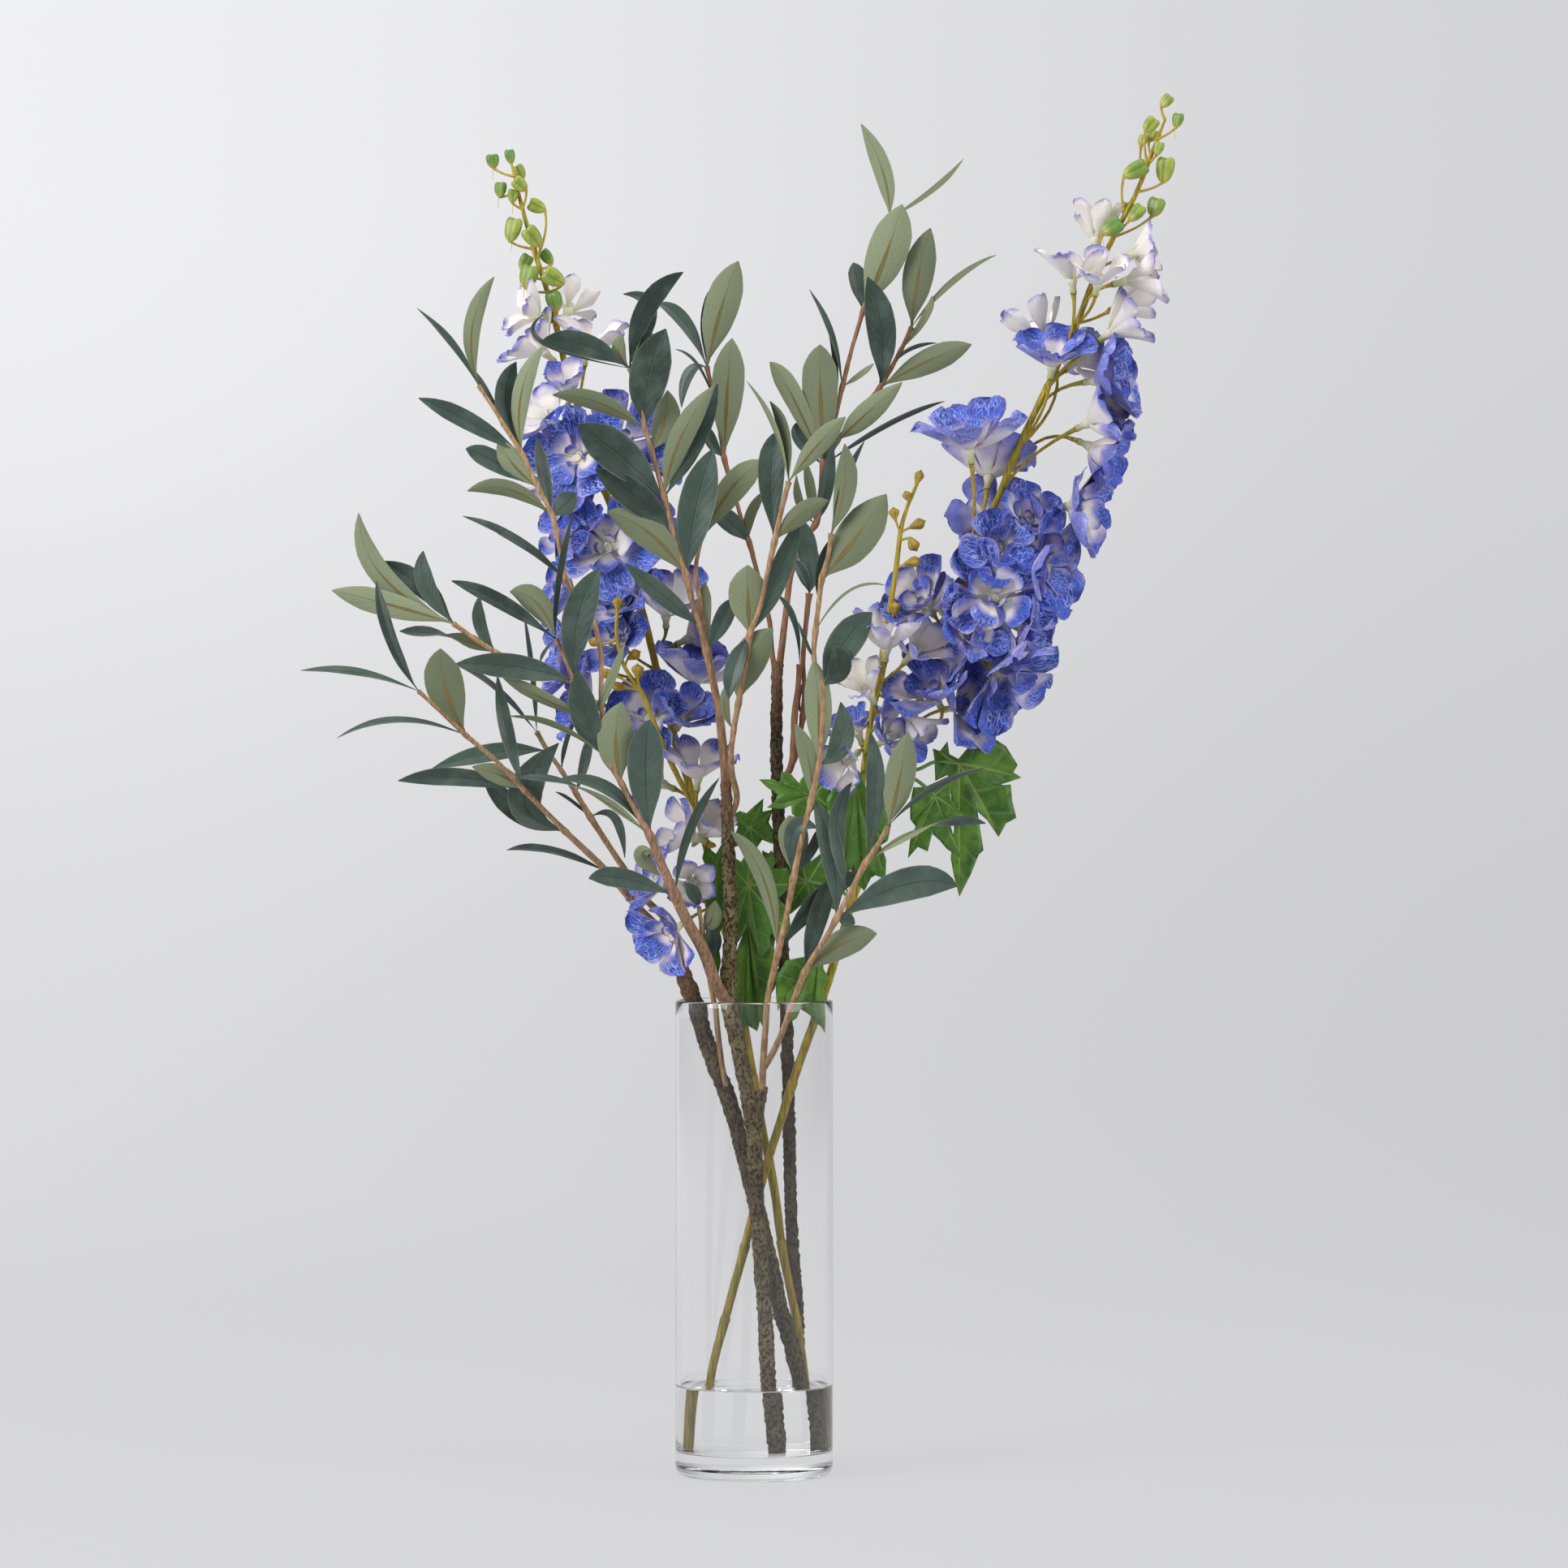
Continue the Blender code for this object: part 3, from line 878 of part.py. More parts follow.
def turned(profile, segments):
    """Body turned round the upright axis from a profile of radius and height, in millimetres."""
    verts, faces = [], []
    rings = []
    for radius, height in profile:
        rings.append(len(verts))
        count = segments if radius > 0.0 else 1
        for j in range(count):
            angle = math.tau * j / segments
            verts.append(Vector((math.cos(angle) * radius, math.sin(angle) * radius, height)) * MM)
    for k in range(len(profile) - 1):
        a0, b0 = rings[k], rings[k + 1]
        for j in range(segments):
            n = (j + 1) % segments
            if profile[k][0] == 0.0:
                faces.append((a0, b0 + n, b0 + j))
            elif profile[k + 1][0] == 0.0:
                faces.append((a0 + j, a0 + n, b0))
            else:
                faces.append((a0 + j, a0 + n, b0 + n, b0 + j))
    return closed(verts, faces)


def paint(made, colour, roughness, alpha=1.0, glass=0.0):
    """Give a node its own material."""
    surface = bpy.data.materials.new(made.name)
    surface.use_nodes = True
    shader = surface.node_tree.nodes["Principled BSDF"]
    shader.inputs["Base Color"].default_value = (*colour, 1.0)
    shader.inputs["Roughness"].default_value = roughness
    shader.inputs["Alpha"].default_value = alpha
    shader.inputs["Transmission Weight"].default_value = glass
    made.data.materials.clear()
    made.data.materials.append(surface)


def add_vase():
    """Clear cylinder with a thick floor and a rounded foot, and the water in it with holes for the stems."""
    inside = VASE_RADIUS - VASE_WALL
    profile = [(0.0, 0.0), (VASE_RADIUS - FOOT_ROUND, 0.0), (VASE_RADIUS - 1.8, 1.8),
               (VASE_RADIUS, FOOT_ROUND), (VASE_RADIUS, VASE_HEIGHT - 1.0), (VASE_RADIUS - 1.0, VASE_HEIGHT),
               (inside + 1.0, VASE_HEIGHT), (inside, VASE_HEIGHT - 1.0), (inside, VASE_FLOOR + 4.0),
               (inside - 4.0, VASE_FLOOR), (0.0, VASE_FLOOR)]
    paint(rename(thing("glass", turned(profile, 40)), "vase"), (0.90, 0.93, 0.92), 0.04, 0.3, 1.0)
    wet = inside - SEAT_GAP
    low = VASE_FLOOR + SEAT_GAP
    body = thing("pool", turned([(0.0, low), (wet - 4.0, low), (wet, low + 4.0), (wet, WATER_TOP),
                                 (0.0, WATER_TOP)], 40))
    holes = []
    for rows in list(TRUNKS.values()) + list(STEMS.values()):
        start, end = course(rows[:2])[0]
        along = (end - start) / (end - start).z
        wide = (rows[0][3] + 0.6) * MM
        foot = start + along * ((low - 6.0) * MM - start.z)
        head = start + along * ((WATER_TOP + 6.0) * MM - start.z)
        holes.append(tube([foot, head], [wide, wide], 8))
    paint(combine("water", body, holes, "DIFFERENCE"), (0.80, 0.88, 0.88), 0.05, 0.35)


def add_olive():
    """The three trunks and the sprays that sit on them."""
    floor = (VASE_FLOOR + SEAT_GAP) * MM
    for name, rows in TRUNKS.items():
        points, radii = course(rows)
        paint(rename(thing(name + "_bark", tube(points, radii, 8, floor)), name), (0.16, 0.12, 0.08), 0.85)
    for name in SPRAYS:
        cutters = [fatter(TRUNKS[SEATS[name][0]], CUT_GAP * MM, 8)]
        for other in SEATS[name][1:]:
            rows = SPRAYS[other][0][0]
            points, radii = course(rows, LEANS[other])
            points.insert(0, nearest(course(TRUNKS[SEATS[other][0]])[0], points[0]))
            radii.insert(0, radii[0])
            cutters.append(tube(points, [r + 2.0 * CUT_GAP * MM for r in radii], 8))
        paint(join(name, spray_pieces(name), cutters), (0.17, 0.24, 0.15), 0.6)


def solid_tree(pieces):
    """Search tree over the faces of several pieces at once."""
    verts, faces = [], []
    for places, sides in pieces:
        faces += [tuple(k + len(verts) for k in face) for face in sides]
        verts += [tuple(v) for v in places]
    return BVHTree.FromPolygons(verts, faces)


def clear_floret(row, lean, blockers, placed, number):
    """The first of the tries, each turned, tilted or made smaller a little more, that crosses no blocker.

    It either misses a floret that is already placed or runs well into it, because a graze joins badly.
    """
    x, z, y, ax, az, ay, size, opening, _ = row[2:]
    nominal = Vector((ax, ay, az)).normalized()
    heel = seen(x, z, y, lean) - nominal * CONE_LENGTH * MM
    best = None
    for attempt in range(TRIES):
        draw = random.Random(1000 * number + attempt)
        reach = 0.6 * attempt / TRIES
        tilt = Vector((draw.uniform(-reach, reach), draw.uniform(-reach, reach), draw.uniform(-reach, reach)))
        axis = (nominal + tilt).normalized()
        grown = size * (1.0 - 0.22 * attempt / TRIES) * MM
        bloom = floret(heel, axis, grown, opening, draw.uniform(0.0, math.tau), draw)
        tree = solid_tree([bloom])
        crossed = 10 * sum(len(tree.overlap(other)) for other in blockers)
        crossed += sum(0 < len(tree.overlap(other)) < GRAZE for other in placed)
        if best is None or crossed < best[0]:
            best = (crossed, bloom)
        if crossed == 0:
            break
    return best


def add_delphiniums():
    """The two stems, and the florets, of which those that touch make one node."""
    sprays = [solid_tree([as_piece(bpy.data.objects[name])]) for name in SPRAYS]
    for stem in STEMS:
        pieces = stem_pieces(stem)
        plant = stem.replace("_stem", "")
        blooms = []
        for number, row in enumerate(FLORETS[plant]):
            others = [piece for k, piece in enumerate(fat_pieces(stem)) if k != number + 2]
            placed = [solid_tree([other]) for other in blooms]
            crossed, bloom = clear_floret(row, LEANS[stem], [solid_tree(others)] + sprays, placed, number)
            if crossed:
                print("still crossing:", plant, number, crossed)
            blooms.append(bloom)
        paint(join(stem, pieces), (0.22, 0.34, 0.08), 0.6)
        for group in touching(blooms):
            name = f"{plant}_florets_{group[0] + 1:02d}"
            paint(join(name, [blooms[k] for k in group]), (0.20, 0.26, 0.62), 0.6)


def touching(pieces):
    """Numbers of the pieces in groups that touch one another."""
    trees = [BVHTree.FromPolygons([tuple(v) for v in verts], faces) for verts, faces in pieces]
    group = list(range(len(pieces)))
    for a in range(len(pieces)):
        for b in range(a + 1, len(pieces)):
            if group[a] != group[b] and trees[a].overlap(trees[b]):
                old, new = max(group[a], group[b]), min(group[a], group[b])
                group = [new if g == old else g for g in group]
    return [[k for k in range(len(pieces)) if group[k] == g] for g in sorted(set(group))]


for leftover in list(bpy.data.objects):
    bpy.data.objects.remove(leftover)
add_vase()
add_olive()
add_delphiniums()
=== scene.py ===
"""Two delphinium stems and three olive branches in a clear glass cylinder vase with a little water."""

# %% [markdown]
# # The imported frame
# The arrangement already exists as a plain CAD model with one body. Each piece made below stands exactly
# where its CAD node stands and hides it. One could model straight into a bare scene, but loading the frame
# first keeps every size honest.

# %% Load the frame
import math

import bmesh
import bpy
import numpy as np
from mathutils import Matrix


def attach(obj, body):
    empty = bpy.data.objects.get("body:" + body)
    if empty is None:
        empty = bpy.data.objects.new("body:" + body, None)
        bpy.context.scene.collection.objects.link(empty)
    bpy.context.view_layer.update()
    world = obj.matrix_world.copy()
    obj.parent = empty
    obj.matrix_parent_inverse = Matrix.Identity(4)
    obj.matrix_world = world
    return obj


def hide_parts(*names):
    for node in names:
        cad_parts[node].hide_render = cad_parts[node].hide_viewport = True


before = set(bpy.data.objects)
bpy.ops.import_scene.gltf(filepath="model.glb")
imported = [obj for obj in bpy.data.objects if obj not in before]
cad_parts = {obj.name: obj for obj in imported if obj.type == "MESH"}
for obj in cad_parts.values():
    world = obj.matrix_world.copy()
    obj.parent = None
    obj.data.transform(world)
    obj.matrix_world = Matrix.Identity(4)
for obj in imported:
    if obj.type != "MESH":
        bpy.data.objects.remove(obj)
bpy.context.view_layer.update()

# %% [markdown]
# # Sight lines
# The stems and leaves were placed on a picture taken from the front, so each place is written as
# the viewer sees it: to the right, up, and how far behind the middle of the vase. A place that is seen at
# one spot but lies deeper must move outwards along the sight line. Moving all places at once with array
# arithmetic is shorter and faster than moving them one by one.

# %% From seen places to true places
MM = 0.001
VIEW_X, VIEW_Z, VIEW_DISTANCE = 19.0, 438.0, 3711.0


def seen(x, z, depth, lean=(0.0, 0.0)):
    """True places, in metres, of points seen at (x, z) at a depth, all in millimetres.

    The depth first grows by the lean for each millimetre above its start. Then x and z move away from
    the middle of the view by the factor 1 + depth / distance.
    """
    x, z, depth = (np.asarray(value, float) for value in (x, z, depth))
    depth = depth + lean[1] * np.maximum(z - lean[0], 0.0)
    scale = 1.0 + depth / VIEW_DISTANCE
    return np.stack([VIEW_X + (x - VIEW_X) * scale, depth, VIEW_Z + (z - VIEW_Z) * scale], -1) * MM


def course(rows, lean=(0.0, 0.0)):
    """Path as four columns, place and radius in metres, from rows of x, z, depth and radius."""
    rows = np.array(rows, float)
    return np.concatenate([seen(rows[:, 0], rows[:, 1], rows[:, 2], lean), rows[:, 3:4] * MM], 1)


print("a leaf 100 mm behind the vase moves out by", round(100 / VIEW_DISTANCE * 100, 1), "%")

# %% [markdown]
# # Putting arrays into a mesh
# Every piece here is a list of shapes, and a shape is four arrays: places, corner numbers of faces, where
# each point lies on its own leaf or petal, and a few random tones. Blender could store the second pair as
# UV maps, but plain attributes survive merging and are read by name in a material, which is all we need.

# %% From shapes to one object
def unit(vectors):
    """Vectors divided by their own length."""
    return vectors / np.maximum(np.linalg.norm(vectors, axis=-1, keepdims=True), 1e-12)


def put(name, shapes, material, nodes):
    """One object of many shapes, smooth but sharp where faces meet at more than 50 degrees.

    The shapes' corner numbers are raised by the number of points before them, so that all arrays join.
    """
    starts = np.cumsum([0] + [len(shape[0]) for shape in shapes])
    raised = [part + start for shape, start in zip(shapes, starts) for part in shape[1]]
    faces = [row for part in raised for row in part.tolist()]
    mesh = bpy.data.meshes.new(name)
    mesh.from_pydata(np.concatenate([shape[0] for shape in shapes]).tolist(), [], faces)
    for label, column in (("spot", 2), ("tone", 3)):
        values = np.concatenate([np.broadcast_to(shape[column], (len(shape[0]), 3)) for shape in shapes])
        attribute = mesh.attributes.new(label, "FLOAT_VECTOR", "POINT")
        attribute.data.foreach_set("vector", values.astype("f").ravel())
    mesh.polygons.foreach_set("use_smooth", np.ones(len(mesh.polygons), bool))
    mesh.set_sharp_from_angle(angle=math.radians(50))
    piece = bpy.data.objects.new(name, mesh)
    bpy.context.scene.collection.objects.link(piece)
    mesh.materials.append(material)
    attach(piece, "root")
    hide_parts(*nodes)
    triangles = sum(len(face) - 2 for face in faces)
    shown = ", ".join(nodes[:3]) + (" ..." if len(nodes) > 3 else "")
    print(f"{name}: {triangles} triangles for {shown}")
    return piece


print("a piece of several shapes is one mesh with two attributes, spot and tone")

# %% [markdown]
# # Nodes in few words
# A finish is a small tree of shader nodes. Clicking it together by hand works for one material, but this
# object needs a dozen, so a few helpers add a node, feed its sockets and return its output.

# %% Helpers for nodes
def paint(red, green, blue):
    """Linear colour of a screen colour from 0 to 255.

    With s the share of 255 it is ((s + 0.055) / 1.055) to the power 2.4, or s / 12.92 near black.
    """
    share = np.array([red, green, blue]) / 255.0
    return (*np.where(share <= 0.04045, share / 12.92, ((share + 0.055) / 1.055) ** 2.4), 1.0)


def feed(tree, socket, value):
    """Link an output to a socket, or set the socket's own value."""
    if isinstance(value, bpy.types.NodeSocket):
        tree.links.new(value, socket)
    else:
        socket.default_value = value


def add(tree, kind, *values, out=0, **settings):
    """Output of a new node; the values go to its first sockets in order, and None leaves one alone."""
    node = tree.nodes.new("ShaderNode" + kind)
    for key, value in settings.items():
        setattr(node, key, value)
    for socket, value in zip(node.inputs, values):
        if value is not None:
            feed(tree, socket, value)
    return node.outputs[out]


def sums(tree, operation, first, *more):
    """Arithmetic of one, two or three numbers in one node."""
    return add(tree, "Math", first, *more, operation=operation)


def chain(tree, operation, first, *more):
    """Arithmetic of several numbers, one after the other."""
    for number in more:
        first = sums(tree, operation, first, number)
    return first


def times(tree, *numbers):
    """Product of numbers."""
    return chain(tree, "MULTIPLY", *numbers)


def plus(tree, *numbers):
    """Sum of numbers."""
    return chain(tree, "ADD", *numbers)


def minus(tree, *numbers):
    """First number less all the others."""
    return chain(tree, "SUBTRACT", *numbers)


def size_of(tree, number):
    """A number without its sign."""
    return sums(tree, "ABSOLUTE", number)


def vectors(tree, operation, first, second):
    """Arithmetic of two vectors."""
    return add(tree, "VectorMath", first, second, operation=operation)


def spread(tree, value, low, high, to_low=0.0, to_high=1.0):
    """Value carried from one range to another, held at its ends; its share s is eased to 3 s^2 - 2 s^3."""
    return add(tree, "MapRange", value, low, high, to_low, to_high, interpolation_type="SMOOTHSTEP")


def blend(tree, share, first, second):
    """Mix of two colours by a share."""
    node = tree.nodes.new("ShaderNodeMix")
    node.data_type = "RGBA"
    for number, value in ((0, share), (6, first), (7, second)):
        feed(tree, node.inputs[number], value)
    return node.outputs[2]


def layered(tree, colour, *layers):
    """Colour with others laid over it in turn; a layer is its share and its colour."""
    for share, over in layers:
        colour = blend(tree, share, colour, over)
    return colour


def noise(tree, vector, scale, detail=3.0, rough=0.55):
    """Cloudy noise from 0 to 1."""
    return add(tree, "TexNoise", vector, None, scale, detail, rough)


def parts(tree, label):
    """The three numbers of an attribute, and the whole vector."""
    whole = add(tree, "Attribute", out=1, attribute_name=label)
    node = tree.nodes.new("ShaderNodeSeparateXYZ")
    feed(tree, node.inputs[0], whole)
    return (*node.outputs, whole)


print("a middle grey of 128 is", round(float(paint(128, 128, 128)[0]), 3), "in linear light")

# %% Helpers for whole finishes
def finish(name, **sockets):
    """New material, its tree, its shader and the object's own coordinates; sockets are set directly."""
    material = bpy.data.materials.new(name)
    material.use_nodes = True
    tree = material.node_tree
    shader = tree.nodes["Principled BSDF"]
    print("finish", name)
    for key, value in sockets.items():
        shader.inputs[key.replace("_", " ")].default_value = value
    return material, tree, shader, add(tree, "TexCoord", out=3)


def colour_in(tree, shader, *layers):
    """Give the shader its base colour: the first colour with the layers over it."""
    feed(tree, shader.inputs["Base Color"], layered(tree, *layers))


def bump(tree, shader, height, strength, distance):
    """Raise the surface's shading by a height pattern, the distance in metres."""
    feed(tree, shader.inputs["Normal"], add(tree, "Bump", strength, distance, None, height))


print("a finish is a material with a base colour in layers and a bump")

# %% [markdown]
# # Tubes
# Trunks, twigs, stalks and spurs are all a circle carried along a path. A curve object with a bevel would
# do it too, but rings worked out as arrays can swell at the nodes and carry bark, and many stalks
# are made in one go. A listed path is first made smooth with cubic pieces.

# %% Smooth paths
def smooth(path, step):
    """Path through the same points, sampled every step metres.

    Between two points it is the cubic that has their places and slopes, and a point's slope is the mean
    run of its neighbours. All columns are treated alike, so the radius is smoothed with the place.
    """
    along = np.r_[0.0, np.cumsum(np.linalg.norm(np.diff(path[:, :3], axis=0), axis=1))]
    slope = np.gradient(path, along, axis=0)
    t = np.linspace(0.0, along[-1], max(int(along[-1] / step), 2) + 1)
    k = np.clip(np.searchsorted(along, t, side="right") - 1, 0, len(along) - 2)
    h = (along[k + 1] - along[k])[:, None]
    s = (t - along[k])[:, None] / h
    return ((2 * s**3 - 3 * s**2 + 1) * path[k] + (s**3 - 2 * s**2 + s) * h * slope[k]
            + (3 * s**2 - 2 * s**3) * path[k + 1] + (s**3 - s**2) * h * slope[k + 1])


print("a 300 mm twig gets", len(smooth(np.array([[0, 0, 0, 1], [0, 0, 0.3, 1]]), 0.004)), "rings")

# %% Rings along paths
def quads(count, rows, columns, wrap=False):
    """Corner numbers of the four-sided faces of equal grids, closed across the columns if wrapped."""
    index = np.arange(count * rows * columns).reshape(count, rows, columns)
    if wrap:
        index = np.concatenate([index, index[:, :, :1]], 2)
    corners = index[:, :-1, :-1], index[:, :-1, 1:], index[:, 1:, 1:], index[:, 1:, :-1]
    return np.stack(corners, -1).reshape(-1, 4)


def tube_faces(count, rows, sides):
    """Faces of equal tubes: the walls, and one many-sided face at either end."""
    index = np.arange(count * rows * sides).reshape(count, rows, sides)
    return [quads(count, rows, sides, True), index[:, 0, ::-1], index[:, -1]]


def tubes(paths, sides, tone, relief=None):
    """Closed tubes round several paths of the same length.

    A ring's point is the path's point + radius * (u cos a + v sin a), where u and v are square to the
    path. The relief is a function of the places that gives an extra radius along the outward direction.
    """
    centre, radius = paths[..., :3], paths[..., 3]
    count, rows = radius.shape
    tangent = unit(np.gradient(centre, axis=1))
    chord = np.abs(unit(centre[:, -1] - centre[:, 0]))
    u = unit(np.cross(tangent, np.eye(3)[np.argmin(chord, -1)][:, None]))
    v = np.cross(tangent, u)
    angle = np.arange(sides) * math.tau / sides
    out = u[:, :, None] * np.cos(angle)[:, None] + v[:, :, None] * np.sin(angle)[:, None]
    places = centre[:, :, None] + out * radius[:, :, None, None]
    if relief is not None:
        places = places + out * relief(places)[..., None]
    length = np.cumsum(np.linalg.norm(np.diff(centre, axis=1, prepend=centre[:, :1]), axis=2), 1)
    spot = np.stack(np.broadcast_arrays(length[:, :, None] / MM, angle / math.tau,
                                        np.linspace(0, 1, rows)[:, None]), -1)
    tones = np.repeat(np.broadcast_to(tone, (count, 3)), rows * sides, 0)
    return places.reshape(-1, 3), tube_faces(count, rows, sides), spot.reshape(-1, 3), tones


print("a stalk of 9 rings with 8 sides has", sum(len(part) for part in tube_faces(1, 9, 8)), "faces")

# %% [markdown]
# # Thin blades
# Leaves and petals are thin, slightly cushioned sheets. Giving a flat sheet the Solidify modifier makes a
# square rim all round it, so here the upper and the lower face are two grids that share their edge
# points: the blade is closed, thins out to a fine rim and never has a gap.

# %% Closed sheets from grids
def sheets(grid, thick, tone):
    """Blades from grids of shape (blades, rows, columns, 3).

    The normal is the cross product of the run along the rows' direction and the run across. The upper
    face is the grid + normal * half the thickness and the lower one the grid - the same; on the edge
    the thickness is 0 and both use the same points. The spot is how far along, how far across from
    -1 to 1, and 0 on the upper face, 1 on the lower one and a half on the edge.
    """
    count, rows, columns, _ = grid.shape
    normal = unit(np.cross(np.gradient(grid, axis=1), np.gradient(grid, axis=2)))
    inner = np.zeros((rows, columns), bool)
    inner[1:-1, 1:-1] = True
    offset = normal * (thick * 0.5) * inner[None, :, :, None]
    upper = np.arange(count * rows * columns).reshape(count, rows, columns)
    lower = upper.copy()
    mask = np.broadcast_to(inner, upper.shape)
    lower[mask] = upper.size + np.arange(mask.sum())
    base = quads(count, rows, columns)
    faces = [base[:, ::-1], lower.ravel()[base]]
    along, across = np.meshgrid(np.linspace(0, 1, rows), np.linspace(-1, 1, columns), indexing="ij")
    spot = np.broadcast_to(np.stack([along, across, np.where(inner, 0.0, 0.5)], -1), grid.shape)
    under = spot[mask] * (1, 1, 0) + (0, 0, 1)
    tones = np.broadcast_to(np.asarray(tone, float).reshape(-1, 1, 1, 3), grid.shape)
    places = np.concatenate([(grid + offset).reshape(-1, 3), (grid - offset)[mask]])
    spots = np.concatenate([spot.reshape(-1, 3), under])
    return places, faces, spots, np.concatenate([tones.reshape(-1, 3), tones[mask]])


print("a blade has two faces that share their rim")

# %% [markdown]
# # The vase
# A clear cylinder, 100 mm wide and 301 mm high, with a thick floor, a softly rounded foot and a fire
# polished rim. Glass is the classic case for a lathe: one profile turned round the upright axis. The Spin
# tool would do the same, but as a grid the rounded edges are exact and both poles close cleanly.

# %% Profiles and turned bodies
VASE_RADIUS, VASE_WALL, VASE_HEIGHT = 50.0, 3.0, 301.0
VASE_FLOOR, FOOT_ROUND, INNER_ROUND = 15.0, 6.0, 4.0


def wall(radius, start, end, count=12):
    """Upright line of a profile, from one height to another."""
    return np.stack([np.full(count, radius), np.linspace(start, end, count)], 1)


def corner(radius, height, size, start, end, count=7):
    """Rounded corner of a profile: points on a circle from one angle to another, in degrees."""
    angle = np.radians(np.linspace(start, end, count))
    return np.stack([radius + size * np.cos(angle), height + size * np.sin(angle)], 1)


def circles(profile, segments):
    """A ring of places for each radius and height of a profile: (radius cos a, radius sin a, height)."""
    angle = np.arange(segments) * math.tau / segments
    circle = np.stack([np.cos(angle), np.sin(angle), np.zeros(segments)], -1)
    return (profile[:, None, :1] * circle + profile[:, None, 1:] * (0, 0, 1)).reshape(-1, 3)


def turned(profile, segments):
    """Body from a profile of radius and height in millimetres that begins and ends on the axis.

    Its two ends are single points, each joined to the nearest ring by a fan of triangles.
    """
    rings = len(profile) - 2
    places = circles(profile[1:-1], segments)
    ends = np.array([[0, 0, profile[0, 1]], [0, 0, profile[-1, 1]]])
    first, last = np.arange(segments), (rings - 1) * segments + np.arange(segments)
    fan = np.stack([np.full(segments, len(places)), np.roll(first, -1), first], 1)
    cap = np.stack([np.full(segments, len(places) + 1), last, np.roll(last, -1)], 1)
    faces = [quads(1, rings, segments, True), fan, cap]
    return np.concatenate([places, ends]) * MM, faces, (0, 0, 0), (0, 0, 0)


print("a rounded corner has", len(corner(0, 0, 1, 0, 90)), "points")

# %% Turn the vase
inside = VASE_RADIUS - VASE_WALL
lip = VASE_WALL / 2
underside = [[0.0, 0.9], [30.0, 0.6], [40.0, 0.0]]
glass_profile = np.concatenate([
    underside,
    corner(VASE_RADIUS - FOOT_ROUND, FOOT_ROUND, FOOT_ROUND, -90, 0),
    wall(VASE_RADIUS, 20, 290),
    corner(VASE_RADIUS - lip, VASE_HEIGHT - lip, lip, 0, 180, 9),
    wall(inside, 290, 25),
    corner(inside - INNER_ROUND, VASE_FLOOR + INNER_ROUND, INNER_ROUND, 0, -90),
    [[30.0, VASE_FLOOR], [0.0, VASE_FLOOR]]])
clear_glass, tree, shader, where = finish(
    "clear_glass", Base_Color=(1.0, 1.0, 1.0, 1.0), Roughness=0.0, IOR=1.47, Transmission_Weight=1.0)
bump(tree, shader, noise(tree, where, 14.0, 1.0), 0.06, 0.0006)
put("glass_vase", [turned(glass_profile, 128)], clear_glass, ["vase"])

# %% [markdown]
# # The water
# Some 40 mm of still water. It bends the sight of the stems, which look wider and shifted in it. If its
# side stopped just short of the glass there would be a film of air with false mirror edges, so it reaches
# a fraction of a millimetre into the wall, and its surface climbs a little at the glass.

# %% Fill the vase
WATER_TOP, SINK = 56.0, 0.15
wet, low = inside + SINK, VASE_FLOOR - SINK
# Where the water climbs the wall: the distance from the glass and the rise there.
CLIMB = ((0.0, 1.2), (0.5, 0.75), (1.2, 0.3), (2.4, 0.05), (4.0, 0.0))
water_profile = np.concatenate([
    [[0.0, low], [30.0, low]],
    corner(inside - INNER_ROUND, VASE_FLOOR + INNER_ROUND, INNER_ROUND + SINK, -90, 0),
    [[wet, 30.0]],
    [[wet - away, WATER_TOP + rise] for away, rise in CLIMB],
    [[25.0, WATER_TOP], [0.0, WATER_TOP]]])
still_water, tree, shader, where = finish(
    "still_water", Base_Color=(0.99, 1.0, 0.995, 1.0), Roughness=0.0, IOR=1.333, Transmission_Weight=1.0)
bump(tree, shader, noise(tree, where, 25.0, 1.0), 0.05, 0.0005)
put("water_pool", [turned(water_profile, 128)], still_water, ["water"])

# %% [markdown]
# # Bark
# The three olive trunks wear a rough brown-grey bark of fine grains with dark pits. Displacing a dense
# tube with a texture modifier would work, but worked out by hand the grains keep one size all round and
# also show in the silhouette. The material adds what is too fine for the mesh.

# %% Value noise for reliefs
LATTICE = np.random.default_rng(7).random(8192)
MIXERS = (73856093, 19349663, 83492791)
# Hills of the bark: their width and height in millimetres.
BARK_HILLS = ((1.9, 1.45), (4.0, 0.6), (14.0, 0.5))


def grain(places, size, seed=0):
    """Soft random hills: random numbers on a lattice of this size in metres, blended between its corners.

    The share within a cell is eased by f * f * (3 - 2 f), and the eight corners are mixed by it. A
    corner's place in the list of random numbers comes from its three whole numbers times large primes.
    """
    cell = places / size
    base = np.floor(cell).astype(np.int64)
    f = cell - base
    f = f * f * (3 - 2 * f)
    total = 0.0
    for step in np.ndindex(2, 2, 2):
        key = np.bitwise_xor.reduce((base + step) * MIXERS, -1)
        weight = np.prod(np.abs(1 - np.array(step) - f), -1)
        total = total + weight * LATTICE[(key + seed * 977) % len(LATTICE)]
    return total


def bark_relief(places):
    """Extra radius of the bark: the sum of all its hills, less about half of what they add up to."""
    hills = sum(height * grain(places, size * MM, seed) for seed, (size, height) in enumerate(BARK_HILLS))
    return MM * (hills - 1.25)


print("bark hills from", BARK_HILLS[0][0], "to", BARK_HILLS[-1][0], "mm wide")

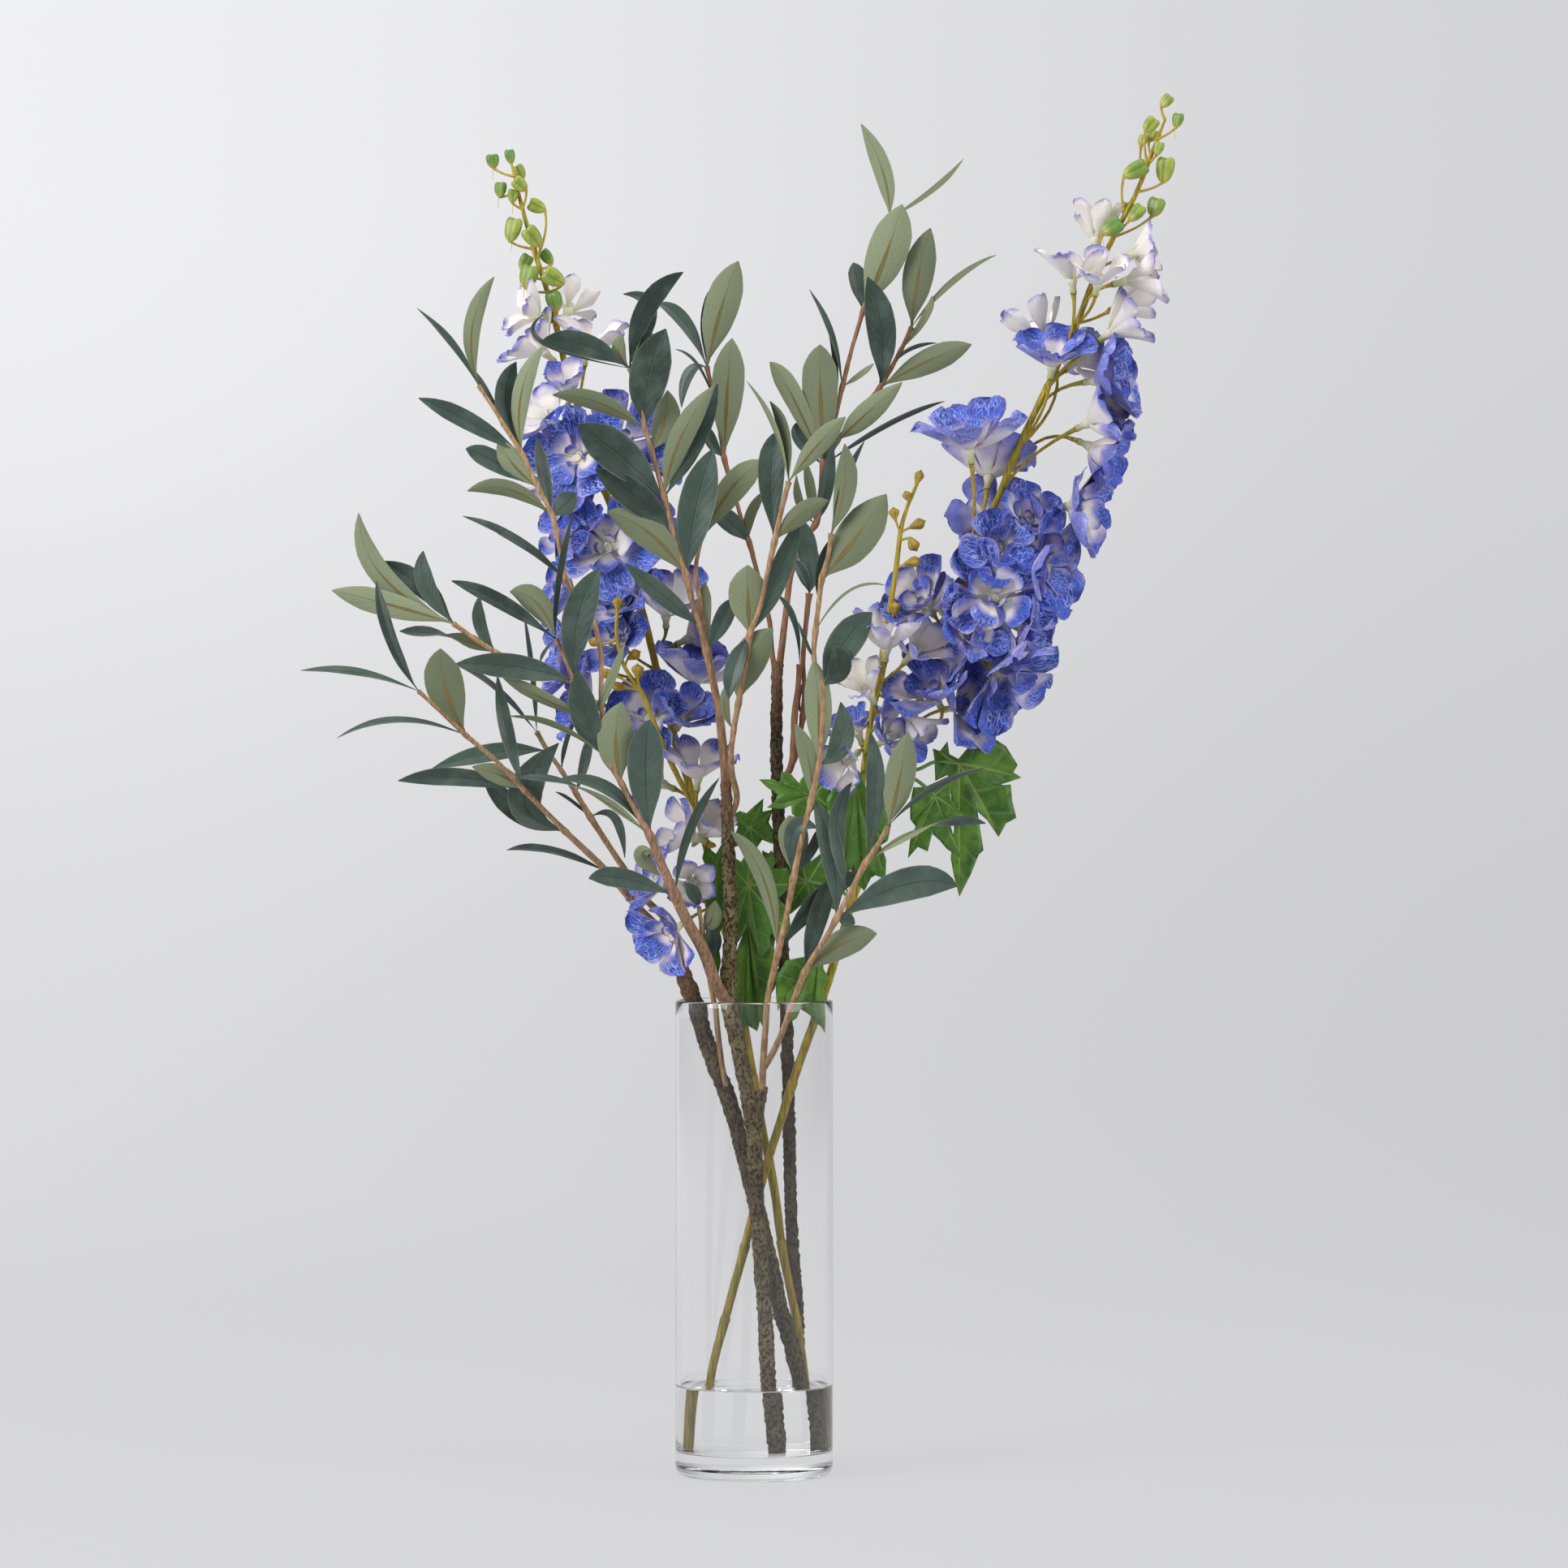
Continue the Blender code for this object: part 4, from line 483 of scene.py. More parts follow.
# %% Bark finish
bark, tree, shader, where = finish("olive_bark", Roughness=0.85, Specular_IOR_Level=0.3)
darkness, _, _, _ = parts(tree, "tone")
_, _, risen, _ = parts(tree, "spot")
long_way = add(tree, "Mapping", where, None, None, (1.0, 1.0, 0.7))
pits = spread(tree, noise(tree, long_way, 500.0, 2.0), 0.42, 0.50, 1.0, 0.0)
crumbs = noise(tree, where, 1100.0, 2.0)
patches = noise(tree, where, 90.0, 4.0)
colour_in(tree, shader,
          blend(tree, spread(tree, patches, 0.35, 0.68), paint(92, 80, 52), paint(130, 116, 80)),
          (spread(tree, crumbs, 0.52, 0.72, 0.0, 0.6), paint(170, 160, 130)),
          (times(tree, pits, 0.85), paint(40, 35, 25)),
          (darkness, paint(50, 44, 33)),
          (spread(tree, risen, 0.90, 1.0, 0.0, 0.85), paint(140, 104, 82)))
bump(tree, shader, minus(tree, times(tree, crumbs, 0.5), pits), 0.9, 0.0007)

# %% Where the trunks are
# All stems stand a hair above the vase's floor. A trunk is its path: x, z, depth and radius.
FOOT = (VASE_FLOOR + 0.2) * MM
RING_STEP = 0.9 * MM
TRUNKS = {
    "olive_left_trunk": (
        (33, 16, -1, 4.9), (29, 60, -1, 4.9), (24, 80, -1, 4.9), (18, 100, -1, 5), (9, 140, -2, 5),
        (-1, 180, -3, 5), (-6, 200, -3, 5), (-17, 240, -3, 5.1), (-25, 260, -3, 5.2),
        (-32, 280, -3, 5.4), (-38, 300, -3, 5.5), (-43, 312, -3, 5.4), (-48, 326, -1, 4.6)),
    "olive_middle_trunk": (
        (12, 16, -15, 4.9), (9, 60, -15, 4.8), (7, 100, -15, 4.7), (4, 140, -15, 4.6),
        (1.5, 180, -15, 4.6), (0, 210, -15, 4.8), (-3, 235, -15, 4.9), (-7, 255, -15, 4.8),
        (-12, 280, -15, 4.9), (-16, 298, -15, 5.4), (-16, 318, -15, 4.9), (-15, 345, -15, 4.5),
        (-16, 390, -16, 4.2), (-17, 420, -17, 3.9), (-18, 440, -18, 3.3)),
    "olive_right_trunk": (
        (31, 16, 21, 4), (29, 60, 22, 4), (27.5, 110, 23, 4), (24.5, 150, 23, 4), (23, 200, 22, 4),
        (22, 240, 20, 4), (20.5, 290, 17, 4), (18, 340, 12, 3.9), (16, 400, 4, 3.8),
        (14.5, 450, -4, 3.8), (14.5, 500, -9, 3.7), (15, 516, -10, 3.7)),
}

# The stub inside the vase from which the two thin forks of the middle trunk rise.
STUB = ((0, 214, -15, 4.0), (2.0, 226, -16, 3.9), (4.2, 237, -17, 3.3), (6.4, 246, -18.2, 2.3))

print("trunks:", ", ".join(TRUNKS))

# %% Grow the trunks
BARK_DARKNESS = {"olive_left_trunk": 0.35, "olive_middle_trunk": 0.0, "olive_right_trunk": 0.55}

for name, rows in TRUNKS.items():
    path = smooth(course(rows), RING_STEP)
    path[0, 2] = FOOT
    shapes = [tubes(path[None], 42, (BARK_DARKNESS[name], 0, 0), bark_relief)]
    if name == "olive_middle_trunk":
        shapes.append(tubes(smooth(course(STUB), RING_STEP)[None], 30, (0.15, 0, 0), bark_relief))
    put(name + "_bark", shapes, bark, [name])

# %% [markdown]
# # Olive twigs and leaves
# Ten sprays grow from the trunks. A spray is a few twigs, each a path with a slightly thicker node
# wherever a pair of leaves sits, and its leaves: long, narrow, leathery, dark green above and grey-green
# below with a raised gold-brown rib. One could model one leaf and scatter copies, but every leaf here was
# read by its base, middle and tip, so each is a bent blade of its own.

# %% Where the leaves are
# A twig is its path (x, z, depth, radius) and its leaves. A leaf grows from a numbered point of the path:
# point, x and z of its middle, x and z of its tip, width, roll, depth gained. Roll 0 shows the dark upper
# face, 180 the pale one, 90 an edge, and a pair is a twist from base to tip. A spray's carrier is its
# trunk, and its lean is the height above which it leans, and the depth gained for each millimetre there.
SPRAYS = {
    "olive_left_low_spray": [
        (((-53, 336, 1, 2.9), (-63, 349, 5, 2.5), (-75, 361, 5, 2.3), (-93, 382, -4, 2.1),
          (-120, 408, -20, 1.9), (-131, 419, -26, 1.6), (-146, 434, -34, 1.6), (-163, 452, -42, 1.4),
          (-183, 469, -50, 1.5), (-198, 483, -56, 1.2), (-213, 497, -60, 1.3)),
         ((3, -128, 395, -157, 396, 11, 65, -22), (4, -146, 428, -124, 464, 22, 12, -14),
          (4, -148, 420, -172, 442, 15, 5, 6), (6, -160, 443, -179, 449, 12, 175, -12),
          (6, -186, 442, -226, 440, 12, 15, 4), (6, -157, 470, -163, 507, 10, 30, 10),
          (8, -196, 499, -199, 524, 24, 180, -10), (8, -226, 478, -265, 467, 11, 68, -20),
          (10, -250, 508, -288, 510, 11, 66, -18), (10, -231, 529, -240, 567, 12, 50, -3)))],
    "olive_left_mid_spray": [
        (((-47, 337, 7, 2.6), (-56, 352, 12, 2.4), (-68, 364, 14, 2.2), (-83, 385, 9, 2.0),
          (-95, 403, 2, 1.9), (-104, 417, -4, 2.0), (-113, 432, -8, 1.6), (-122, 446, -12, 1.5),
          (-131, 459, -16, 1.5), (-138, 471, -20, 1.5)),
         ((5, -88, 417, -82, 391, 9, 50, -8), (5, -116, 427, -126, 433, 5, 60, -4),
          (7, -120, 464, -112, 482, 6, 60, 4), (6, -108, 452, -104, 471, 8, 30, 6),
          (8, -165, 458, -204, 448, 12, 20, 2), (9, -165, 499, -190, 514, 10, 65, 8),
          (9, -141, 505, -146, 546, 7, 60, 6)))],
    "olive_fork_spray": [
        (((-24, 311, -24, 3.9), (-32, 332, -32, 3.8), (-42, 350, -39, 3.5), (-50, 367, -44, 3.3),
          (-62, 395, -48, 2.6), (-66, 405, -50, 2.5), (-74, 419, -50, 1.9), (-84, 438, -50, 1.8),
          (-94, 455, -48, 1.7), (-103, 478, -46, 1.6), (-114, 503, -44, 1.6), (-120, 518, -42, 1.4),
          (-126, 530, -40, 1.5)),
         ((3, -83, 378, -105, 378, 13, 5, -12), (3, -42, 408, -22, 442, 11, 55, -14),
          (5, -69, 448, -66, 479, 23, 0, -10), (5, -108, 434, -149, 442, 11, (170, 20), -14),
          (5, -92, 434, -124, 441, 10, 35, -2), (4, -71, 393, -60, 380, 11, 175, 8),
          (7, -88, 464, -84, 490, 23, 180, -6), (8, -125, 474, -156, 481, 10, 115, -14),
          (8, -107, 480, -112, 511, 18, 0, -6), (9, -135, 493, -160, 506, 10, 145, -8),
          (9, -93, 500, -82, 528, 7, 150, -4), (10, -150, 512, -190, 514, 16, 5, -16),
          (10, -112, 542, -98, 575, 20, 0, -8), (12, -125, 565, -115, 610, 8, 60, -4),
          (12, -138, 553, -155, 560, 16, 170, 4), (12, -160, 553, -192, 567, 10, 15, -6),
          (12, -132, 523, -136, 515, 5, 60, -4))),
        (((-114, 503, -44, 1.6), (-135, 508, -40, 1.5), (-150, 513, -38, 1.5), (-163, 521, -38, 1.6),
          (-177, 530, -42, 1.4), (-191, 540, -46, 1.5)),
         ((3, -192, 531, -225, 535, 16, (178, 20), -6), (3, -174, 538, -174, 558, 9, 25, 6),
          (5, -232, 552, -268, 561, 16, 180, -10), (5, -236, 570, -251, 610, 14, 178, 4),
          (5, -208, 563, -210, 586, 12, 12, 8), (5, -212, 564, -238, 579, 14, 10, 14))),
        (((-94, 455, -48, 1.7), (-97, 490, -36, 1.6), (-98, 525, -30, 1.6), (-105, 549, -30, 1.6),
          (-119, 567, -32, 1.6), (-123, 586, -34, 1.4), (-128, 608, -36, 1.6), (-137, 626, -38, 1.4),
          (-147, 647, -40, 1.6), (-157, 663, -42, 1.3), (-167, 679, -44, 1.2), (-175, 691, -46, 1.3)),
         ((4, -150, 592, -185, 608, 10, 52, -8), (4, -141, 585, -163, 597, 8, 60, 2),
          (6, -155, 625, -182, 624, 11, 165, -8), (6, -121, 615, -113, 623, 14, 10, 6),
          (6, -134, 635, -138, 658, 10, 30, 4), (8, -181, 668, -213, 683, 12, 8, -8),
          (8, -158, 680, -151, 706, 17, 30, 2), (8, -148, 685, -134, 716, 12, 170, -8),
          (7, -165, 643, -183, 651, 13, 10, 2), (7, -153, 641, -162, 657, 15, 160, -6),
          (11, -179, 728, -165, 760, 11, 175, 4), (11, -192, 717, -214, 740, 9, 60, -6),
          (9, -170, 686, -181, 704, 6, 40, 4)))],
    "olive_leader_spray": [
        (((-18.5, 446, -18, 2.9), (-20, 463, -18, 2.8), (-22, 482, -19, 2.6), (-26, 503, -20, 2.4),
          (-30, 522, -21, 2.6), (-34, 538, -22, 2.0), (-39, 553, -22, 1.9), (-43, 570, -23, 2.2),
          (-48, 585, -23, 1.7), (-52, 600, -24, 1.6), (-57, 620, -24, 1.9), (-61, 635, -24, 1.5),
          (-65, 650, -25, 1.4), (-69, 663, -25, 1.6), (-73, 683, -26, 1.3), (-79, 702, -26, 1.5)),
         ((4, -20, 542, -14, 556, 12, 5, -8), (5, -57, 557, -82, 578, 12, 5, -10),
          (4, -32, 548, -31, 566, 10, 160, 8), (7, -37, 612, -26, 651, 23, 0, -6),
          (7, -66, 597, -93, 611, 20, 180, -12), (9, -74, 619, -101, 638, 19, 5, -10),
          (10, -86, 647, -112, 666, 25, 0, -14), (10, -47, 657, -25, 691, 15, 178, -10),
          (10, -38, 655, -23, 692, 13, 10, -2), (13, -67, 696, -56, 727, 25, 0, -8),
          (13, -98, 680, -128, 685, 12, 168, -12), (12, -57, 667, -55, 688, 18, 165, 8),
          (15, -108, 717, -135, 719, 15, 0, -10), (15, -134, 718, -134, 736, 4, 40, -12),
          (15, -86, 713, -83, 724, 9, 170, -2), (15, -69, 740, -45, 763, 14, 25, -6),
          (15, -66, 738, -83, 749, 9, 15, 6), (15, -73, 718, -60, 723, 7, 150, 4),
          (14, -74, 702, -72, 716, 9, 160, 6))),
        (((-30, 522, -21, 2.0), (-33, 548, -14, 1.6), (-37, 575, -12, 1.5), (-34, 592, -12, 1.3)),
         ((3, -14, 626, 7, 643, 18, 168, -4),))],
    "olive_centre_spray": [
        (((-11, 428, -18, 2.0), (-14, 444, -24, 2.1), (-14.5, 456, -26, 1.9), (-13, 472, -28, 1.8),
          (-10, 489, -28, 2.0), (-7, 505, -28, 1.7), (-4, 520, -28, 1.7), (-3, 532, -28, 2.1),
          (3, 548, -28, 1.6), (8, 570, -28, 1.6), (13, 592, -28, 1.9), (17, 610, -28, 1.6),
          (22, 630, -28, 1.8)),
         ((4, -4, 515, 12, 537, 22, 180, -8), (3, -19, 488, -15, 503, 7, 160, -4),
          (7, -4, 556, -4, 577, 24, 180, -9), (7, 14, 567, 29, 607, 14, 8, -5),
          (7, -12, 514, -16, 492, 12, 10, -6), (10, 29, 609, 47, 618, 13, 178, -8),
          (10, 11, 635, 15, 662, 17, 0, 4), (12, 12, 665, -5, 694, 9, 112, -6),
          (12, 40, 653, 58, 671, 13, 178, -12), (12, 19, 660, 10, 681, 9, 140, -2)))],
    "olive_top_spray": [
        (((11, 525, -9, 1.7), (10, 540, -9, 1.6), (5, 560, -8, 1.5), (1, 576, -7, 1.5),
          (-3, 591, -6, 1.7), (-8, 606, -5, 1.4), (-13, 624, -4, 1.4), (-19, 645, -4, 1.7),
          (-21, 657, -4, 1.3), (-25, 680, -4, 1.3), (-30, 703, -4, 1.5)),
         ((4, -15, 604, -28, 614, 13, 10, -4), (4, -3, 608, 8, 625, 8, 155, -4),
          (7, -17, 688, -14, 721, 21, 180, -6), (7, -27, 655, -30, 667, 8, 10, -4),
          (10, -21, 740, -10, 770, 22, 178, -6), (10, -41, 698, -46, 677, 10, 40, 4),
          (10, -45, 732, -62, 743, 10, 20, 4), (10, -30, 735, -23, 757, 9, 20, 6),
          (9, -36, 704, -50, 714, 4, 60, -2)))],
    "olive_tall_spray": [
        (((17.5, 524, -8, 2.2), (20, 545, -6, 2.0), (25, 577, -4, 1.9), (33, 595, -4, 1.7),
          (39, 603, -4, 2.0), (42, 620, -5, 1.7), (44, 640, -6, 2.1), (46, 655, -6, 1.5),
          (52, 673, -6, 1.4), (56, 690, -6, 1.6), (62, 714, -5, 1.3), (69, 738, -4, 1.5),
          (77, 768, -3, 1.3), (86, 797, -3, 1.3)),
         ((4, 36, 622, 32, 645, 8, 150, -6), (4, 29, 616, 27, 634, 6, 160, 2),
          (4, 45, 624, 50, 655, 10, 20, 4), (6, 48, 655, 53, 668, 10, 10, -4),
          (6, 42, 688, 42, 717, 23, 180, -8), (6, 25, 683, 10, 706, 14, 165, -4),
          (6, 30, 657, 30, 668, 11, 10, 6), (9, 49, 722, 35, 752, 9, 62, -4),
          (8, 51, 705, 47, 727, 6, 60, 4), (9, 67, 698, 76, 705, 5, 150, 4),
          (11, 84, 775, 94, 806, 26, 178, -7), (11, 66, 757, 63, 769, 12, 10, 5),
          (13, 82, 826, 68, 857, 12, 172, 4), (13, 113, 816, 133, 835, 9, 118, -4),
          (6, 85, 667, 121, 681, 8, 60, 8))),
        (((44, 640, -6, 1.9), (53, 656, -3, 1.6), (66, 673, 1, 1.5), (80, 690, 4, 1.6),
          (87, 702, 4, 1.4), (93, 713, 4, 1.4), (100, 728, 4, 1.5)),
         ((1, 70, 672, 94, 693, 15, 178, -10), (3, 81, 726, 72, 760, 19, 0, -10),
          (3, 111, 707, 138, 717, 17, 168, 2), (4, 98, 714, 116, 718, 5, 60, 3),
          (6, 104, 760, 112, 791, 20, 178, -6), (6, 126, 758, 154, 774, 9, 120, 3),
          (5, 108, 734, 113, 748, 6, 150, 2)))],
    "olive_right_spray": [
        (((19, 441, -8, 2.2), (23, 448, -11, 2.2), (25, 466, -14, 2.1), (26, 484, -15, 2.2),
          (28, 500, -15, 1.8), (29, 514, -15, 1.9)),
         ((5, 25, 541, 14, 559, 8, 60, -3),)),
        (((23, 448, -11, 1.7), (27, 457, -11, 1.7), (29, 469, -10, 1.7), (31, 481, -10, 1.9),
          (32, 495, -10, 1.6), (31, 515, -11, 1.6), (33, 540, -12, 1.6), (35, 559, -13, 2.0)),
         ((7, 34, 585, 29, 607, 13, 5, -3), (7, 31, 571, 25, 581, 8, 20, -6),
          (7, 39, 573, 38, 590, 7, 30, 3), (3, 28, 492, 33, 505, 5, 60, 4)))],
    "olive_front_spray": [
        (((4.5, 238, -17, 2.3), (5.5, 256, -19, 2.3), (7, 280, -21, 2.1), (9, 303, -23, 2.0),
          (15, 330, -28, 2.2), (20, 352, -30, 1.8), (25, 378, -32, 2.2), (30, 402, -33, 1.7),
          (36, 427, -34, 2.0), (41, 450, -33, 1.8), (43, 475, -31, 1.6), (43, 500, -28, 1.7),
          (38, 518, -26, 1.5), (39, 535, -25, 1.9), (41, 552, -25, 1.5), (43, 568, -25, 1.9),
          (47, 583, -24, 1.4), (49, 597, -24, 1.7)),
         ((4, 6, 378, -15, 408, 12, 168, -10), (4, 42, 366, 70, 382, 14, 20, -10),
          (6, 25, 402, 22, 418, 19, 180, -6), (6, 37, 398, 43, 412, 8, 30, -2),
          (6, 25, 408, 40, 410, 11, 0, -10), (8, 35, 452, 26, 476, 12, 172, -7),
          (9, 41, 485, 38, 517, 17, 180, -8), (9, 55, 464, 55, 490, 15, 5, -2),
          (11, 57, 527, 75, 547, 21, 0, -4), (11, 54, 512, 50, 526, 15, 5, -8),
          (13, 60, 561, 84, 564, 7, 102, -6), (14, 42, 573, 48, 593, 8, 30, 3),
          (15, 64, 594, 84, 622, 26, 172, -7), (17, 57, 625, 57.5, 654, 16, 150, -4),
          (17, 57, 630, 70, 655.5, 7.5, 55, 5), (12, 33, 527, 28, 541, 5, 60, -3))),
        (((5.5, 256, -19, 1.8), (10, 264, -21.5, 2.0), (14.5, 273, -23.5, 2.0), (20, 287, -26, 1.9),
          (26, 303, -30, 1.9), (32, 318, -36, 2.1), (38, 329, -39, 1.7), (46, 341, -41, 1.6),
          (52, 352, -42, 2.0), (60, 367, -43, 1.6), (71, 388, -44, 2.0), (79, 400, -44, 1.6),
          (85, 411, -44, 1.5)),
         ((5, 55, 336, 78, 343, 18, 180, -9), (5, 40, 352, 52, 383, 13, 15, -2),
          (8, 50, 392, 38, 428, 15, 10, -6), (8, 96, 374, 129, 373, 21, 0, -9),
          (8, 58, 352, 64, 349, 9, 5, 3), (9, 52, 410, 62, 439, 12, 28, -2),
          (10, 77, 432, 74, 471, 12, 5, -5), (12, 92, 440, 98, 471, 19, 178, -4),
          (12, 113, 436, 147.5, 448.5, 9, 62, -6), (10, 112, 412, 147, 413, 11, (172, 15), -8)))],
    "olive_back_twig": [
        (((-19, 252, -8, 1.7), (-22, 272, -7, 1.8), (-24, 290, -6, 1.8), (-27, 308, -6, 1.7),
          (-30, 327, -8, 1.6), (-33, 345, -11, 1.5), (-35, 360, -13, 1.2)),
         ((5, -27, 352, -25, 364, 12, 165, -3), (6, -38, 368, -44, 375, 9, 10, -8),
          (4, -26, 337, -30, 350, 11, 20, -5)))],
}
CARRIERS = {
    "olive_left_low_spray": "olive_left_trunk", "olive_left_mid_spray": "olive_left_trunk",
    "olive_fork_spray": "olive_middle_trunk", "olive_leader_spray": "olive_middle_trunk",
    "olive_centre_spray": "olive_middle_trunk", "olive_top_spray": "olive_right_trunk",
    "olive_tall_spray": "olive_right_trunk", "olive_right_spray": "olive_right_trunk",
    "olive_front_spray": "olive_middle_trunk", "olive_back_twig": "olive_left_trunk",
}
LEANS = {
    "olive_left_low_spray": (345.0, -0.34),
    "olive_left_mid_spray": (345.0, -0.10),
    "olive_fork_spray": (320.0, -0.12),
    "olive_leader_spray": (450.0, -0.05),
    "olive_centre_spray": (440.0, -0.16),
    "olive_top_spray": (535.0, 0.12),
    "olive_tall_spray": (535.0, 0.20),
    "olive_right_spray": (450.0, -0.05),
    "olive_front_spray": (320.0, -0.20),
    "olive_back_twig": (320.0, -0.05),
    "delphinium_left_stem": (320.0, 0.08),
    "delphinium_right_stem": (320.0, -0.06),
}

count = sum(len(leaves) for twigs in SPRAYS.values() for _, leaves in twigs)
print(len(SPRAYS), "sprays with", count, "leaves")

# %% Shape of a leaf
OUTLINE_T = np.array([0.0, 0.04, 0.09, 0.18, 0.32, 0.48, 0.60, 0.72, 0.84, 0.93, 0.98, 1.0])
OUTLINE_W = np.array([0.07, 0.08, 0.14, 0.45, 0.84, 0.99, 1.0, 0.92, 0.66, 0.35, 0.12, 0.03])


def olive_leaves(start, middle, end, width, roll, tone, rows=15, columns=9):
    """Leaf blades as grids.

    The midrib is the parabola through start, middle and end. The blade spans it by the outline's width
    in a direction turned about it by the roll. With c from -1 to 1 across, its halves rise towards their
    edges by a fifth of the half width times |c| to the power 1.3, and a sine makes the edges wave.
    """
    t = np.linspace(0.0, 1.0, rows)[:, None]
    control = middle * 2.0 - (start + end) * 0.5
    start, control, end = start[:, None], control[:, None], end[:, None]
    rib = start * (1 - t) ** 2 + control * (2 * t * (1 - t)) + end * t**2
    run = unit(2 * (1 - t) * (control - start) + 2 * t * (end - control))
    depth = np.array([0.0, 1.0, 0.0])
    side = unit(np.cross(run, depth))
    up = -unit(depth - run * run[..., 1:2])
    angle = np.radians(roll[:, None, :1] + (roll[:, None, 1:] - roll[:, None, :1]) * t)
    across, face = side * np.cos(angle) + up * np.sin(angle), up * np.cos(angle) - side * np.sin(angle)
    half = np.maximum(np.interp(t, OUTLINE_T, OUTLINE_W) * width[:, None, None] * 0.5, 0.35 * MM)
    c = np.linspace(-1.0, 1.0, columns)
    wave = 0.05 * np.sin(9.0 * t + 6.0 * tone[:, None, :1] + 1.5 * np.sign(c)) * c**2
    lift = half * (0.20 * np.abs(c) ** 1.3 + wave)
    return rib[:, :, None] + across[:, :, None] * (half * c)[..., None] + face[:, :, None] * lift[..., None]


print("a leaf is widest at", OUTLINE_T[np.argmax(OUTLINE_W)], "of its length")

# %% Leaf finish
olive_leaf, tree, shader, where = finish("olive_leaf", Specular_IOR_Level=0.45)
along, across, under, _ = parts(tree, "spot")
tone_a, tone_b, _, _ = parts(tree, "tone")
from_rib = size_of(tree, across)
cloud = noise(tree, where, 60.0, 4.0)
fine = noise(tree, where, 900.0, 2.0)
slant = minus(tree, times(tree, along, 26.0), times(tree, from_rib, 7.0))
veins = spread(tree, size_of(tree, sums(tree, "SINE", slant)), 0.0, 0.25, 1.0, 0.0)
# The midrib groove is sunk by the bump and painted darker on the upper face: painted shade in the crease.
groove_and_shade = spread(tree, from_rib, 0.015, 0.06, 1.0, 0.0)
top = layered(tree, blend(tree, tone_a, paint(40, 55, 48), paint(66, 86, 75)),
              (spread(tree, cloud, 0.38, 0.7, 0.0, 0.45), paint(92, 112, 101)),
              (times(tree, veins, 0.10), paint(100, 125, 105)),
              (times(tree, groove_and_shade, 0.70), paint(30, 42, 36)))
rib_width = spread(tree, along, 0.22, 0.80, 0.15, 0.0)
rib = spread(tree, minus(tree, from_rib, rib_width), -0.02, 0.03, 1.0, 0.0)
pale = layered(tree, blend(tree, tone_b, paint(104, 114, 86), paint(138, 148, 116)),
               (spread(tree, fine, 0.4, 0.7, 0.0, 0.22), paint(92, 100, 78)),
               (times(tree, veins, 0.12), paint(98, 106, 80)),
               (rib, blend(tree, cloud, paint(98, 88, 44), paint(132, 120, 72))))
is_under = sums(tree, "GREATER_THAN", under, 0.5)
edge = spread(tree, from_rib, 0.90, 1.0, 0.0, 0.35)
colour_in(tree, shader, top, (is_under, pale), (edge, paint(150, 152, 128)))
feed(tree, shader.inputs["Roughness"], spread(tree, is_under, 0.0, 1.0, 0.38, 0.72))
relief = plus(tree, times(tree, groove_and_shade, -1.0), times(tree, veins, 0.25), times(tree, fine, 0.35),
              times(tree, rib, times(tree, is_under, 2.0)))
bump(tree, shader, relief, 0.5, 0.0004)

# %% Twig finish
twig, tree, shader, where = finish("olive_twig", Roughness=0.6, Specular_IOR_Level=0.35)
thick, reddish, _, _ = parts(tree, "tone")
streak = noise(tree, add(tree, "Mapping", where, None, None, (1.0, 1.0, 0.16)), 700.0, 3.0)
cloud = noise(tree, where, 55.0, 3.0)
young = blend(tree, spread(tree, streak, 0.3, 0.7), paint(146, 112, 76), paint(198, 164, 122))
old = blend(tree, spread(tree, streak, 0.3, 0.7), paint(108, 78, 62), paint(166, 128, 104))
colour_in(tree, shader, young,
          (thick, old),
          (spread(tree, cloud, 0.45, 0.75, 0.0, 0.6), paint(122, 100, 72)),
          (times(tree, reddish, 0.6), paint(134, 84, 62)))
bump(tree, shader, streak, 0.6, 0.0004)

# %% Twigs with thicker nodes
def nearest(path, place, before):
    """Point of a path so many millimetres before the one that is closest to a place."""
    fine_path = smooth(path, 1 * MM)[:, :3]
    return fine_path[max(np.argmin(np.linalg.norm(fine_path - place, axis=1)) - before, 0)]


def with_nodes(path, nodes):
    """Path whose radius grows by a fifth in a soft hump, 2.6 mm to either side, round each node."""
    for node in {tuple(node) for node in nodes}:
        path[:, 3] *= 1 + 0.22 * np.exp(-(np.linalg.norm(path[:, :3] - node, axis=1) / (2.6 * MM)) ** 2)
    return path


def twig_relief(places):
    """Extra radius of a twig: fine unevenness of 3 mm."""
    return MM * 0.25 * (grain(places, 3 * MM, 4) - 0.5)


print("a node makes its twig 22% thicker")

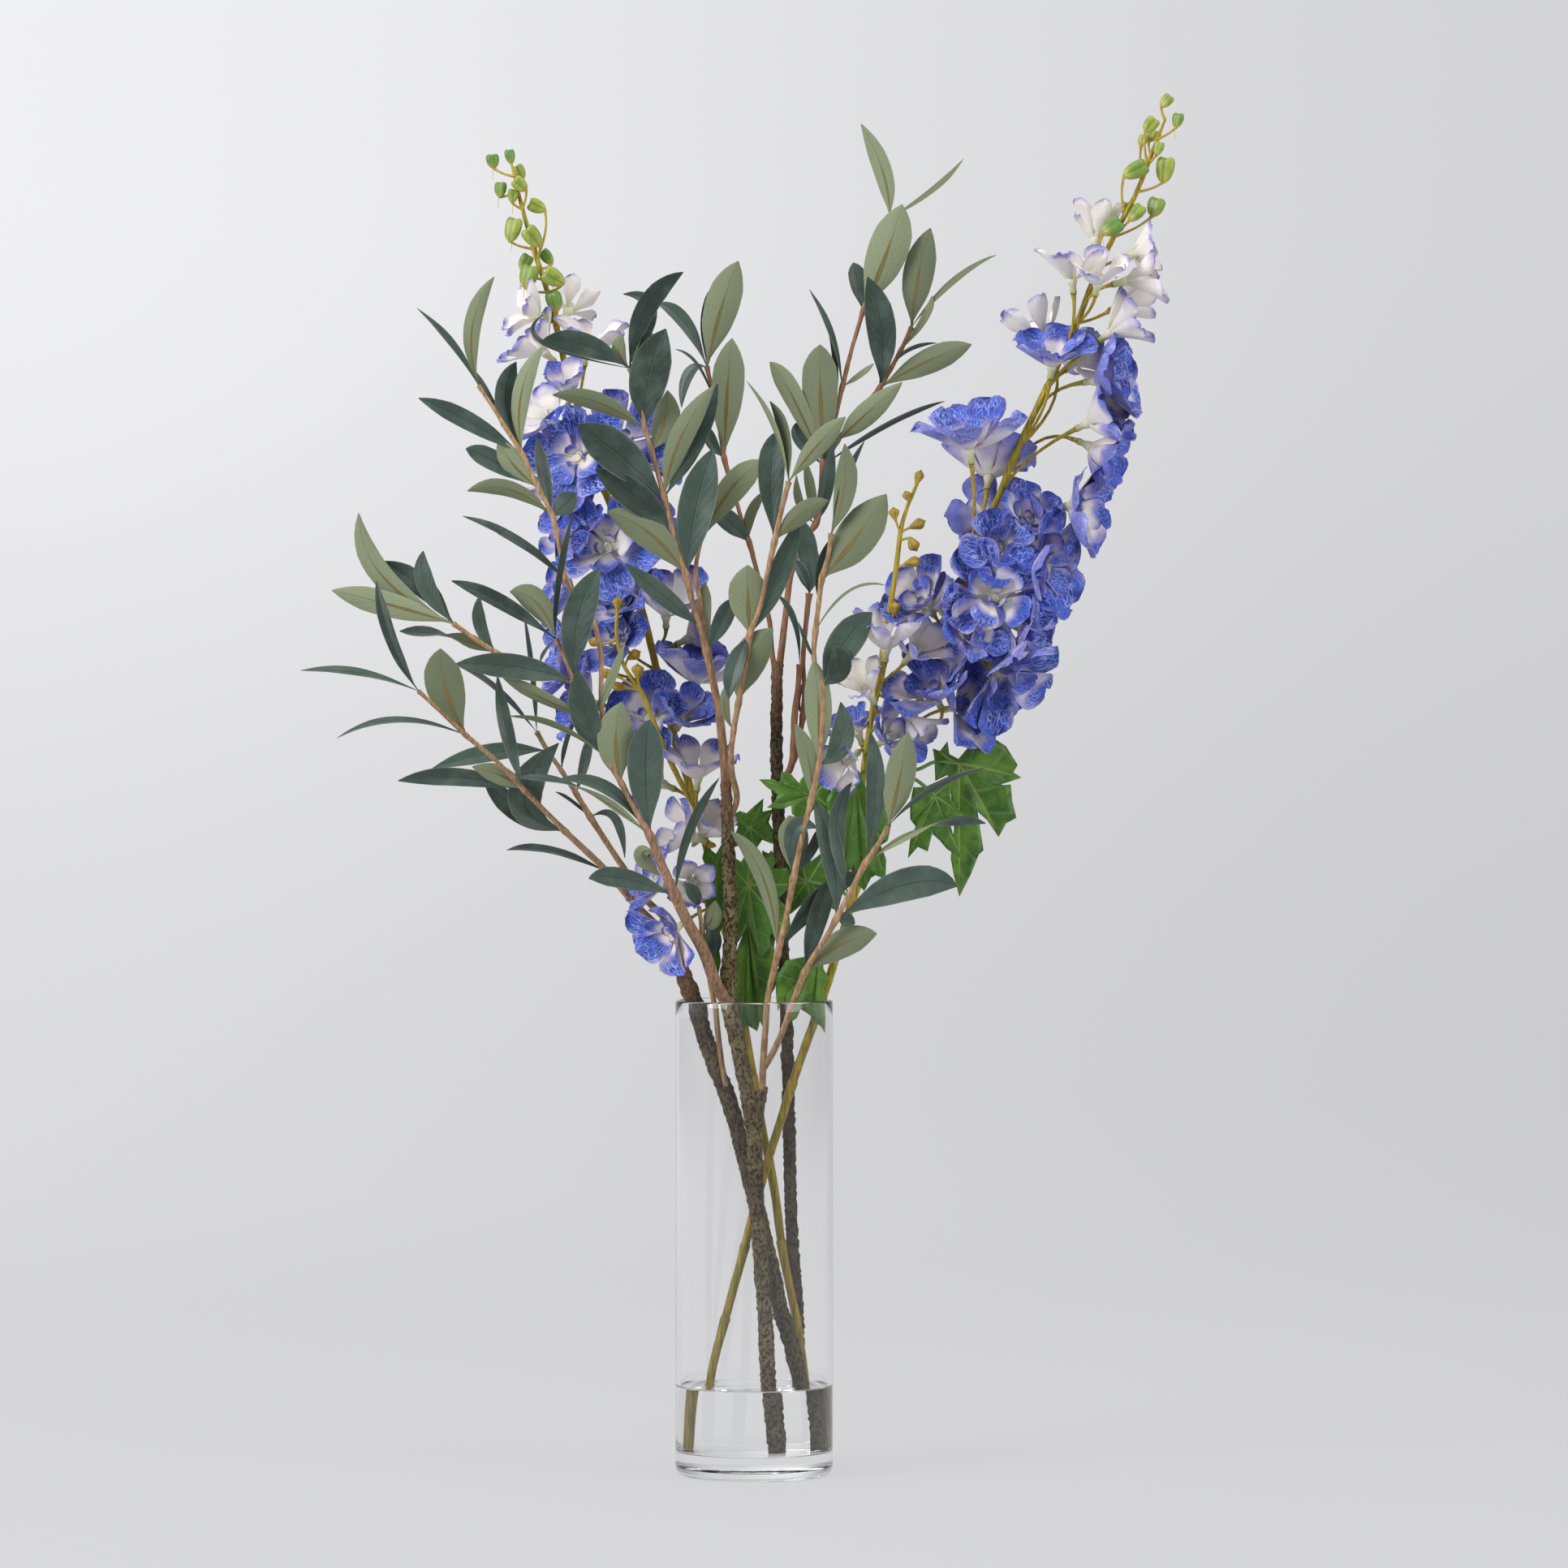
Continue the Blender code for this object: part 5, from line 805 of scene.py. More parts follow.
# %% Grow the sprays
draw = np.random.default_rng(20)
for name, twigs in SPRAYS.items():
    lean, carrier = LEANS[name], CARRIERS[name]
    reddish = float(carrier == "olive_right_trunk")
    twig_tubes, blades = [], []
    for number, (rows, leaves) in enumerate(twigs):
        path = course(rows, lean)
        if number == 0:
            root = nearest(course(TRUNKS[carrier]), path[0, :3], 15)
            path = np.concatenate([[[*root, path[0, 3]]], path])
        nodes = [course([rows[leaf[0]]], lean)[0, :3] for leaf in leaves]
        thick_share = np.clip((path[:, 3].mean() / MM - 1.5) / 1.2, 0, 1)
        swollen = with_nodes(smooth(path, 1.5 * MM), nodes)
        twig_tubes.append(tubes(swollen[None], 10, (thick_share, reddish, 0), twig_relief))
        for node, (_, xm, zm, xt, zt, width, roll, gain) in zip(nodes, leaves):
            depth = node[1] / MM
            twist = roll if isinstance(roll, tuple) else (roll, roll)
            blades.append((node, seen(xm, zm, depth + gain * 0.6), seen(xt, zt, depth + gain),
                           width * MM, twist))
    start, middle, end, width, roll = (np.array(column, float) for column in zip(*blades))
    tone = draw.random((len(blades), 3))
    roll = roll + draw.uniform(-6, 6, roll.shape)
    grid = olive_leaves(start, middle, end, width, roll, tone)
    put(name + "_twigs", twig_tubes, twig, [name])
    put(name + "_leaves", [sheets(grid, 0.55 * MM, tone)], olive_leaf, [name])

# %% [markdown]
# # Delphinium stems and stalks
# Each delphinium has one long stem with a side branch, and a thin curved stalk for every floret and bud.
# The stem is olive-yellow, faintly ribbed, and has small steps where its joints meet. The stalks are all
# tubes of the same make, so one call turns a whole table of them into a single mesh.

# %% Where the stems are
# A stem or side branch is its path: x, z, depth and radius.
STEMS = {
    "delphinium_left": (
        (36, 16, 13, 2.9), (32.5, 62, 13, 2.9), (26.5, 100, 13, 2.9), (18.5, 140, 12.5, 2.9),
        (13, 180, 12.5, 2.9), (5, 220, 12.5, 2.9), (-2, 260, 13, 2.9), (-9, 300, 14, 2.9),
        (-21, 360, 16, 2.8), (-36, 420, 20, 2.7), (-57, 490, 24, 2.6), (-69, 540, 24, 2.5),
        (-84, 590, 24, 2.4), (-99, 640, 24, 2.2), (-118, 697, 24, 2.2), (-131, 750, 22, 1.9),
        (-138, 772, 21, 1.7), (-147, 803, 20, 1.4), (-152, 824, 20, 1.0)),
    "delphinium_right": (
        (-31, 16, 6, 2.9), (-27.5, 62, 6, 2.9), (-18, 100, 6, 2.9), (-7, 140, 6, 2.9),
        (6, 190, 5.5, 2.9), (15.5, 220, 5, 2.9), (28.5, 260, 4, 2.9), (43, 300, 3, 2.8),
        (61, 359, 3, 2.7), (80, 420, 3, 2.6), (98, 472, 2, 2.5), (119, 528, 0, 2.5),
        (139, 581, 0, 2.4), (157, 625, 0, 2.3), (168, 652, 0, 2.2), (188, 694, 0, 2.2),
        (205, 731, 0, 2.1), (219, 766, 2, 1.9), (228, 785, 2, 1.8), (243, 814, 1, 1.6),
        (254, 842, 0, 1.3), (261, 860, 0, 0.9)),
}

SIDE_BRANCHES = {
    "delphinium_left": (
        (-36, 420, 20, 1.9), (-47, 440, 4, 1.8), (-60, 468, -13, 1.7), (-72, 497, -16, 1.5),
        (-82, 512, -17, 1.3), (-87, 530, -17, 1.2), (-87, 549, -17, 1.0)),
    "delphinium_right": (
        (61, 359, 3, 2.2), (66, 405, -6, 2.1), (70, 450, -12, 2.0), (77, 495, -13, 1.9),
        (85, 542, -13, 1.8), (90, 574, -12, 1.6), (95, 607, -12, 1.3), (104, 630, -12, 1.0)),
}

print("stems:", ", ".join(STEMS))

# %% Where the florets are
# A floret in true millimetres: where its stalk leaves the stem (x, y, z), its heel (x, y, z), the direction
# in which it opens (x, y, z), petal length, how open it is, its turn about its axis, and how pale it is.
FLORETS = {
    "delphinium_left": [
        (-21, 19, 360, -43.4, -12.4, 350.9, -0.71, -0.5, -0.5, 25.9, 0.75, 1.6, 0.1),
        (-21, 19, 360, -50.3, -6.2, 370.7, -0.83, -0.4, 0.39, 22.9, 0.7, 5.42, 0.3),
        (-24, 21, 372, -40.8, 4.5, 377.6, 0.11, -0.98, -0.17, 19.6, 0.5, 4.05, 0.5),
        (-31, 25, 398, -30, 3.9, 401.3, -0.89, -0.35, 0.3, 26, 0.62, 4.07, 0.6),
        (-32, 26, 404, -37.6, 9.9, 400.9, 0.51, -0.61, 0.61, 20.9, 0.45, 1.63, 0.7),
        (-36, 28, 420, -36.6, 14.5, 433.4, 0.08, -0.29, 0.95, 29.2, 0.6, 0.47, 0.6),
        (-38, 29, 425, -50.5, 32.6, 434.5, -0.91, -0.13, 0.39, 24, 0.7, 4.65, 0),
        (-47, 33, 455, -62.3, 30.3, 477.5, -0.47, -0.83, 0.31, 27, 0.9, 3.32, 0),
        (-47, 33, 455, -49.8, 20.7, 472.6, 0.4, -0.68, 0.62, 23, 0.6, 1.99, 0.3),
        (-53, 36, 475, -38.3, 24.4, 493.6, 0.1, -0.2, 0.97, 32, 0.72, 0.92, 0.2),
        (-58, 38, 491, -96.7, 30.7, 488.3, -0.91, -0.34, 0.23, 26, 0.8, 4.34, 0),
        (-60, 38, 501, -105, 41.6, 513.3, -0.94, -0.22, 0.28, 28, 0.7, 0.12, 0.1),
        (-63, 39, 511, -82.6, 27.6, 524.5, -0.45, -0.77, 0.45, 23.6, 0.8, 0.85, 0),
        (-66, 40, 526, -50.7, 37.6, 527.2, 0.9, 0.14, 0.42, 24, 0.7, 2.27, 0.1),
        (-66, 40, 526, -56.4, 25.7, 537.4, 0, -0.41, 0.91, 32, 0.58, 5.51, 0.5),
        (-70, 42, 541, -81.8, 33.5, 547.9, -0.33, -0.77, 0.55, 25, 0.8, 2.59, 0.2),
        (-71, 42, 546, -107.2, 37.9, 554.6, -0.9, -0.34, 0.28, 23, 0.6, 0.24, 0.4),
        (-78, 44, 567, -90.5, 32, 587.2, -0.25, -0.95, 0.2, 30, 0.95, 4.21, 0),
        (-81, 44, 577, -107.6, 39.9, 595.3, -0.62, -0.62, 0.47, 25, 0.8, 3.48, 0.3),
        (-85, 46, 592, -79.5, 51.5, 598.1, 0.69, 0.55, 0.48, 25, 0.8, 0.52, 0.1),
        (-92, 47, 614, -109.8, 36.3, 645.2, -0.35, -0.92, 0.15, 30, 0.95, 5.04, 0),
        (-94, 48, 620, -89.1, 45.8, 653.3, 0.44, -0.78, 0.44, 29, 0.85, 0.01, 0.1),
        (-92, 47, 614, -119.3, 45.7, 638, -0.5, -0.12, -0.86, 21.9, 0.8, 2.15, 0.2),
        (-105, 51, 655, -74.7, 47.5, 639.8, 0.86, -0.43, 0.29, 18, 0.6, 0.72, 0.1),
        (-107, 51, 661, -123.4, 41.3, 665.2, -0.52, -0.54, 0.66, 23.8, 0.7, 5.31, 0.6),
        (-114, 53, 683, -109.5, 49.2, 706.7, 0.1, -0.2, 0.97, 28.9, 0.62, 5.23, 0.9),
        (-111, 52, 675, -119.4, 40.9, 681.4, -0.1, -0.63, 0.77, 19.9, 0.5, 5.55, 0.5),
        (-120, 54, 701, -128.5, 49.2, 709.5, -0.72, -0.2, 0.67, 27.8, 0.62, 4.79, 0.8),
        (-127, 55, 729, -130.6, 52.8, 736.1, -0.91, -0.22, 0.36, 24.9, 0.6, 1.83, 0.9),
        (-127, 55, 729, -124.1, 67.6, 738.1, 0.38, 0.65, 0.65, 22, 0.5, 5.02, 0.9)],
    "delphinium_right": [
        (70, -20, 450, 66.1, -31.7, 458.4, -0.5, -0.7, -0.5, 23, 0.55, 1.63, 0.6),
        (67, -14, 420, 68.9, -1.8, 462.7, -0.35, -0.27, 0.9, 19, 0.7, 6.13, 0.2),
        (69, -19, 445, 77.2, -29.1, 462.4, 0.69, -0.62, 0.37, 22, 0.7, 4.83, 0.3),
        (73, -21, 470, 75.9, -38.3, 487.7, -0.35, -0.53, 0.77, 24.1, 0.55, 5.55, 0.9),
        (76, -23, 488, 82.4, -38.4, 514.3, 0.09, -0.26, 0.96, 29.3, 0.6, 5.2, 0.8),
        (77, -24, 495, 91.2, -27.5, 485.9, 0.69, -0.23, -0.69, 22, 0.45, 3.15, 0.9),
        (77, -24, 500, 94.5, -24.6, 514, 0.54, -0.6, 0.6, 24, 0.6, 4.65, 0.6),
        (98, -7, 472, 118.1, -22.3, 485.8, -0.3, -0.55, 0.78, 31.4, 0.7, 2.65, 0.1),
        (98, -7, 472, 120, -9.6, 485, 0.83, -0.54, 0.15, 29.7, 0.85, 5.98, 0),
        (106, -9, 493, 121.4, 3.5, 508.3, 0.56, 0.54, 0.64, 25.5, 0.7, 5.38, 0.3),
        (109, -10, 503, 148, -19.1, 513.6, 0.57, -0.47, -0.67, 32, 0.8, 4.34, 0),
        (109, -10, 503, 149, -11.6, 519.5, 0.94, -0.26, -0.21, 30, 0.8, 0.12, 0),
        (112, -11, 510, 134.3, 11.5, 503.4, 0.7, 0.63, -0.35, 27.9, 0.75, 0.09, 0),
        (119, -12, 528, 114.1, -18.1, 544.1, -0.52, -0.63, 0.58, 26.9, 0.7, 5.7, 0.2),
        (119, -12, 528, 123.6, -0.7, 539.8, -0.41, 0.1, 0.91, 27.8, 0.75, 5.48, 0),
        (121, -13, 535, 132, -22.5, 529.2, 0.34, -0.91, 0.23, 22, 0.7, 2.59, 0.2),
        (129, -14, 556, 151, -21.3, 554.1, 0.1, -0.99, 0.1, 33, 0.97, 0.24, 0.1),
        (125, -14, 545, 159.3, -4.1, 539.3, 0.93, -0.33, -0.16, 28, 0.8, 4.21, 0.1),
        (125, -14, 545, 154.3, 10, 547.5, 0.7, 0.7, 0.11, 27, 0.8, 3.48, 0),
        (138, -16, 580, 151.7, -17.5, 583.2, 0.23, -0.95, 0.23, 23.5, 0.8, 2.62, 0.1),
        (138, -16, 580, 171.4, -15.2, 577.1, 0.87, -0.46, -0.2, 32, 0.85, 5.04, 0),
        (138, -16, 580, 168.2, -5.2, 585.2, 0.85, 0.11, 0.51, 28.9, 0.8, 2.88, 0.1),
        (144, -16, 593, 167.4, -18.5, 597.8, 0.39, -0.73, 0.57, 23.9, 0.75, 2.15, 0.3),
        (149, -17, 607, 190.6, -14.9, 614.1, 0.95, -0.31, -0.1, 31, 0.8, 0.72, 0.1),
        (146, -17, 600, 151.3, 3.3, 601.7, -0.11, 0.84, 0.53, 26, 0.8, 5.64, 0.1),
        (136, -15, 574, 136.8, -39.5, 639, -0.12, -0.25, 0.96, 34, 0.72, 0.5, 0.2),
        (138, -16, 580, 147.4, -10.6, 624, 0.14, 0.4, 0.91, 30.7, 0.62, 4.06, 0.1),
        (156, -18, 624, 202.7, -26.1, 661.6, 0.86, -0.3, 0.41, 28, 0.6, 2.27, 0.3),
        (156, -18, 624, 204.4, -14.1, 655.2, 0.88, -0.23, -0.41, 27.3, 0.6, 1.36, 0.2),
        (167, -20, 651, 207.4, -21.2, 691.4, 0.93, -0.36, 0.1, 29, 0.65, 5.02, 0),
        (167, -20, 651, 186.6, -30.8, 693.1, 0.07, -0.48, 0.87, 27.4, 0.68, 0.78, 0.1),
        (180, -22, 678, 195.7, -19.1, 698.8, 0.65, 0.53, 0.55, 22.3, 0.65, 2.83, 0.2),
        (167, -20, 651, 186.6, -13.5, 713.2, -0.46, 0.15, 0.87, 27, 0.55, 6.02, 0.8),
        (187, -22, 692, 217.1, -26.9, 716.8, 0.81, -0.15, 0.56, 27, 0.55, 4.44, 0.8),
        (196, -24, 712, 201.3, -31.4, 746.3, -0.11, -0.09, 0.99, 26.8, 0.62, 1.54, 0.9),
        (204, -25, 729, 214.8, -34.9, 745.3, 0.14, -0.57, 0.81, 24.6, 0.58, 5.19, 0.9),
        (204, -25, 729, 225.5, -29.3, 752.6, 0.97, -0.1, 0.2, 27, 0.5, 2.01, 0.9),
        (212, -25, 750, 215.9, -18.7, 773.4, 0.02, 0.1, 0.99, 25, 0.45, 5.85, 0.95),
        (218, -25, 764, 229.9, -25.6, 768.5, 0.93, -0.15, 0.33, 21.9, 0.6, 0.09, 0.9),
        (204, -25, 729, 224.9, -7.4, 737.6, 0.76, 0.46, 0.46, 24, 0.5, 3.72, 0.9)],
}

print(sum(len(rows) for rows in FLORETS.values()), "florets")

# %% Where the buds and knobs are
# A bud in true millimetres: where its stalk starts (x, y, z), its middle (x, y, z), its slant in degrees,
# half its length and half its width.
BUDS = {
    "delphinium_left": [
        (-127, 55, 729, -128.9, 48, 749, -14, 8, 5), (-133, 56, 755, -129.8, 45.2, 763.9, -58, 9, 5.4),
        (-133, 56, 755, -145.1, 47.3, 765.1, 14, 9.2, 6),
        (-138, 57, 770, -134.5, 62.2, 778.6, -38, 6.6, 3.6),
        (-136, 57, 763, -147.8, 64, 775.7, 30, 6.5, 4), (-140, 57, 777, -143.2, 51.3, 790.8, -38, 9, 5.2),
        (-142, 57, 783, -155.5, 53.7, 796.1, 14, 9.5, 5.2),
        (-140, 57, 777, -141.2, 62.8, 811.2, -66, 7, 4.4),
        (-150, 59, 809, -155.6, 55.4, 817.6, 6, 5.4, 3.2),
        (-150, 59, 809, -151.4, 52.9, 824.4, -48, 6.4, 4.2),
        (-153, 60, 821, -163.9, 59.7, 822.1, 4, 6, 4), (-153, 60, 821, -152, 66.6, 834, -24, 6, 3.6),
        (-155, 60, 830, -169, 61.1, 840.5, -8, 5.6, 4),
        (-155, 60, 830, -157.9, 61.4, 843.6, -10, 5.6, 3.2)],
    "delphinium_right": [
        (218, -25, 764, 226.1, -33.3, 788.8, 58, 8.5, 5.4),
        (227, -26, 783, 241, -32.9, 797.8, 42, 7.6, 4.4),
        (227, -26, 783, 253.3, -27.1, 802.3, 18, 7.4, 5.4), (231, -27, 790, 235, -17, 802.3, 10, 5, 2.8),
        (234, -27, 797, 240.8, -36.5, 824.2, 64, 9.8, 5.2),
        (241, -29, 811, 259, -30.5, 825.8, 8, 9.8, 5.6), (248, -30, 828, 254.8, -34.3, 838.3, 20, 5.4, 3),
        (244, -29, 819, 245.5, -23.6, 844.4, 20, 4.6, 3),
        (248, -30, 828, 250.1, -30.2, 853.6, 38, 6.4, 4.2),
        (250, -31, 835, 251.8, -19.8, 847.8, 30, 5, 3.6),
        (254, -32, 844, 266.8, -32.4, 856.3, 12, 5.6, 3.6),
        (259, -32, 856, 259.8, -33.1, 868.1, 42, 5.6, 3.6)],
}

# The knob buds of the side branches, in the same order.
KNOBS = {
    "delphinium_left": [
        (-72, -2, 497, -73.9, -4.8, 509.9, 0, 4.6, 4.2), (-72, -2, 497, -92.9, -3, 507.9, -78, 5.6, 3.4),
        (-82, -2, 512, -76.1, 2, 520, 60, 4.8, 3.6), (-87, 0, 530, -101, -1.4, 528, -70, 5, 3.2),
        (-87, 1, 549, -86.5, 1.6, 553.1, 0, 4.4, 3.6), (-72, -2, 497, -86.2, 6.4, 500.1, -80, 6.2, 3)],
    "delphinium_right": [
        (85, -26, 541, 88.4, -31.8, 549, 0, 4.4, 4.2), (89, -27, 573, 100.3, -29.5, 577.9, 76, 5.6, 3.6),
        (92, -28, 591, 100.3, -32.2, 588.7, 150, 5, 4), (93, -29, 597, 103.4, -27, 601.8, 66, 5.4, 3.8),
        (93, -29, 595, 88.4, -31.4, 608.5, -10, 4, 3.6), (97, -30, 614, 96.3, -32.1, 619.4, -20, 3.4, 3),
        (103, -31, 628, 103.8, -30.8, 631.4, 20, 4.8, 3.2)],
}

for title, table in (("buds", BUDS), ("knobs", KNOBS)):
    print(sum(len(rows) for rows in table.values()), title)

# %% Stem finish
stem_green, tree, shader, where = finish("delphinium_stem", Roughness=0.5, Specular_IOR_Level=0.4)
ripeness, _, _, _ = parts(tree, "tone")
streak = noise(tree, add(tree, "Mapping", where, None, None, (1.0, 1.0, 0.06)), 600.0, 3.0)
cloud = noise(tree, where, 40.0, 3.0)
colour_in(tree, shader,
          blend(tree, spread(tree, streak, 0.32, 0.68), paint(106, 102, 18), paint(194, 164, 40)),
          (spread(tree, cloud, 0.45, 0.75, 0.0, 0.6), paint(112, 122, 40)),
          (ripeness, blend(tree, streak, paint(158, 132, 30), paint(206, 184, 78))))
bump(tree, shader, streak, 0.5, 0.0004)

# %% Shapes of stems and stalks
STALK_RADII = (1.5, 1.15, 1.0, 0.95, 0.95, 1.0, 1.05, 1.2, 1.7)
BUD_STALK_RADII = (1.15, 0.9, 0.8, 0.75, 0.75, 0.8, 1.2)
THREAD_RADII = (0.3, 0.2, 0.18, 0.18, 0.16, 0.14)


def stem_relief(path):
    """Path whose radius swells towards the end of each joint, every 36 to 60 mm, then steps back.

    With j the share of the joint that is passed, the radius is times 0.92 + 0.08 j + 0.20 j^9.
    """
    along = np.cumsum(np.linalg.norm(np.diff(path[:, :3], axis=0, prepend=path[:1, :3]), axis=1)) / MM
    joint = (along + 9 * np.sin(along / 61.0)) / 47.0 % 1.0
    path[:, 3] *= 0.92 + 0.08 * joint + 0.20 * joint**9
    return path


def curved(start, middle, end, radii):
    """Short paths from start to end that bend towards the middle as a parabola does.

    A point is start * (1 - t)^2 + middle * 2 t (1 - t) + end * t^2, and the radii go from end to end.
    """
    radii = np.asarray(radii, float) * MM
    t = np.linspace(0.0, 1.0, len(radii))[None, :, None]
    places = start[:, None] * (1 - t) ** 2 + middle[:, None] * (2 * t * (1 - t)) + end[:, None] * t**2
    return np.concatenate([places, np.broadcast_to(radii[None, :, None], (*places.shape[:2], 1))], 2)


def ribs(places):
    """Extra radius of a stem: long fine ridges that follow its height."""
    return MM * 0.35 * (grain(places * (1, 1, 0.05), 1.3 * MM, 5) - 0.5)


def leaning(degrees):
    """Directions that lean to the right of upright by an angle s: (sin s, 0, cos s)."""
    slant = np.radians(degrees)
    return np.stack([np.sin(slant), 0 * slant, np.cos(slant)], 1)


def floret_stalks(table):
    """Stalks that leave the stem and reach each floret's heel along its axis."""
    start, heel, axis = table[:, 0:3] * MM, table[:, 3:6] * MM, unit(table[:, 6:9])
    reach = np.linalg.norm(heel - start, axis=1)[:, None]
    return curved(start, heel - axis * reach * 0.55, heel, STALK_RADII)


def bud_stalks(table):
    """Stalks that reach the foot of each bud or knob, bent a third of the way to its axis."""
    start, axis = table[:, 0:3] * MM, leaning(table[:, 6])
    foot = table[:, 3:6] * MM - axis * table[:, 7:8] * 0.9 * MM
    reach = np.linalg.norm(foot - start, axis=1)[:, None]
    bend_at = 0.68 * (start * 0.5 + foot * 0.5) + 0.32 * (foot - axis * reach * 0.5)
    return curved(start, bend_at, foot, BUD_STALK_RADII)


def threads(foot):
    """Fine threads that hang from the buds' feet, each to a side given by a sine of its number."""
    flat = np.ones(len(foot))
    hang = np.stack([np.sin(np.arange(len(foot)) * 2.4), -0.8 * flat, -2.6 * flat], 1)
    middle, end = foot + hang * (1.0, 1.0, 0.3) * 2.2 * MM, foot + hang * (0.2, 1.0, 1.0) * 3.0 * MM
    return curved(foot, middle, end, THREAD_RADII)


print("a floret's stalk is", 2 * STALK_RADII[0], "mm thick at the stem and", 2 * STALK_RADII[4], "mm midway")

# %% Set the stems
for plant, rows in STEMS.items():
    stem = plant + "_stem"
    path = stem_relief(smooth(course(rows, LEANS[stem]), 1.5 * MM))
    path[0, 2] = FOOT
    branch = smooth(course(SIDE_BRANCHES[plant], LEANS[stem]), 2 * MM)
    thin = bud_stalks(np.array(BUDS[plant] + KNOBS[plant]))
    hairs = threads(thin[:len(BUDS[plant]), -1, :3])[::2]
    shapes = [tubes(path[None], 16, (0.1, 0, 0), ribs), tubes(branch[None], 12, (0.55, 0, 0), ribs),
              tubes(floret_stalks(np.array(FLORETS[plant])), 8, (0.35, 0, 0)),
              tubes(thin, 8, (0.8, 0, 0)), tubes(hairs, 5, (0.6, 0, 0))]
    put(stem + "_green", shapes, stem_green, [stem])

# %% [markdown]
# # Buds and knobs
# The tips carry plump green buds with a seam down their length, and the side branches carry small
# ochre knobs with a point, like poppy heads. Both are a circle of changing radius carried along a short
# axis, pinched in along the seams.

# %% Shape of a bud
def buds(table, seams, depth, profile, notch=0.0, flat=1.0, rows=13, sides=16):
    """Small closed bodies along their own axes.

    The radius is half the width times the profile at t, less depth times |cos(seams * a / 2)| to the
    power 6, so that a narrow furrow runs from end to end at each seam. The first seam looks roughly to
    the front. The notch pulls the end in by a share of half the length, first along the furrows.
    """
    count, axis = len(table), leaning(table[:, 6])
    tone = np.random.default_rng(3).random((count, 1, 3))
    front = np.stack([1.6 * tone[:, 0, 1] - 0.8, -np.ones(count), 0.3 * np.ones(count)], 1)
    u = unit(front - axis * (front * axis).sum(1, keepdims=True))
    v = np.cross(axis, u)
    t, a = np.linspace(0.0, 1.0, rows)[:, None], np.arange(sides) * math.tau / sides
    furrow = np.abs(np.cos(seams * a / 2))
    radius = np.interp(t, *profile) * table[:, 8, None, None]
    radius = radius * (1 - depth * furrow**6 * np.sqrt(np.sin(math.pi * t) + 1e-9))
    out = u[:, None, None] * flat * np.cos(a)[:, None] + v[:, None, None] * np.sin(a)[:, None]
    pull = notch * (t**12 + 0.8 * furrow**4 * t**5 * (1 - t**12))
    rise = (2 * t - 1 - pull) * table[:, 7, None, None]
    places = table[:, None, None, 3:6] + axis[:, None, None] * rise[..., None] + out * radius[..., None]
    places = places * MM
    spot = np.broadcast_to(np.stack(np.broadcast_arrays(t, furrow, 0.0), -1), places.shape)
    tones = np.repeat(tone, rows * sides, 1).reshape(-1, 3)
    return places.reshape(-1, 3), tube_faces(count, rows, sides), spot.reshape(-1, 3), tones


# A profile: shares of the length, and shares of the half width there.
BUD_PROFILE = ([0.0, 0.05, 0.15, 0.35, 0.55, 0.75, 0.9, 0.97, 1.0],
               [0.14, 0.42, 0.74, 1.0, 1.1, 1.04, 0.78, 0.46, 0.10])
KNOB_PROFILE = ([0.0, 0.1, 0.3, 0.5, 0.68, 0.8, 0.9, 1.0], [0.3, 0.45, 0.72, 0.98, 1.0, 0.72, 0.25, 0.08])
print("a bud is widest at", BUD_PROFILE[0][np.argmax(BUD_PROFILE[1])], "of its length")

# %% Bud and knob finish
bud_green, tree, shader, where = finish("bud_green", Roughness=0.36, Specular_IOR_Level=0.5)
t, furrow, _, _ = parts(tree, "spot")
tone, _, _, _ = parts(tree, "tone")
cloud = noise(tree, where, 150.0, 3.0)
# The last layer paints the seam furrows darker green: painted shade in the creases.
colour_in(tree, shader,
          blend(tree, spread(tree, tone, 0.2, 0.8), paint(104, 142, 58), paint(158, 168, 66)),
          (spread(tree, cloud, 0.4, 0.7, 0.0, 0.65), paint(84, 124, 56)),
          (spread(tree, t, 0.0, 0.4, 0.75, 0.0), paint(194, 184, 92)),
          (spread(tree, furrow, 0.93, 1.0, 0.0, 0.55), paint(70, 100, 36)))
bump(tree, shader, cloud, 0.3, 0.0004)

knob_ochre, tree, shader, where = finish("knob_ochre", Roughness=0.45, Specular_IOR_Level=0.4)
t, furrow, _, _ = parts(tree, "spot")
cloud = noise(tree, where, 220.0, 3.0)
# The last layer paints the furrows darker: painted shade in the creases.
colour_in(tree, shader,
          blend(tree, spread(tree, cloud, 0.35, 0.7), paint(164, 134, 40), paint(200, 172, 74)),
          (spread(tree, t, 0.55, 1.0, 0.0, 0.7), paint(132, 100, 30)),
          (spread(tree, furrow, 0.80, 1.0, 0.0, 0.5), paint(112, 88, 26)))
bump(tree, shader, cloud, 0.4, 0.0004)

# %% Set the buds and knobs
for plant in STEMS:
    stem = plant + "_stem"
    bud_shapes = buds(np.array(BUDS[plant]), 2, 0.34, BUD_PROFILE, 0.34, 0.8)
    knob_shapes = buds(np.array(KNOBS[plant]), 5, 0.22, KNOB_PROFILE)
    put(stem + "_buds", [bud_shapes], bud_green, [stem])
    put(stem + "_knobs", [knob_shapes], knob_ochre, [stem])

# %% [markdown]
# # Lobed leaves
# The broad leaves are cut into pointed, toothed lobes like a hand. The outline of each was read tooth by
# tooth. To fill it, each outline point is joined to a point of its lobe's midrib, and the sheet between is
# a grid, so the veins can fan out from the ribs. Filling the outline with one flat face would lose the
# folds that make such a leaf look alive.

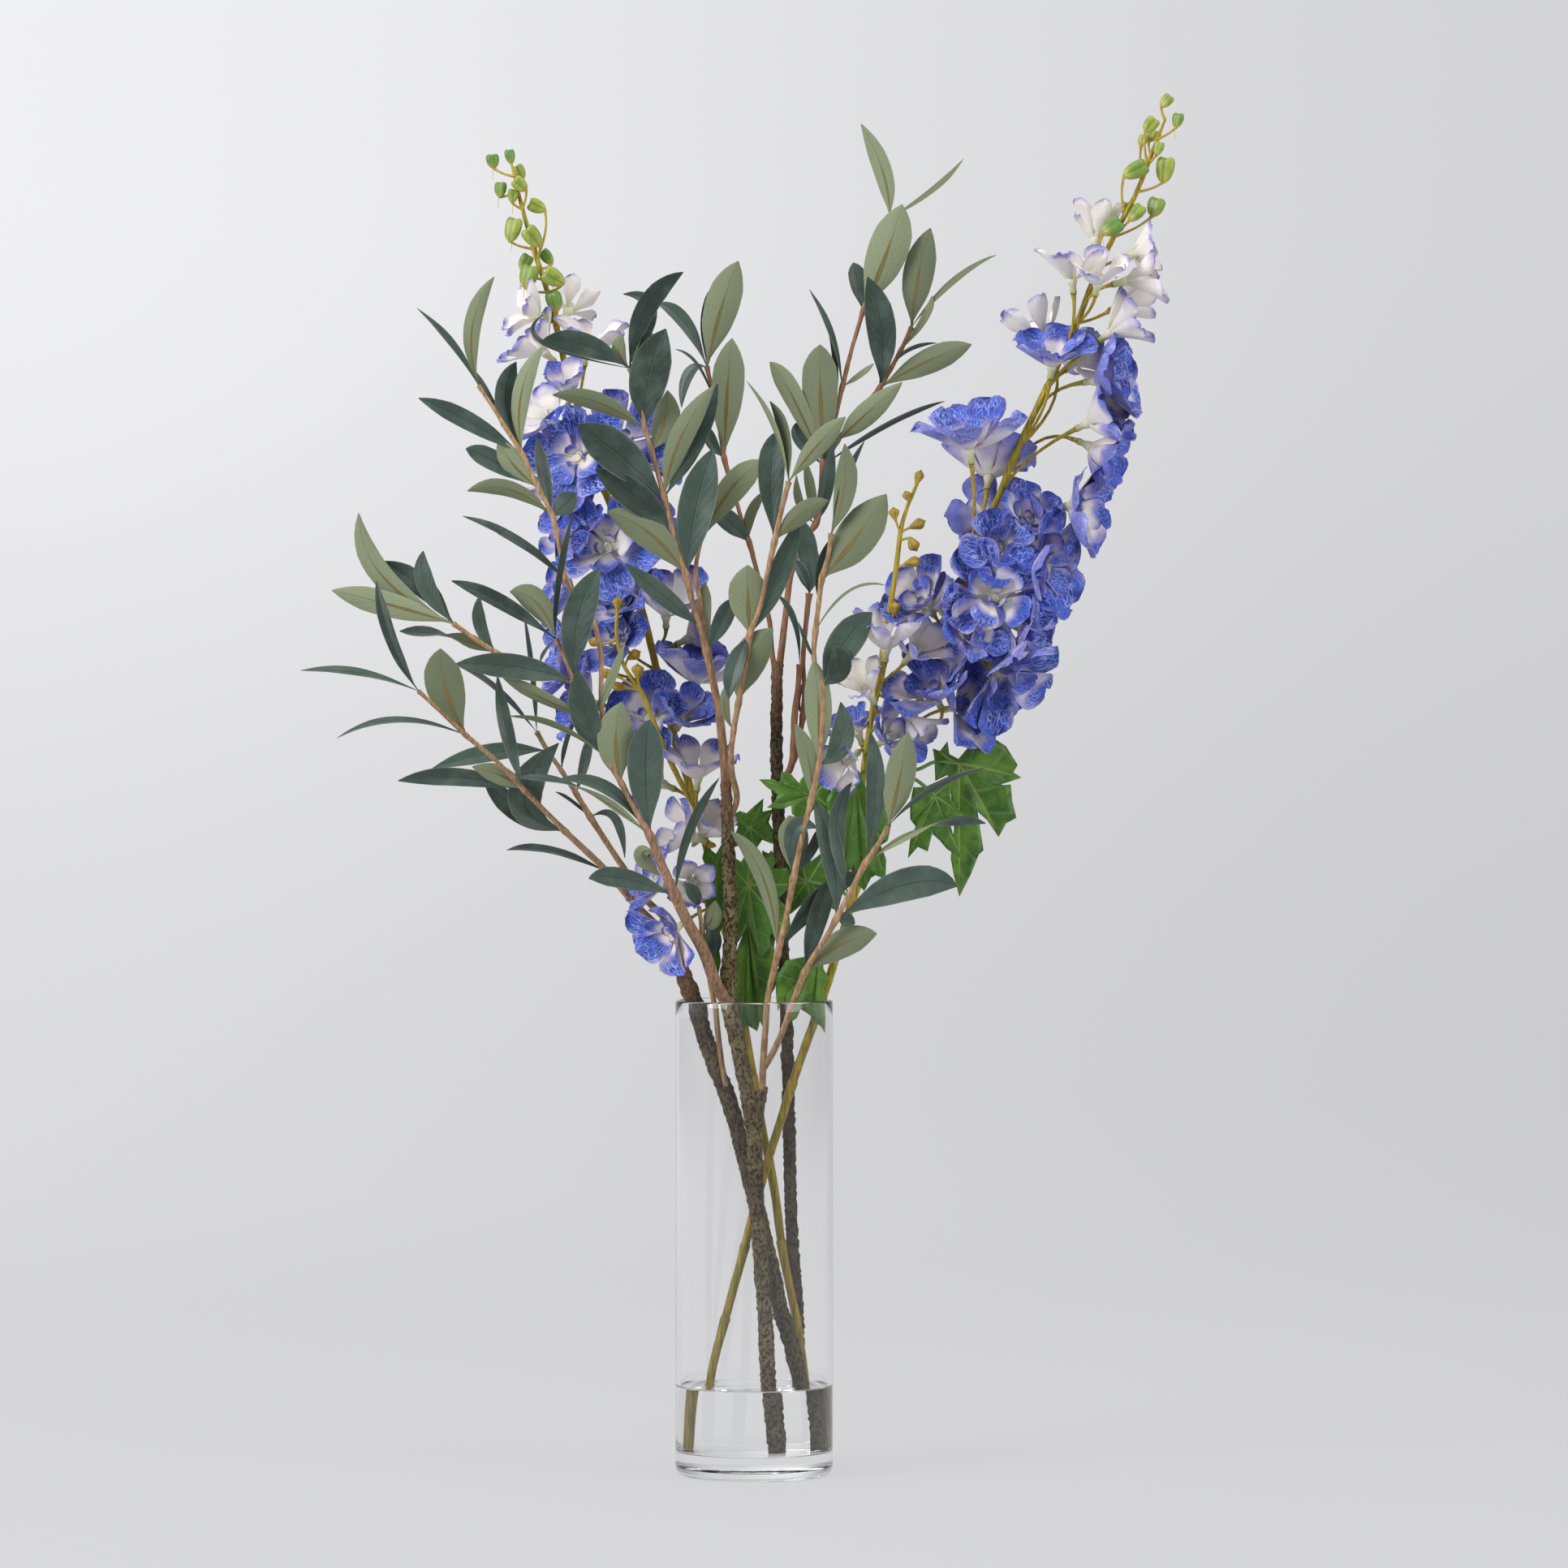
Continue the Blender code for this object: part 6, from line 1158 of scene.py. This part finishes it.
# %% Outlines of the lobed leaves
# A leaf: its stalk as x, z and depth from the stem to the leaf's middle, how the depth grows to the right
# and upwards, and its lobes in order round the middle, each from the notch before it to its last tooth.
LEAVES = {
    "delphinium_left": (
        (((-15, 332, 15), (-9, 343, 8), (-4, 346, 1)), 0.10, 0.03, (
            ((-9, 344), (-14, 325), (-16, 300), (-14.5, 287), (-9.2, 274), (-6, 281)),
            ((-5, 286), (-1, 283), (1.9, 281), (3, 284)),
            ((3.6, 288), (6.2, 282.5), (8, 300), (13, 308), (16, 318), (13, 328)),
            ((13, 338), (15, 348), (6, 356), (-3, 356)))),
        (((-27, 385, 17), (-26, 390, 11), (-24, 388, 5)), 0.12, 0.02, (
            ((-29, 384), (-33, 370), (-29, 350), (-32, 335), (-28, 322), (-25, 306), (-21, 325),
             (-23, 340), (-18, 352), (-19, 372)),
            ((-20, 384), (-16, 394), (-20, 401)),
            ((-24, 393), (-31, 399), (-33, 391)))),
        (((-33, 408, 19), (-18, 414, 6), (-3, 410, -3)), 0.05, 0.05, (
            ((-10, 411), (-13, 419), (-9, 421)), ((-5, 419), (0, 424), (6, 429)), ((5, 420), (12, 422)),
            ((9, 414), (13, 407), (11.5, 400)), ((5, 403), (1, 396)), ((-5, 401), (-12, 398), (-12, 406)))),
        (((-27, 385, 17), (-16, 384, 6), (-4, 374, -3)), 0.02, 0.02, (
            ((-12, 378), (-19, 386), (-20, 393), (-12, 391)), ((-8, 388), (-3, 397), (1, 390)),
            ((3, 386), (11, 396), (15, 390)), ((11, 384), (21, 385), (26, 374), (19, 369)),
            ((15, 366), (22, 358), (24, 341), (14, 340)),
            ((10, 344), (10, 334), (4, 327), (0, 338)), ((-4, 350), (-9, 339), (-15, 332), (-17, 343)),
            ((-12, 357), (-20, 354), (-22, 363), (-15, 367))))),
    "delphinium_right": (
        (((51, 327, 3), (47, 332, -4), (41, 330, -9)), 0.04, 0.03, (
            ((33, 331), (20, 326), (13.5, 314), (14, 302), (15, 291.5), (18, 300)),
            ((20, 305), (21, 296), (22.3, 286.7), (27.1, 289.2)),
            ((29.5, 293.5), (33, 291.5), (35.8, 290.2)),
            ((38.1, 287.5), (42, 284), (44.5, 279.8), (45, 297), (44.5, 308.6), (47.5, 315.5)),
            ((44, 322), (44, 336), (37, 335)))),
        (((63, 364, 3), (52, 372, 14), (34, 376, 19)), 0.05, 0.05, (
            ((48, 378), (54, 384), (47, 398), (40, 392)), ((36, 388), (27, 401), (20, 394)),
            ((20, 388), (5, 396), (6, 384)), ((12, 378), (0, 371), (8, 364)),
            ((16, 367), (16, 352), (24, 356)), ((30, 362), (37, 349), (43, 357)),
            ((42, 364), (53, 357), (54, 368)))),
        (((66.5, 410, -7), (57, 424, -15), (38, 431, -20)), 0.03, 0.04, (
            ((48, 436), (53, 441), (50, 446), (45, 443)), ((42, 438), (38, 443), (32, 444), (29, 440)),
            ((29, 436), (24, 444), (17, 446), (17, 440)), ((20, 437), (12, 441), (3, 441), (8, 436)),
            ((16, 431), (13, 427), (8, 423), (18, 422)), ((24, 425), (24, 419), (30, 414), (35, 418)),
            ((38, 423), (44, 417), (52, 420), (50, 427)))),
        (((70, 446, -12), (68, 445, -17), (65, 437, -21)), 0.03, 0.06, (
            ((73, 433), (82, 426), (87, 412), (85, 402)),
            ((80, 400), (84, 390), (83.5, 377.6), (77, 380)),
            ((74, 379), (70, 370), (66, 374), (64, 380)),
            ((62, 385), (57, 380), (53, 392), (52, 404)),
            ((50, 410), (47, 416), (46, 428), (50, 436)), ((57, 440), (60, 446), (66, 447)))),
        (((89, 448, 2.5), (103, 447, 6), (115, 452, 9), (130, 451, 10)), 0.10, 0.04, (
            ((123, 447), (115, 440), (114.5, 453), (113.4, 460.6), (118, 459), (122.8, 465.3), (124, 457)),
            ((128.4, 454.3), (136, 461.4), (148.9, 469.3), (160, 462), (167.4, 450), (164, 446),
             (169.8, 442)),
            ((153.6, 438.5), (163, 437.7), (164, 427), (166.6, 416.4), (160, 413), (155.2, 404.2),
             (148, 415)),
            ((141.8, 424.3), (145.7, 396), (142.6, 393), (137.8, 381), (130.3, 366.3), (126.8, 380),
             (124.8, 391), (127, 410), (125, 432)))),
        (((84, 434, 2.6), (98, 442, 2), (115, 431, 1)), 0.06, -0.05, (
            ((108, 437), (101, 436), (99, 425), (99.1, 415.6)),
            ((103, 412), (99, 402), (97.6, 390.7), (104, 398), (110.2, 395.1)),
            ((113, 408), (118, 402), (122.4, 396.7), (131.5, 390.7), (127, 404)),
            ((124, 412), (135.5, 416.4), (127, 424)), ((124, 431), (126, 440), (117, 440)))),
    ),
}


print("lobed leaves:", {plant: len(rows) for plant, rows in LEAVES.items()})

# %% Shape of a lobed leaf
def lobed_leaf(petiole, right, up, lobes, lean, per_edge=4, steps=6):
    """One blade as a ring-shaped grid of (outline points, steps from rib to outline).

    Each notch is first moved a tenth of the way towards the middle between the tips beside it. Each
    outline point meets its lobe's rib at the share of the rib that it reaches. The sheet sags towards
    its tips with the square of the distance from the middle, is folded along the ribs, and waves along
    its rim.
    """
    cx, cz, cy = petiole[-1]
    middle = np.array([cx, cz], float)
    lobes = [np.array(lobe, float) for lobe in lobes]
    tips = [lobe[np.argmax(np.linalg.norm(lobe - middle, axis=1))] for lobe in lobes]
    for lobe, tip, before in zip(lobes, tips, tips[-1:] + tips[:-1]):
        lobe[0] += 0.10 * ((tip + before) / 2 - lobe[0])
    rim, rib = [], []
    for outline, after in zip(lobes, lobes[1:] + lobes[:1]):
        points = np.concatenate([outline, after[:1]])
        edges = len(points) - 1
        tip = points[np.argmax(np.linalg.norm(points - middle, axis=1))]
        k = np.linspace(0, edges, per_edge * edges + 1)[:-1]
        rim_part = np.stack([np.interp(k, np.arange(edges + 1), points[:, j]) for j in (0, 1)], 1)
        span = tip - middle
        share = np.clip((rim_part - middle) @ span / (span @ span), 0, 0.97) * 0.93
        share = share * np.clip(np.minimum(k, edges - k), 0, 1)
        rim.append(rim_part)
        rib.append(middle + span * share[:, None])
    rim, rib = np.concatenate(rim), np.concatenate(rib)
    v = np.linspace(0.0, 1.0, steps)
    flat = rib[:, None] + (rim - rib)[:, None] * v[:, None]
    reach = np.linalg.norm(flat - middle, axis=2)
    width = np.linalg.norm(rim - rib, axis=1)[:, None]
    depth = cy + right * (flat[..., 0] - cx) + up * (flat[..., 1] - cz) + 0.0012 * reach**2
    depth = depth - 0.11 * width * v * (1 - 0.35 * v) + 0.6 * np.sin(reach / 4.0) * v
    return seen(flat[..., 0], flat[..., 1], depth, lean), reach / max(reach.max(), 1.0), v


def lobed_sheet(leaf, lean, tone, thick=0.5 * MM):
    """Closed blade from the ring-shaped grid.

    Two faces share the rim, and a hair-thin wall joins them where the halves of a lobe meet along its
    rib. Where the normal turns away from the leaf's mean normal, the mean takes its place.
    """
    places, reach, v = lobed_leaf(*leaf, lean)
    count, steps, _ = places.shape
    turn = np.roll(places, -1, 0) - np.roll(places, 1, 0)
    normal = unit(np.cross(turn, np.gradient(places, axis=1)))
    mean = unit(normal.reshape(-1, 3).sum(0))
    normal = np.where((normal @ mean)[..., None] < 0.2, mean, normal)
    normal[:, 0] = mean
    offset = normal * thick * 0.5 * (np.arange(steps) < steps - 1)[None, :, None]
    ring = np.arange(count * steps).reshape(count, steps)
    closing = np.stack([ring[-1, :-1], ring[-1, 1:], ring[0, 1:], ring[0, :-1]], -1)
    upper = np.concatenate([quads(1, count, steps), closing])
    near, after = ring[:, 0], np.roll(ring[:, 0], -1)
    edge_wall = np.stack([near, after, after + ring.size, near + ring.size], -1)
    faces = [upper[:, ::-1], upper + ring.size, edge_wall[:, ::-1]]
    spot = np.stack(np.broadcast_arrays(reach, v[None], 0.0), -1).reshape(-1, 3)
    under = float(mean[1] >= 0)
    spots = np.concatenate([spot + (0, 0, under), spot + (0, 0, 1 - under)])
    both = np.concatenate([(places + offset).reshape(-1, 3), (places - offset).reshape(-1, 3)])
    return both, faces, spots, np.broadcast_to(tone, both.shape)


first_leaf = lobed_sheet(LEAVES["delphinium_left"][0], LEANS["delphinium_left_stem"], (0, 0, 0))
print("the first lobed leaf has", len(first_leaf[0]), "points")

# %% Lobed leaf finish
leaf_green, tree, shader, where = finish("lobed_leaf", Specular_IOR_Level=0.4, Roughness=0.5)
reach, to_rim, under, _ = parts(tree, "spot")
tone, _, _, _ = parts(tree, "tone")
cloud = noise(tree, where, 70.0, 4.0)
web = add(tree, "TexVoronoi", where, None, 320.0, feature="DISTANCE_TO_EDGE")
web = spread(tree, web, 0.0, 0.09, 1.0, 0.0)
ribs_line = spread(tree, to_rim, 0.02, 0.13, 1.0, 0.0)
slant = minus(tree, times(tree, reach, 34.0), times(tree, to_rim, 5.0))
side_veins = spread(tree, sums(tree, "SINE", slant), 0.86, 1.0)
colour_in(tree, shader,
          blend(tree, spread(tree, cloud, 0.3, 0.7), paint(48, 88, 20), paint(98, 142, 46)),
          (tone, paint(76, 122, 40)),
          (times(tree, web, 0.14), paint(104, 150, 82)),
          (times(tree, side_veins, 0.30), paint(116, 158, 92)),
          (times(tree, ribs_line, 0.60), paint(160, 180, 98)),
          (times(tree, under, 0.60), paint(128, 174, 116)))
bump(tree, shader, plus(tree, times(tree, ribs_line, -1.0), cloud), 0.5, 0.0006)

# %% Lay the lobed leaves
for plant in STEMS:
    stem = plant + "_stem"
    lean = LEANS[stem]
    shapes = []
    for number, leaf in enumerate(LEAVES[plant]):
        shapes.append(lobed_sheet(leaf, lean, (0.25 * (number % 4), 0, 0)))
        path = smooth(course([(*row, 1.2) for row in leaf[0]], lean), 2 * MM)
        shapes.append(tubes(path[None], 8, (0.6, 0, 0)))
    piece = put(stem + "_lobed_leaves", shapes, leaf_green, [stem])
    welded = bmesh.new()
    welded.from_mesh(piece.data)
    bmesh.ops.remove_doubles(welded, verts=welded.verts, dist=1e-6)
    welded.to_mesh(piece.data)
    welded.free()

# %% [markdown]
# # Florets
# Every floret has a short green-white spur, five broad cupped petals and three tiny ones in its throat, and
# the blue ones have four more in between. Young florets near the tip are cream with a violet rim and half
# closed; older ones are cobalt blue and wide open, netted with paler veins. One could bend each petal with
# a Simple Deform modifier, but as grids of one array a whole whorl of a plant is worked out in one go.

# %% Shape of the petals
PETAL_R = np.array([0.0, 0.13, 0.28, 0.44, 0.60, 0.74, 0.86, 0.95, 1.0])
PETAL_W = np.array([0.24, 0.31, 0.52, 0.78, 0.96, 1.0, 0.87, 0.62, 0.34])
THROAT = 9.0 * MM


def petals(heel, axis, angle, length, half_width, lean, bend, arch, notch, chance, columns=9, steps=32):
    """Petals as grids of (petals, rows, columns).

    Along its middle a petal leans away from the axis by the angle lean + bend * (r - 1/2), and the small
    steps of that line are summed. Across, it is an arc that turns by the angle arch from the middle to
    either edge, with its hollow side to the axis: sin(arch c) / arch sideways and (1 - cos(arch c)) / arch
    inwards, times the half width. The rim is ruffled by sines, and the tip may have a notch.
    """
    c = np.linspace(-1.0, 1.0, columns)[None, None]
    row_r = PETAL_R[None, :, None]
    dent = 1 - 0.05 * c[0] ** 2 - notch[:, None, None] * np.exp(-(c / 0.22) ** 2)
    r = row_r * (1 - (1 - dent) * row_r**5)
    lean, bend, arch, length, half_width = (
        value[:, None, None] for value in (lean, bend, arch, length, half_width))
    fine = np.linspace(0.0, 1.0, steps + 1)[None, :, None]
    tilt = lean + bend * (fine - 0.5)
    out, ahead = np.cumsum(np.sin(tilt), 1) / (steps + 1), np.cumsum(np.cos(tilt), 1) / (steps + 1)
    row = np.clip(r * steps, 0, steps - 0.001)
    low, part = row.astype(int), row - row.astype(int)
    pick = np.arange(len(out))[:, None, None]
    out = out[pick, low, 0] * (1 - part) + out[pick, low + 1, 0] * part
    out = out * length + (2.8 - 1.2 * r) * MM
    ahead = (ahead[pick, low, 0] * (1 - part) + ahead[pick, low + 1, 0] * part) * length
    here = lean + bend * (r - 0.5)
    wide = PETAL_W[None, :, None] * half_width
    phase = chance[:, :1, None] * 6.3
    ruffle = length * (0.045 * np.sin(4.3 * c + phase) * r**2
                       + 0.034 * c**2 * np.sin(13.0 * r + 2 * phase) * r
                       + 0.020 * np.sin(11.0 * c + 3 * phase) * r**4)
    sideways = wide * np.sin(arch * c) / arch
    inwards = wide * (1 - np.cos(arch * c)) / arch + ruffle
    u = unit(np.cross(axis, np.where(np.abs(axis[:, 2:]) < 0.8, (0.0, 0.0, 1.0), (1.0, 0.0, 0.0))))
    v = np.cross(axis, u)
    away = (u * np.cos(angle)[:, None] + v * np.sin(angle)[:, None])[:, None, None]
    side = (v * np.cos(angle)[:, None] - u * np.sin(angle)[:, None])[:, None, None]
    axis, throat = axis[:, None, None], (heel + axis * THROAT)[:, None, None]
    return (throat + away * (out - np.cos(here) * inwards)[..., None] + side * sideways[..., None]
            + axis * (ahead + np.sin(here) * inwards)[..., None])


print("a petal is widest at", PETAL_R[np.argmax(PETAL_W)], "of its length")

# %% Whorls of petals
# A whorl: petals, their length and half width as shares of the floret's petal length, turn, how far inside.
MIDDLE = 0.4
WHORLS = ((5, 1.24, 0.58, 0.0, 0.0), (4, 0.78, 0.36, 0.6, MIDDLE), (3, 0.34, 0.14, 0.2, 1.0))


def bloom(table, seed):
    """Three whorls of petals, the middle one in blue florets only, with tones (chance, paleness, inner)."""
    draw = np.random.default_rng(seed)
    made = []
    for number, share, wide, turn, inner in WHORLS:
        whorl = table[table[:, 12] < 0.5] if inner == MIDDLE else table
        rows = np.repeat(whorl, number, 0)
        count, k = len(rows), np.tile(np.arange(number), len(whorl))
        chance = draw.random((count, 3))
        size, opening, pale = rows[:, 9] * MM, rows[:, 10], rows[:, 12]
        angle = rows[:, 11] + k * math.tau / number + draw.uniform(-0.14, 0.14, count) + turn
        lean = np.radians(84 * opening * (1 - 0.5 * inner) + draw.uniform(-11, 9, count)) - 0.10 * inner
        bend = draw.uniform(-0.95, 0.4, count) + 0.25 * opening
        arch = np.clip(1.35 - 0.8 * opening + draw.uniform(-0.3, 0.3, count), 0.3, 1.35)
        half = wide * size * draw.uniform(0.86, 1.08, count) * (1 - 0.42 * pale)
        notch = 0.09 * np.maximum(draw.random(count) - 0.6, 0) / 0.4
        length = share * size * draw.uniform(0.90, 1.05, count) * (1 - 0.12 * pale)
        grid = petals(rows[:, 3:6] * MM, unit(rows[:, 6:9]), angle, length, half, lean, bend, arch, notch,
                      chance)
        made.append(sheets(grid, 0.5 * MM, np.stack([chance[:, 0], pale, np.full(count, inner)], 1)))
    return made


print("a whole floret has", sum(whorl[0] for whorl in WHORLS), "petals in three whorls")

# %% Petal finish
petal, tree, shader, where = finish("petal", Roughness=0.55, Specular_IOR_Level=0.35, Sheen_Weight=0.1)
along, across, under, spot = parts(tree, "spot")
chance, pale, inner, tone = parts(tree, "tone")
cloud = noise(tree, where, 90.0, 3.0)
patch = noise(tree, where, 46.0, 2.0)
shift = vectors(tree, "ADD", vectors(tree, "MULTIPLY", spot, (2.4, 3.0, 0.0)),
                vectors(tree, "MULTIPLY", tone, (37.0, 11.0, 5.0)))
warp = add(tree, "TexNoise", shift, None, 1.4, 2.0, 0.5, out=1)
shift = vectors(tree, "ADD", shift, vectors(tree, "MULTIPLY", warp, (0.7, 0.7, 0.0)))
cells = add(tree, "TexVoronoi", shift, None, 2.3, feature="DISTANCE_TO_EDGE")
net = spread(tree, cells, 0.015, 0.085, 1.0, 0.0)
fan = sums(tree, "DIVIDE", across, plus(tree, along, 0.45))
fan = sums(tree, "SINE", plus(tree, times(tree, fan, 24.0), times(tree, cloud, 9.0)))
veins = sums(tree, "MAXIMUM", net, times(tree, spread(tree, fan, 0.86, 1.0), 0.5))

# %% Where a petal is blue
edge = times(tree, across, across, along)
patchy = plus(tree, times(tree, cloud, 0.40), times(tree, patch, 0.85))
faded = times(tree, spread(tree, chance, 0.55, 0.95, 0.0, 0.42), minus(tree, 1.0, pale))
blueness = plus(tree, along, times(tree, edge, 0.16), minus(tree, patchy, 0.74))
blueness = minus(tree, blueness, sums(tree, "MULTIPLY_ADD", pale, 0.80, -0.10), times(tree, inner, 0.30),
                 faded)
speckled = minus(tree, blueness, times(tree, veins, pale, 0.16))
blue_share = spread(tree, speckled, 0.10, 0.34)
print("a petal turns from cream over lilac to blue as its blueness rises past 0.1 to 0.34")

# %% Colours of a petal
cream = layered(tree, blend(tree, chance, paint(244, 240, 228), paint(238, 230, 228)),
                (spread(tree, along, 0.0, 0.35, 0.7, 0.0), paint(222, 222, 178)))
lilac = blend(tree, cloud, paint(142, 142, 206), paint(196, 182, 210))
cobalt = blend(tree, spread(tree, cloud, 0.32, 0.68), paint(34, 54, 152), paint(62, 94, 210))
violet = blend(tree, spread(tree, cloud, 0.35, 0.65), paint(88, 84, 176), paint(122, 130, 214))
margin = spread(tree, size_of(tree, across), 0.66, 1.0)
vein_share = times(tree, veins, sums(tree, "MULTIPLY_ADD", blue_share, 0.66, 0.04),
                   spread(tree, patch, 0.40, 0.58, 0.30, 1.0))
colour_in(tree, shader, cream,
          (spread(tree, blueness, -0.06, 0.20), lilac),
          (blue_share, blend(tree, spread(tree, pale, 0.4, 0.9), cobalt, violet)),
          (times(tree, margin, spread(tree, patch, 0.42, 0.58, 0.0, 0.55)), paint(186, 168, 212)),
          (vein_share, paint(190, 204, 252)),
          (times(tree, under, sums(tree, "MULTIPLY_ADD", pale, -0.30, 0.32)), paint(178, 168, 212)))
bump(tree, shader, plus(tree, veins, cloud), 0.4, 0.0005)
print("petal finish of", len(tree.nodes), "nodes")

# %% Spur finish
spur, tree, shader, where = finish("spur", Roughness=0.55, Specular_IOR_Level=0.3)
_, _, share, _ = parts(tree, "spot")
colour_in(tree, shader,
          blend(tree, spread(tree, share, 0.1, 0.9), paint(176, 182, 118), paint(224, 222, 196)),
          (spread(tree, share, 0.06, 0.14, 1.0, 0.0), paint(92, 104, 40)))
bump(tree, shader, noise(tree, where, 300.0), 0.3, 0.0004)

# %% Set the florets
SEEDS = {"delphinium_left": 41, "delphinium_right": 43}
SPUR_RADII = (1.5, 2.3, 2.2, 2.0, 2.2, 2.7, 3.2, 3.3, 2.4)

for plant in STEMS:
    table = np.array(FLORETS[plant])
    nodes = sorted(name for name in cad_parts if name.startswith(plant + "_florets"))
    put(plant + "_petals", bloom(table, SEEDS[plant]), petal, nodes)
    heel, axis = table[:, 3:6] * MM, unit(table[:, 6:9])
    spurs = curved(heel - axis * 0.5 * MM, heel + axis * 5 * MM, heel + axis * 11.0 * MM, SPUR_RADII)
    put(plant + "_spurs", [tubes(spurs, 12, (0, 0, 0))], spur, nodes)

# %% [markdown]
# # Camera, floor and light
# The picture was taken from far away with a long lens, level with the middle of the arrangement, so
# nothing converges. A pale round sweep, floor and wall in one bend, gives a background without a horizon.
# It glows like paper lit from behind, and less at its sides and towards the camera, so the glass shows its
# edges. A white plane with strong lamps would do too, but its bounced light takes far longer to render.
# Soft light comes from large panels left, right and above and from the bright room: shadows are faint.

# %% Camera
camera = bpy.data.objects.new("camera", bpy.data.cameras.new("camera"))
camera.location = (VIEW_X * MM, -VIEW_DISTANCE * MM, VIEW_Z * MM)
camera.rotation_euler = (math.pi / 2, 0.0, 0.0)
camera.data.sensor_width = 36.0
camera.data.lens = 134.2
bpy.context.scene.collection.objects.link(camera)
bpy.context.scene.camera = camera
print("camera", VIEW_DISTANCE, "mm in front of the vase, level with a height of", VIEW_Z, "mm")

# %% Round sweep
FLOOR_RADIUS, BEND_RADIUS, WALL_TOP, SIDES = 4.3, 1.4, 7.0, 96
bend = np.radians(np.linspace(0, 90, 17))
cove = np.concatenate([
    [[0.4, 0.0]],
    np.stack([FLOOR_RADIUS + BEND_RADIUS * np.sin(bend), BEND_RADIUS - BEND_RADIUS * np.cos(bend)], 1),
    [[FLOOR_RADIUS + BEND_RADIUS, WALL_TOP]]])
places = circles(cove, SIDES)
centre = [[len(places), k, (k + 1) % SIDES] for k in range(SIDES)]
faces = quads(1, len(cove), SIDES, True)[:, ::-1].tolist() + centre
mesh = bpy.data.meshes.new("sweep")
mesh.from_pydata([*places.tolist(), [0, 0, 0]], [], faces)
mesh.polygons.foreach_set("use_smooth", np.ones(len(mesh.polygons), bool))
sweep = bpy.data.objects.new("sweep", mesh)
bpy.context.scene.collection.objects.link(sweep)
print("sweep of", len(faces), "faces")

# %% Paper of the sweep
paper, tree, shader, where = finish(
    "sweep_paper", Roughness=0.95, Specular_IOR_Level=0.0, Emission_Strength=1.0)
axes = tree.nodes.new("ShaderNodeSeparateXYZ")
feed(tree, axes.inputs[0], where)
x, y, z = axes.outputs
near = spread(tree, add(tree, "VectorMath", where, operation="LENGTH", out=1), 0.5, 2.6, 1.0, 0.0)
feed(tree, shader.inputs["Base Color"], blend(tree, near, paint(0, 0, 0), paint(90, 90, 90)))
# Painted light: the glow is brighter on the left, as if lit from that side, and falls off to the right.
glow = blend(tree, spread(tree, x, -1.4, 1.4), paint(240, 240, 243), paint(212, 212, 214))
# Painted shade: the glow darkens low down and on the floor nearer the middle.
low = sums(tree, "MULTIPLY_ADD", near, 0.36, spread(tree, z, -0.1, 1.4, 0.45, 0.0))
glow = blend(tree, low, glow, paint(190, 190, 193))
to_side = spread(tree, size_of(tree, x), 1.8, 4.6)
to_camera = spread(tree, y, -3.2, -0.9, 1.0, 0.0)
dim = sums(tree, "MAXIMUM", to_side, to_camera)
feed(tree, shader.inputs["Emission Color"], blend(tree, dim, glow, paint(146, 146, 148)))
mesh.materials.append(paper)

# %% Light
def panel(name, place, aim, width, height, power):
    """Soft white light panel that faces a point."""
    lamp = bpy.data.lights.new(name, "AREA")
    lamp.shape = "RECTANGLE"
    lamp.size, lamp.size_y = width, height
    lamp.energy = power
    made = bpy.data.objects.new(name, lamp)
    made.location = place
    towards = np.array(aim) - np.array(place)
    made.rotation_euler = (math.acos(-towards[2] / np.linalg.norm(towards)), 0.0,
                           math.atan2(towards[1], towards[0]) - math.pi / 2)
    bpy.context.scene.collection.objects.link(made)
    print(name, power, "W")


panel("left_panel", (-2.2, -1.6, 1.6), (0.0, 0.0, 0.45), 1.6, 2.2, 72.0)
panel("right_panel", (2.4, -1.4, 1.4), (0.0, 0.0, 0.45), 1.4, 2.0, 36.0)
panel("top_panel", (0.0, -0.4, 2.6), (0.0, 0.0, 0.4), 2.0, 2.0, 24.0)

# %% Light of the room
world = bpy.data.worlds.new("room")
world.use_nodes = True
room_light = world.node_tree.nodes["Background"]
room_light.inputs["Color"].default_value = (0.97, 0.98, 1.0, 1.0)
room_light.inputs["Strength"].default_value = 0.35
bpy.context.scene.world = world
bpy.context.scene.view_settings.view_transform = "Standard"
print("room light of strength", round(room_light.inputs["Strength"].default_value, 2))
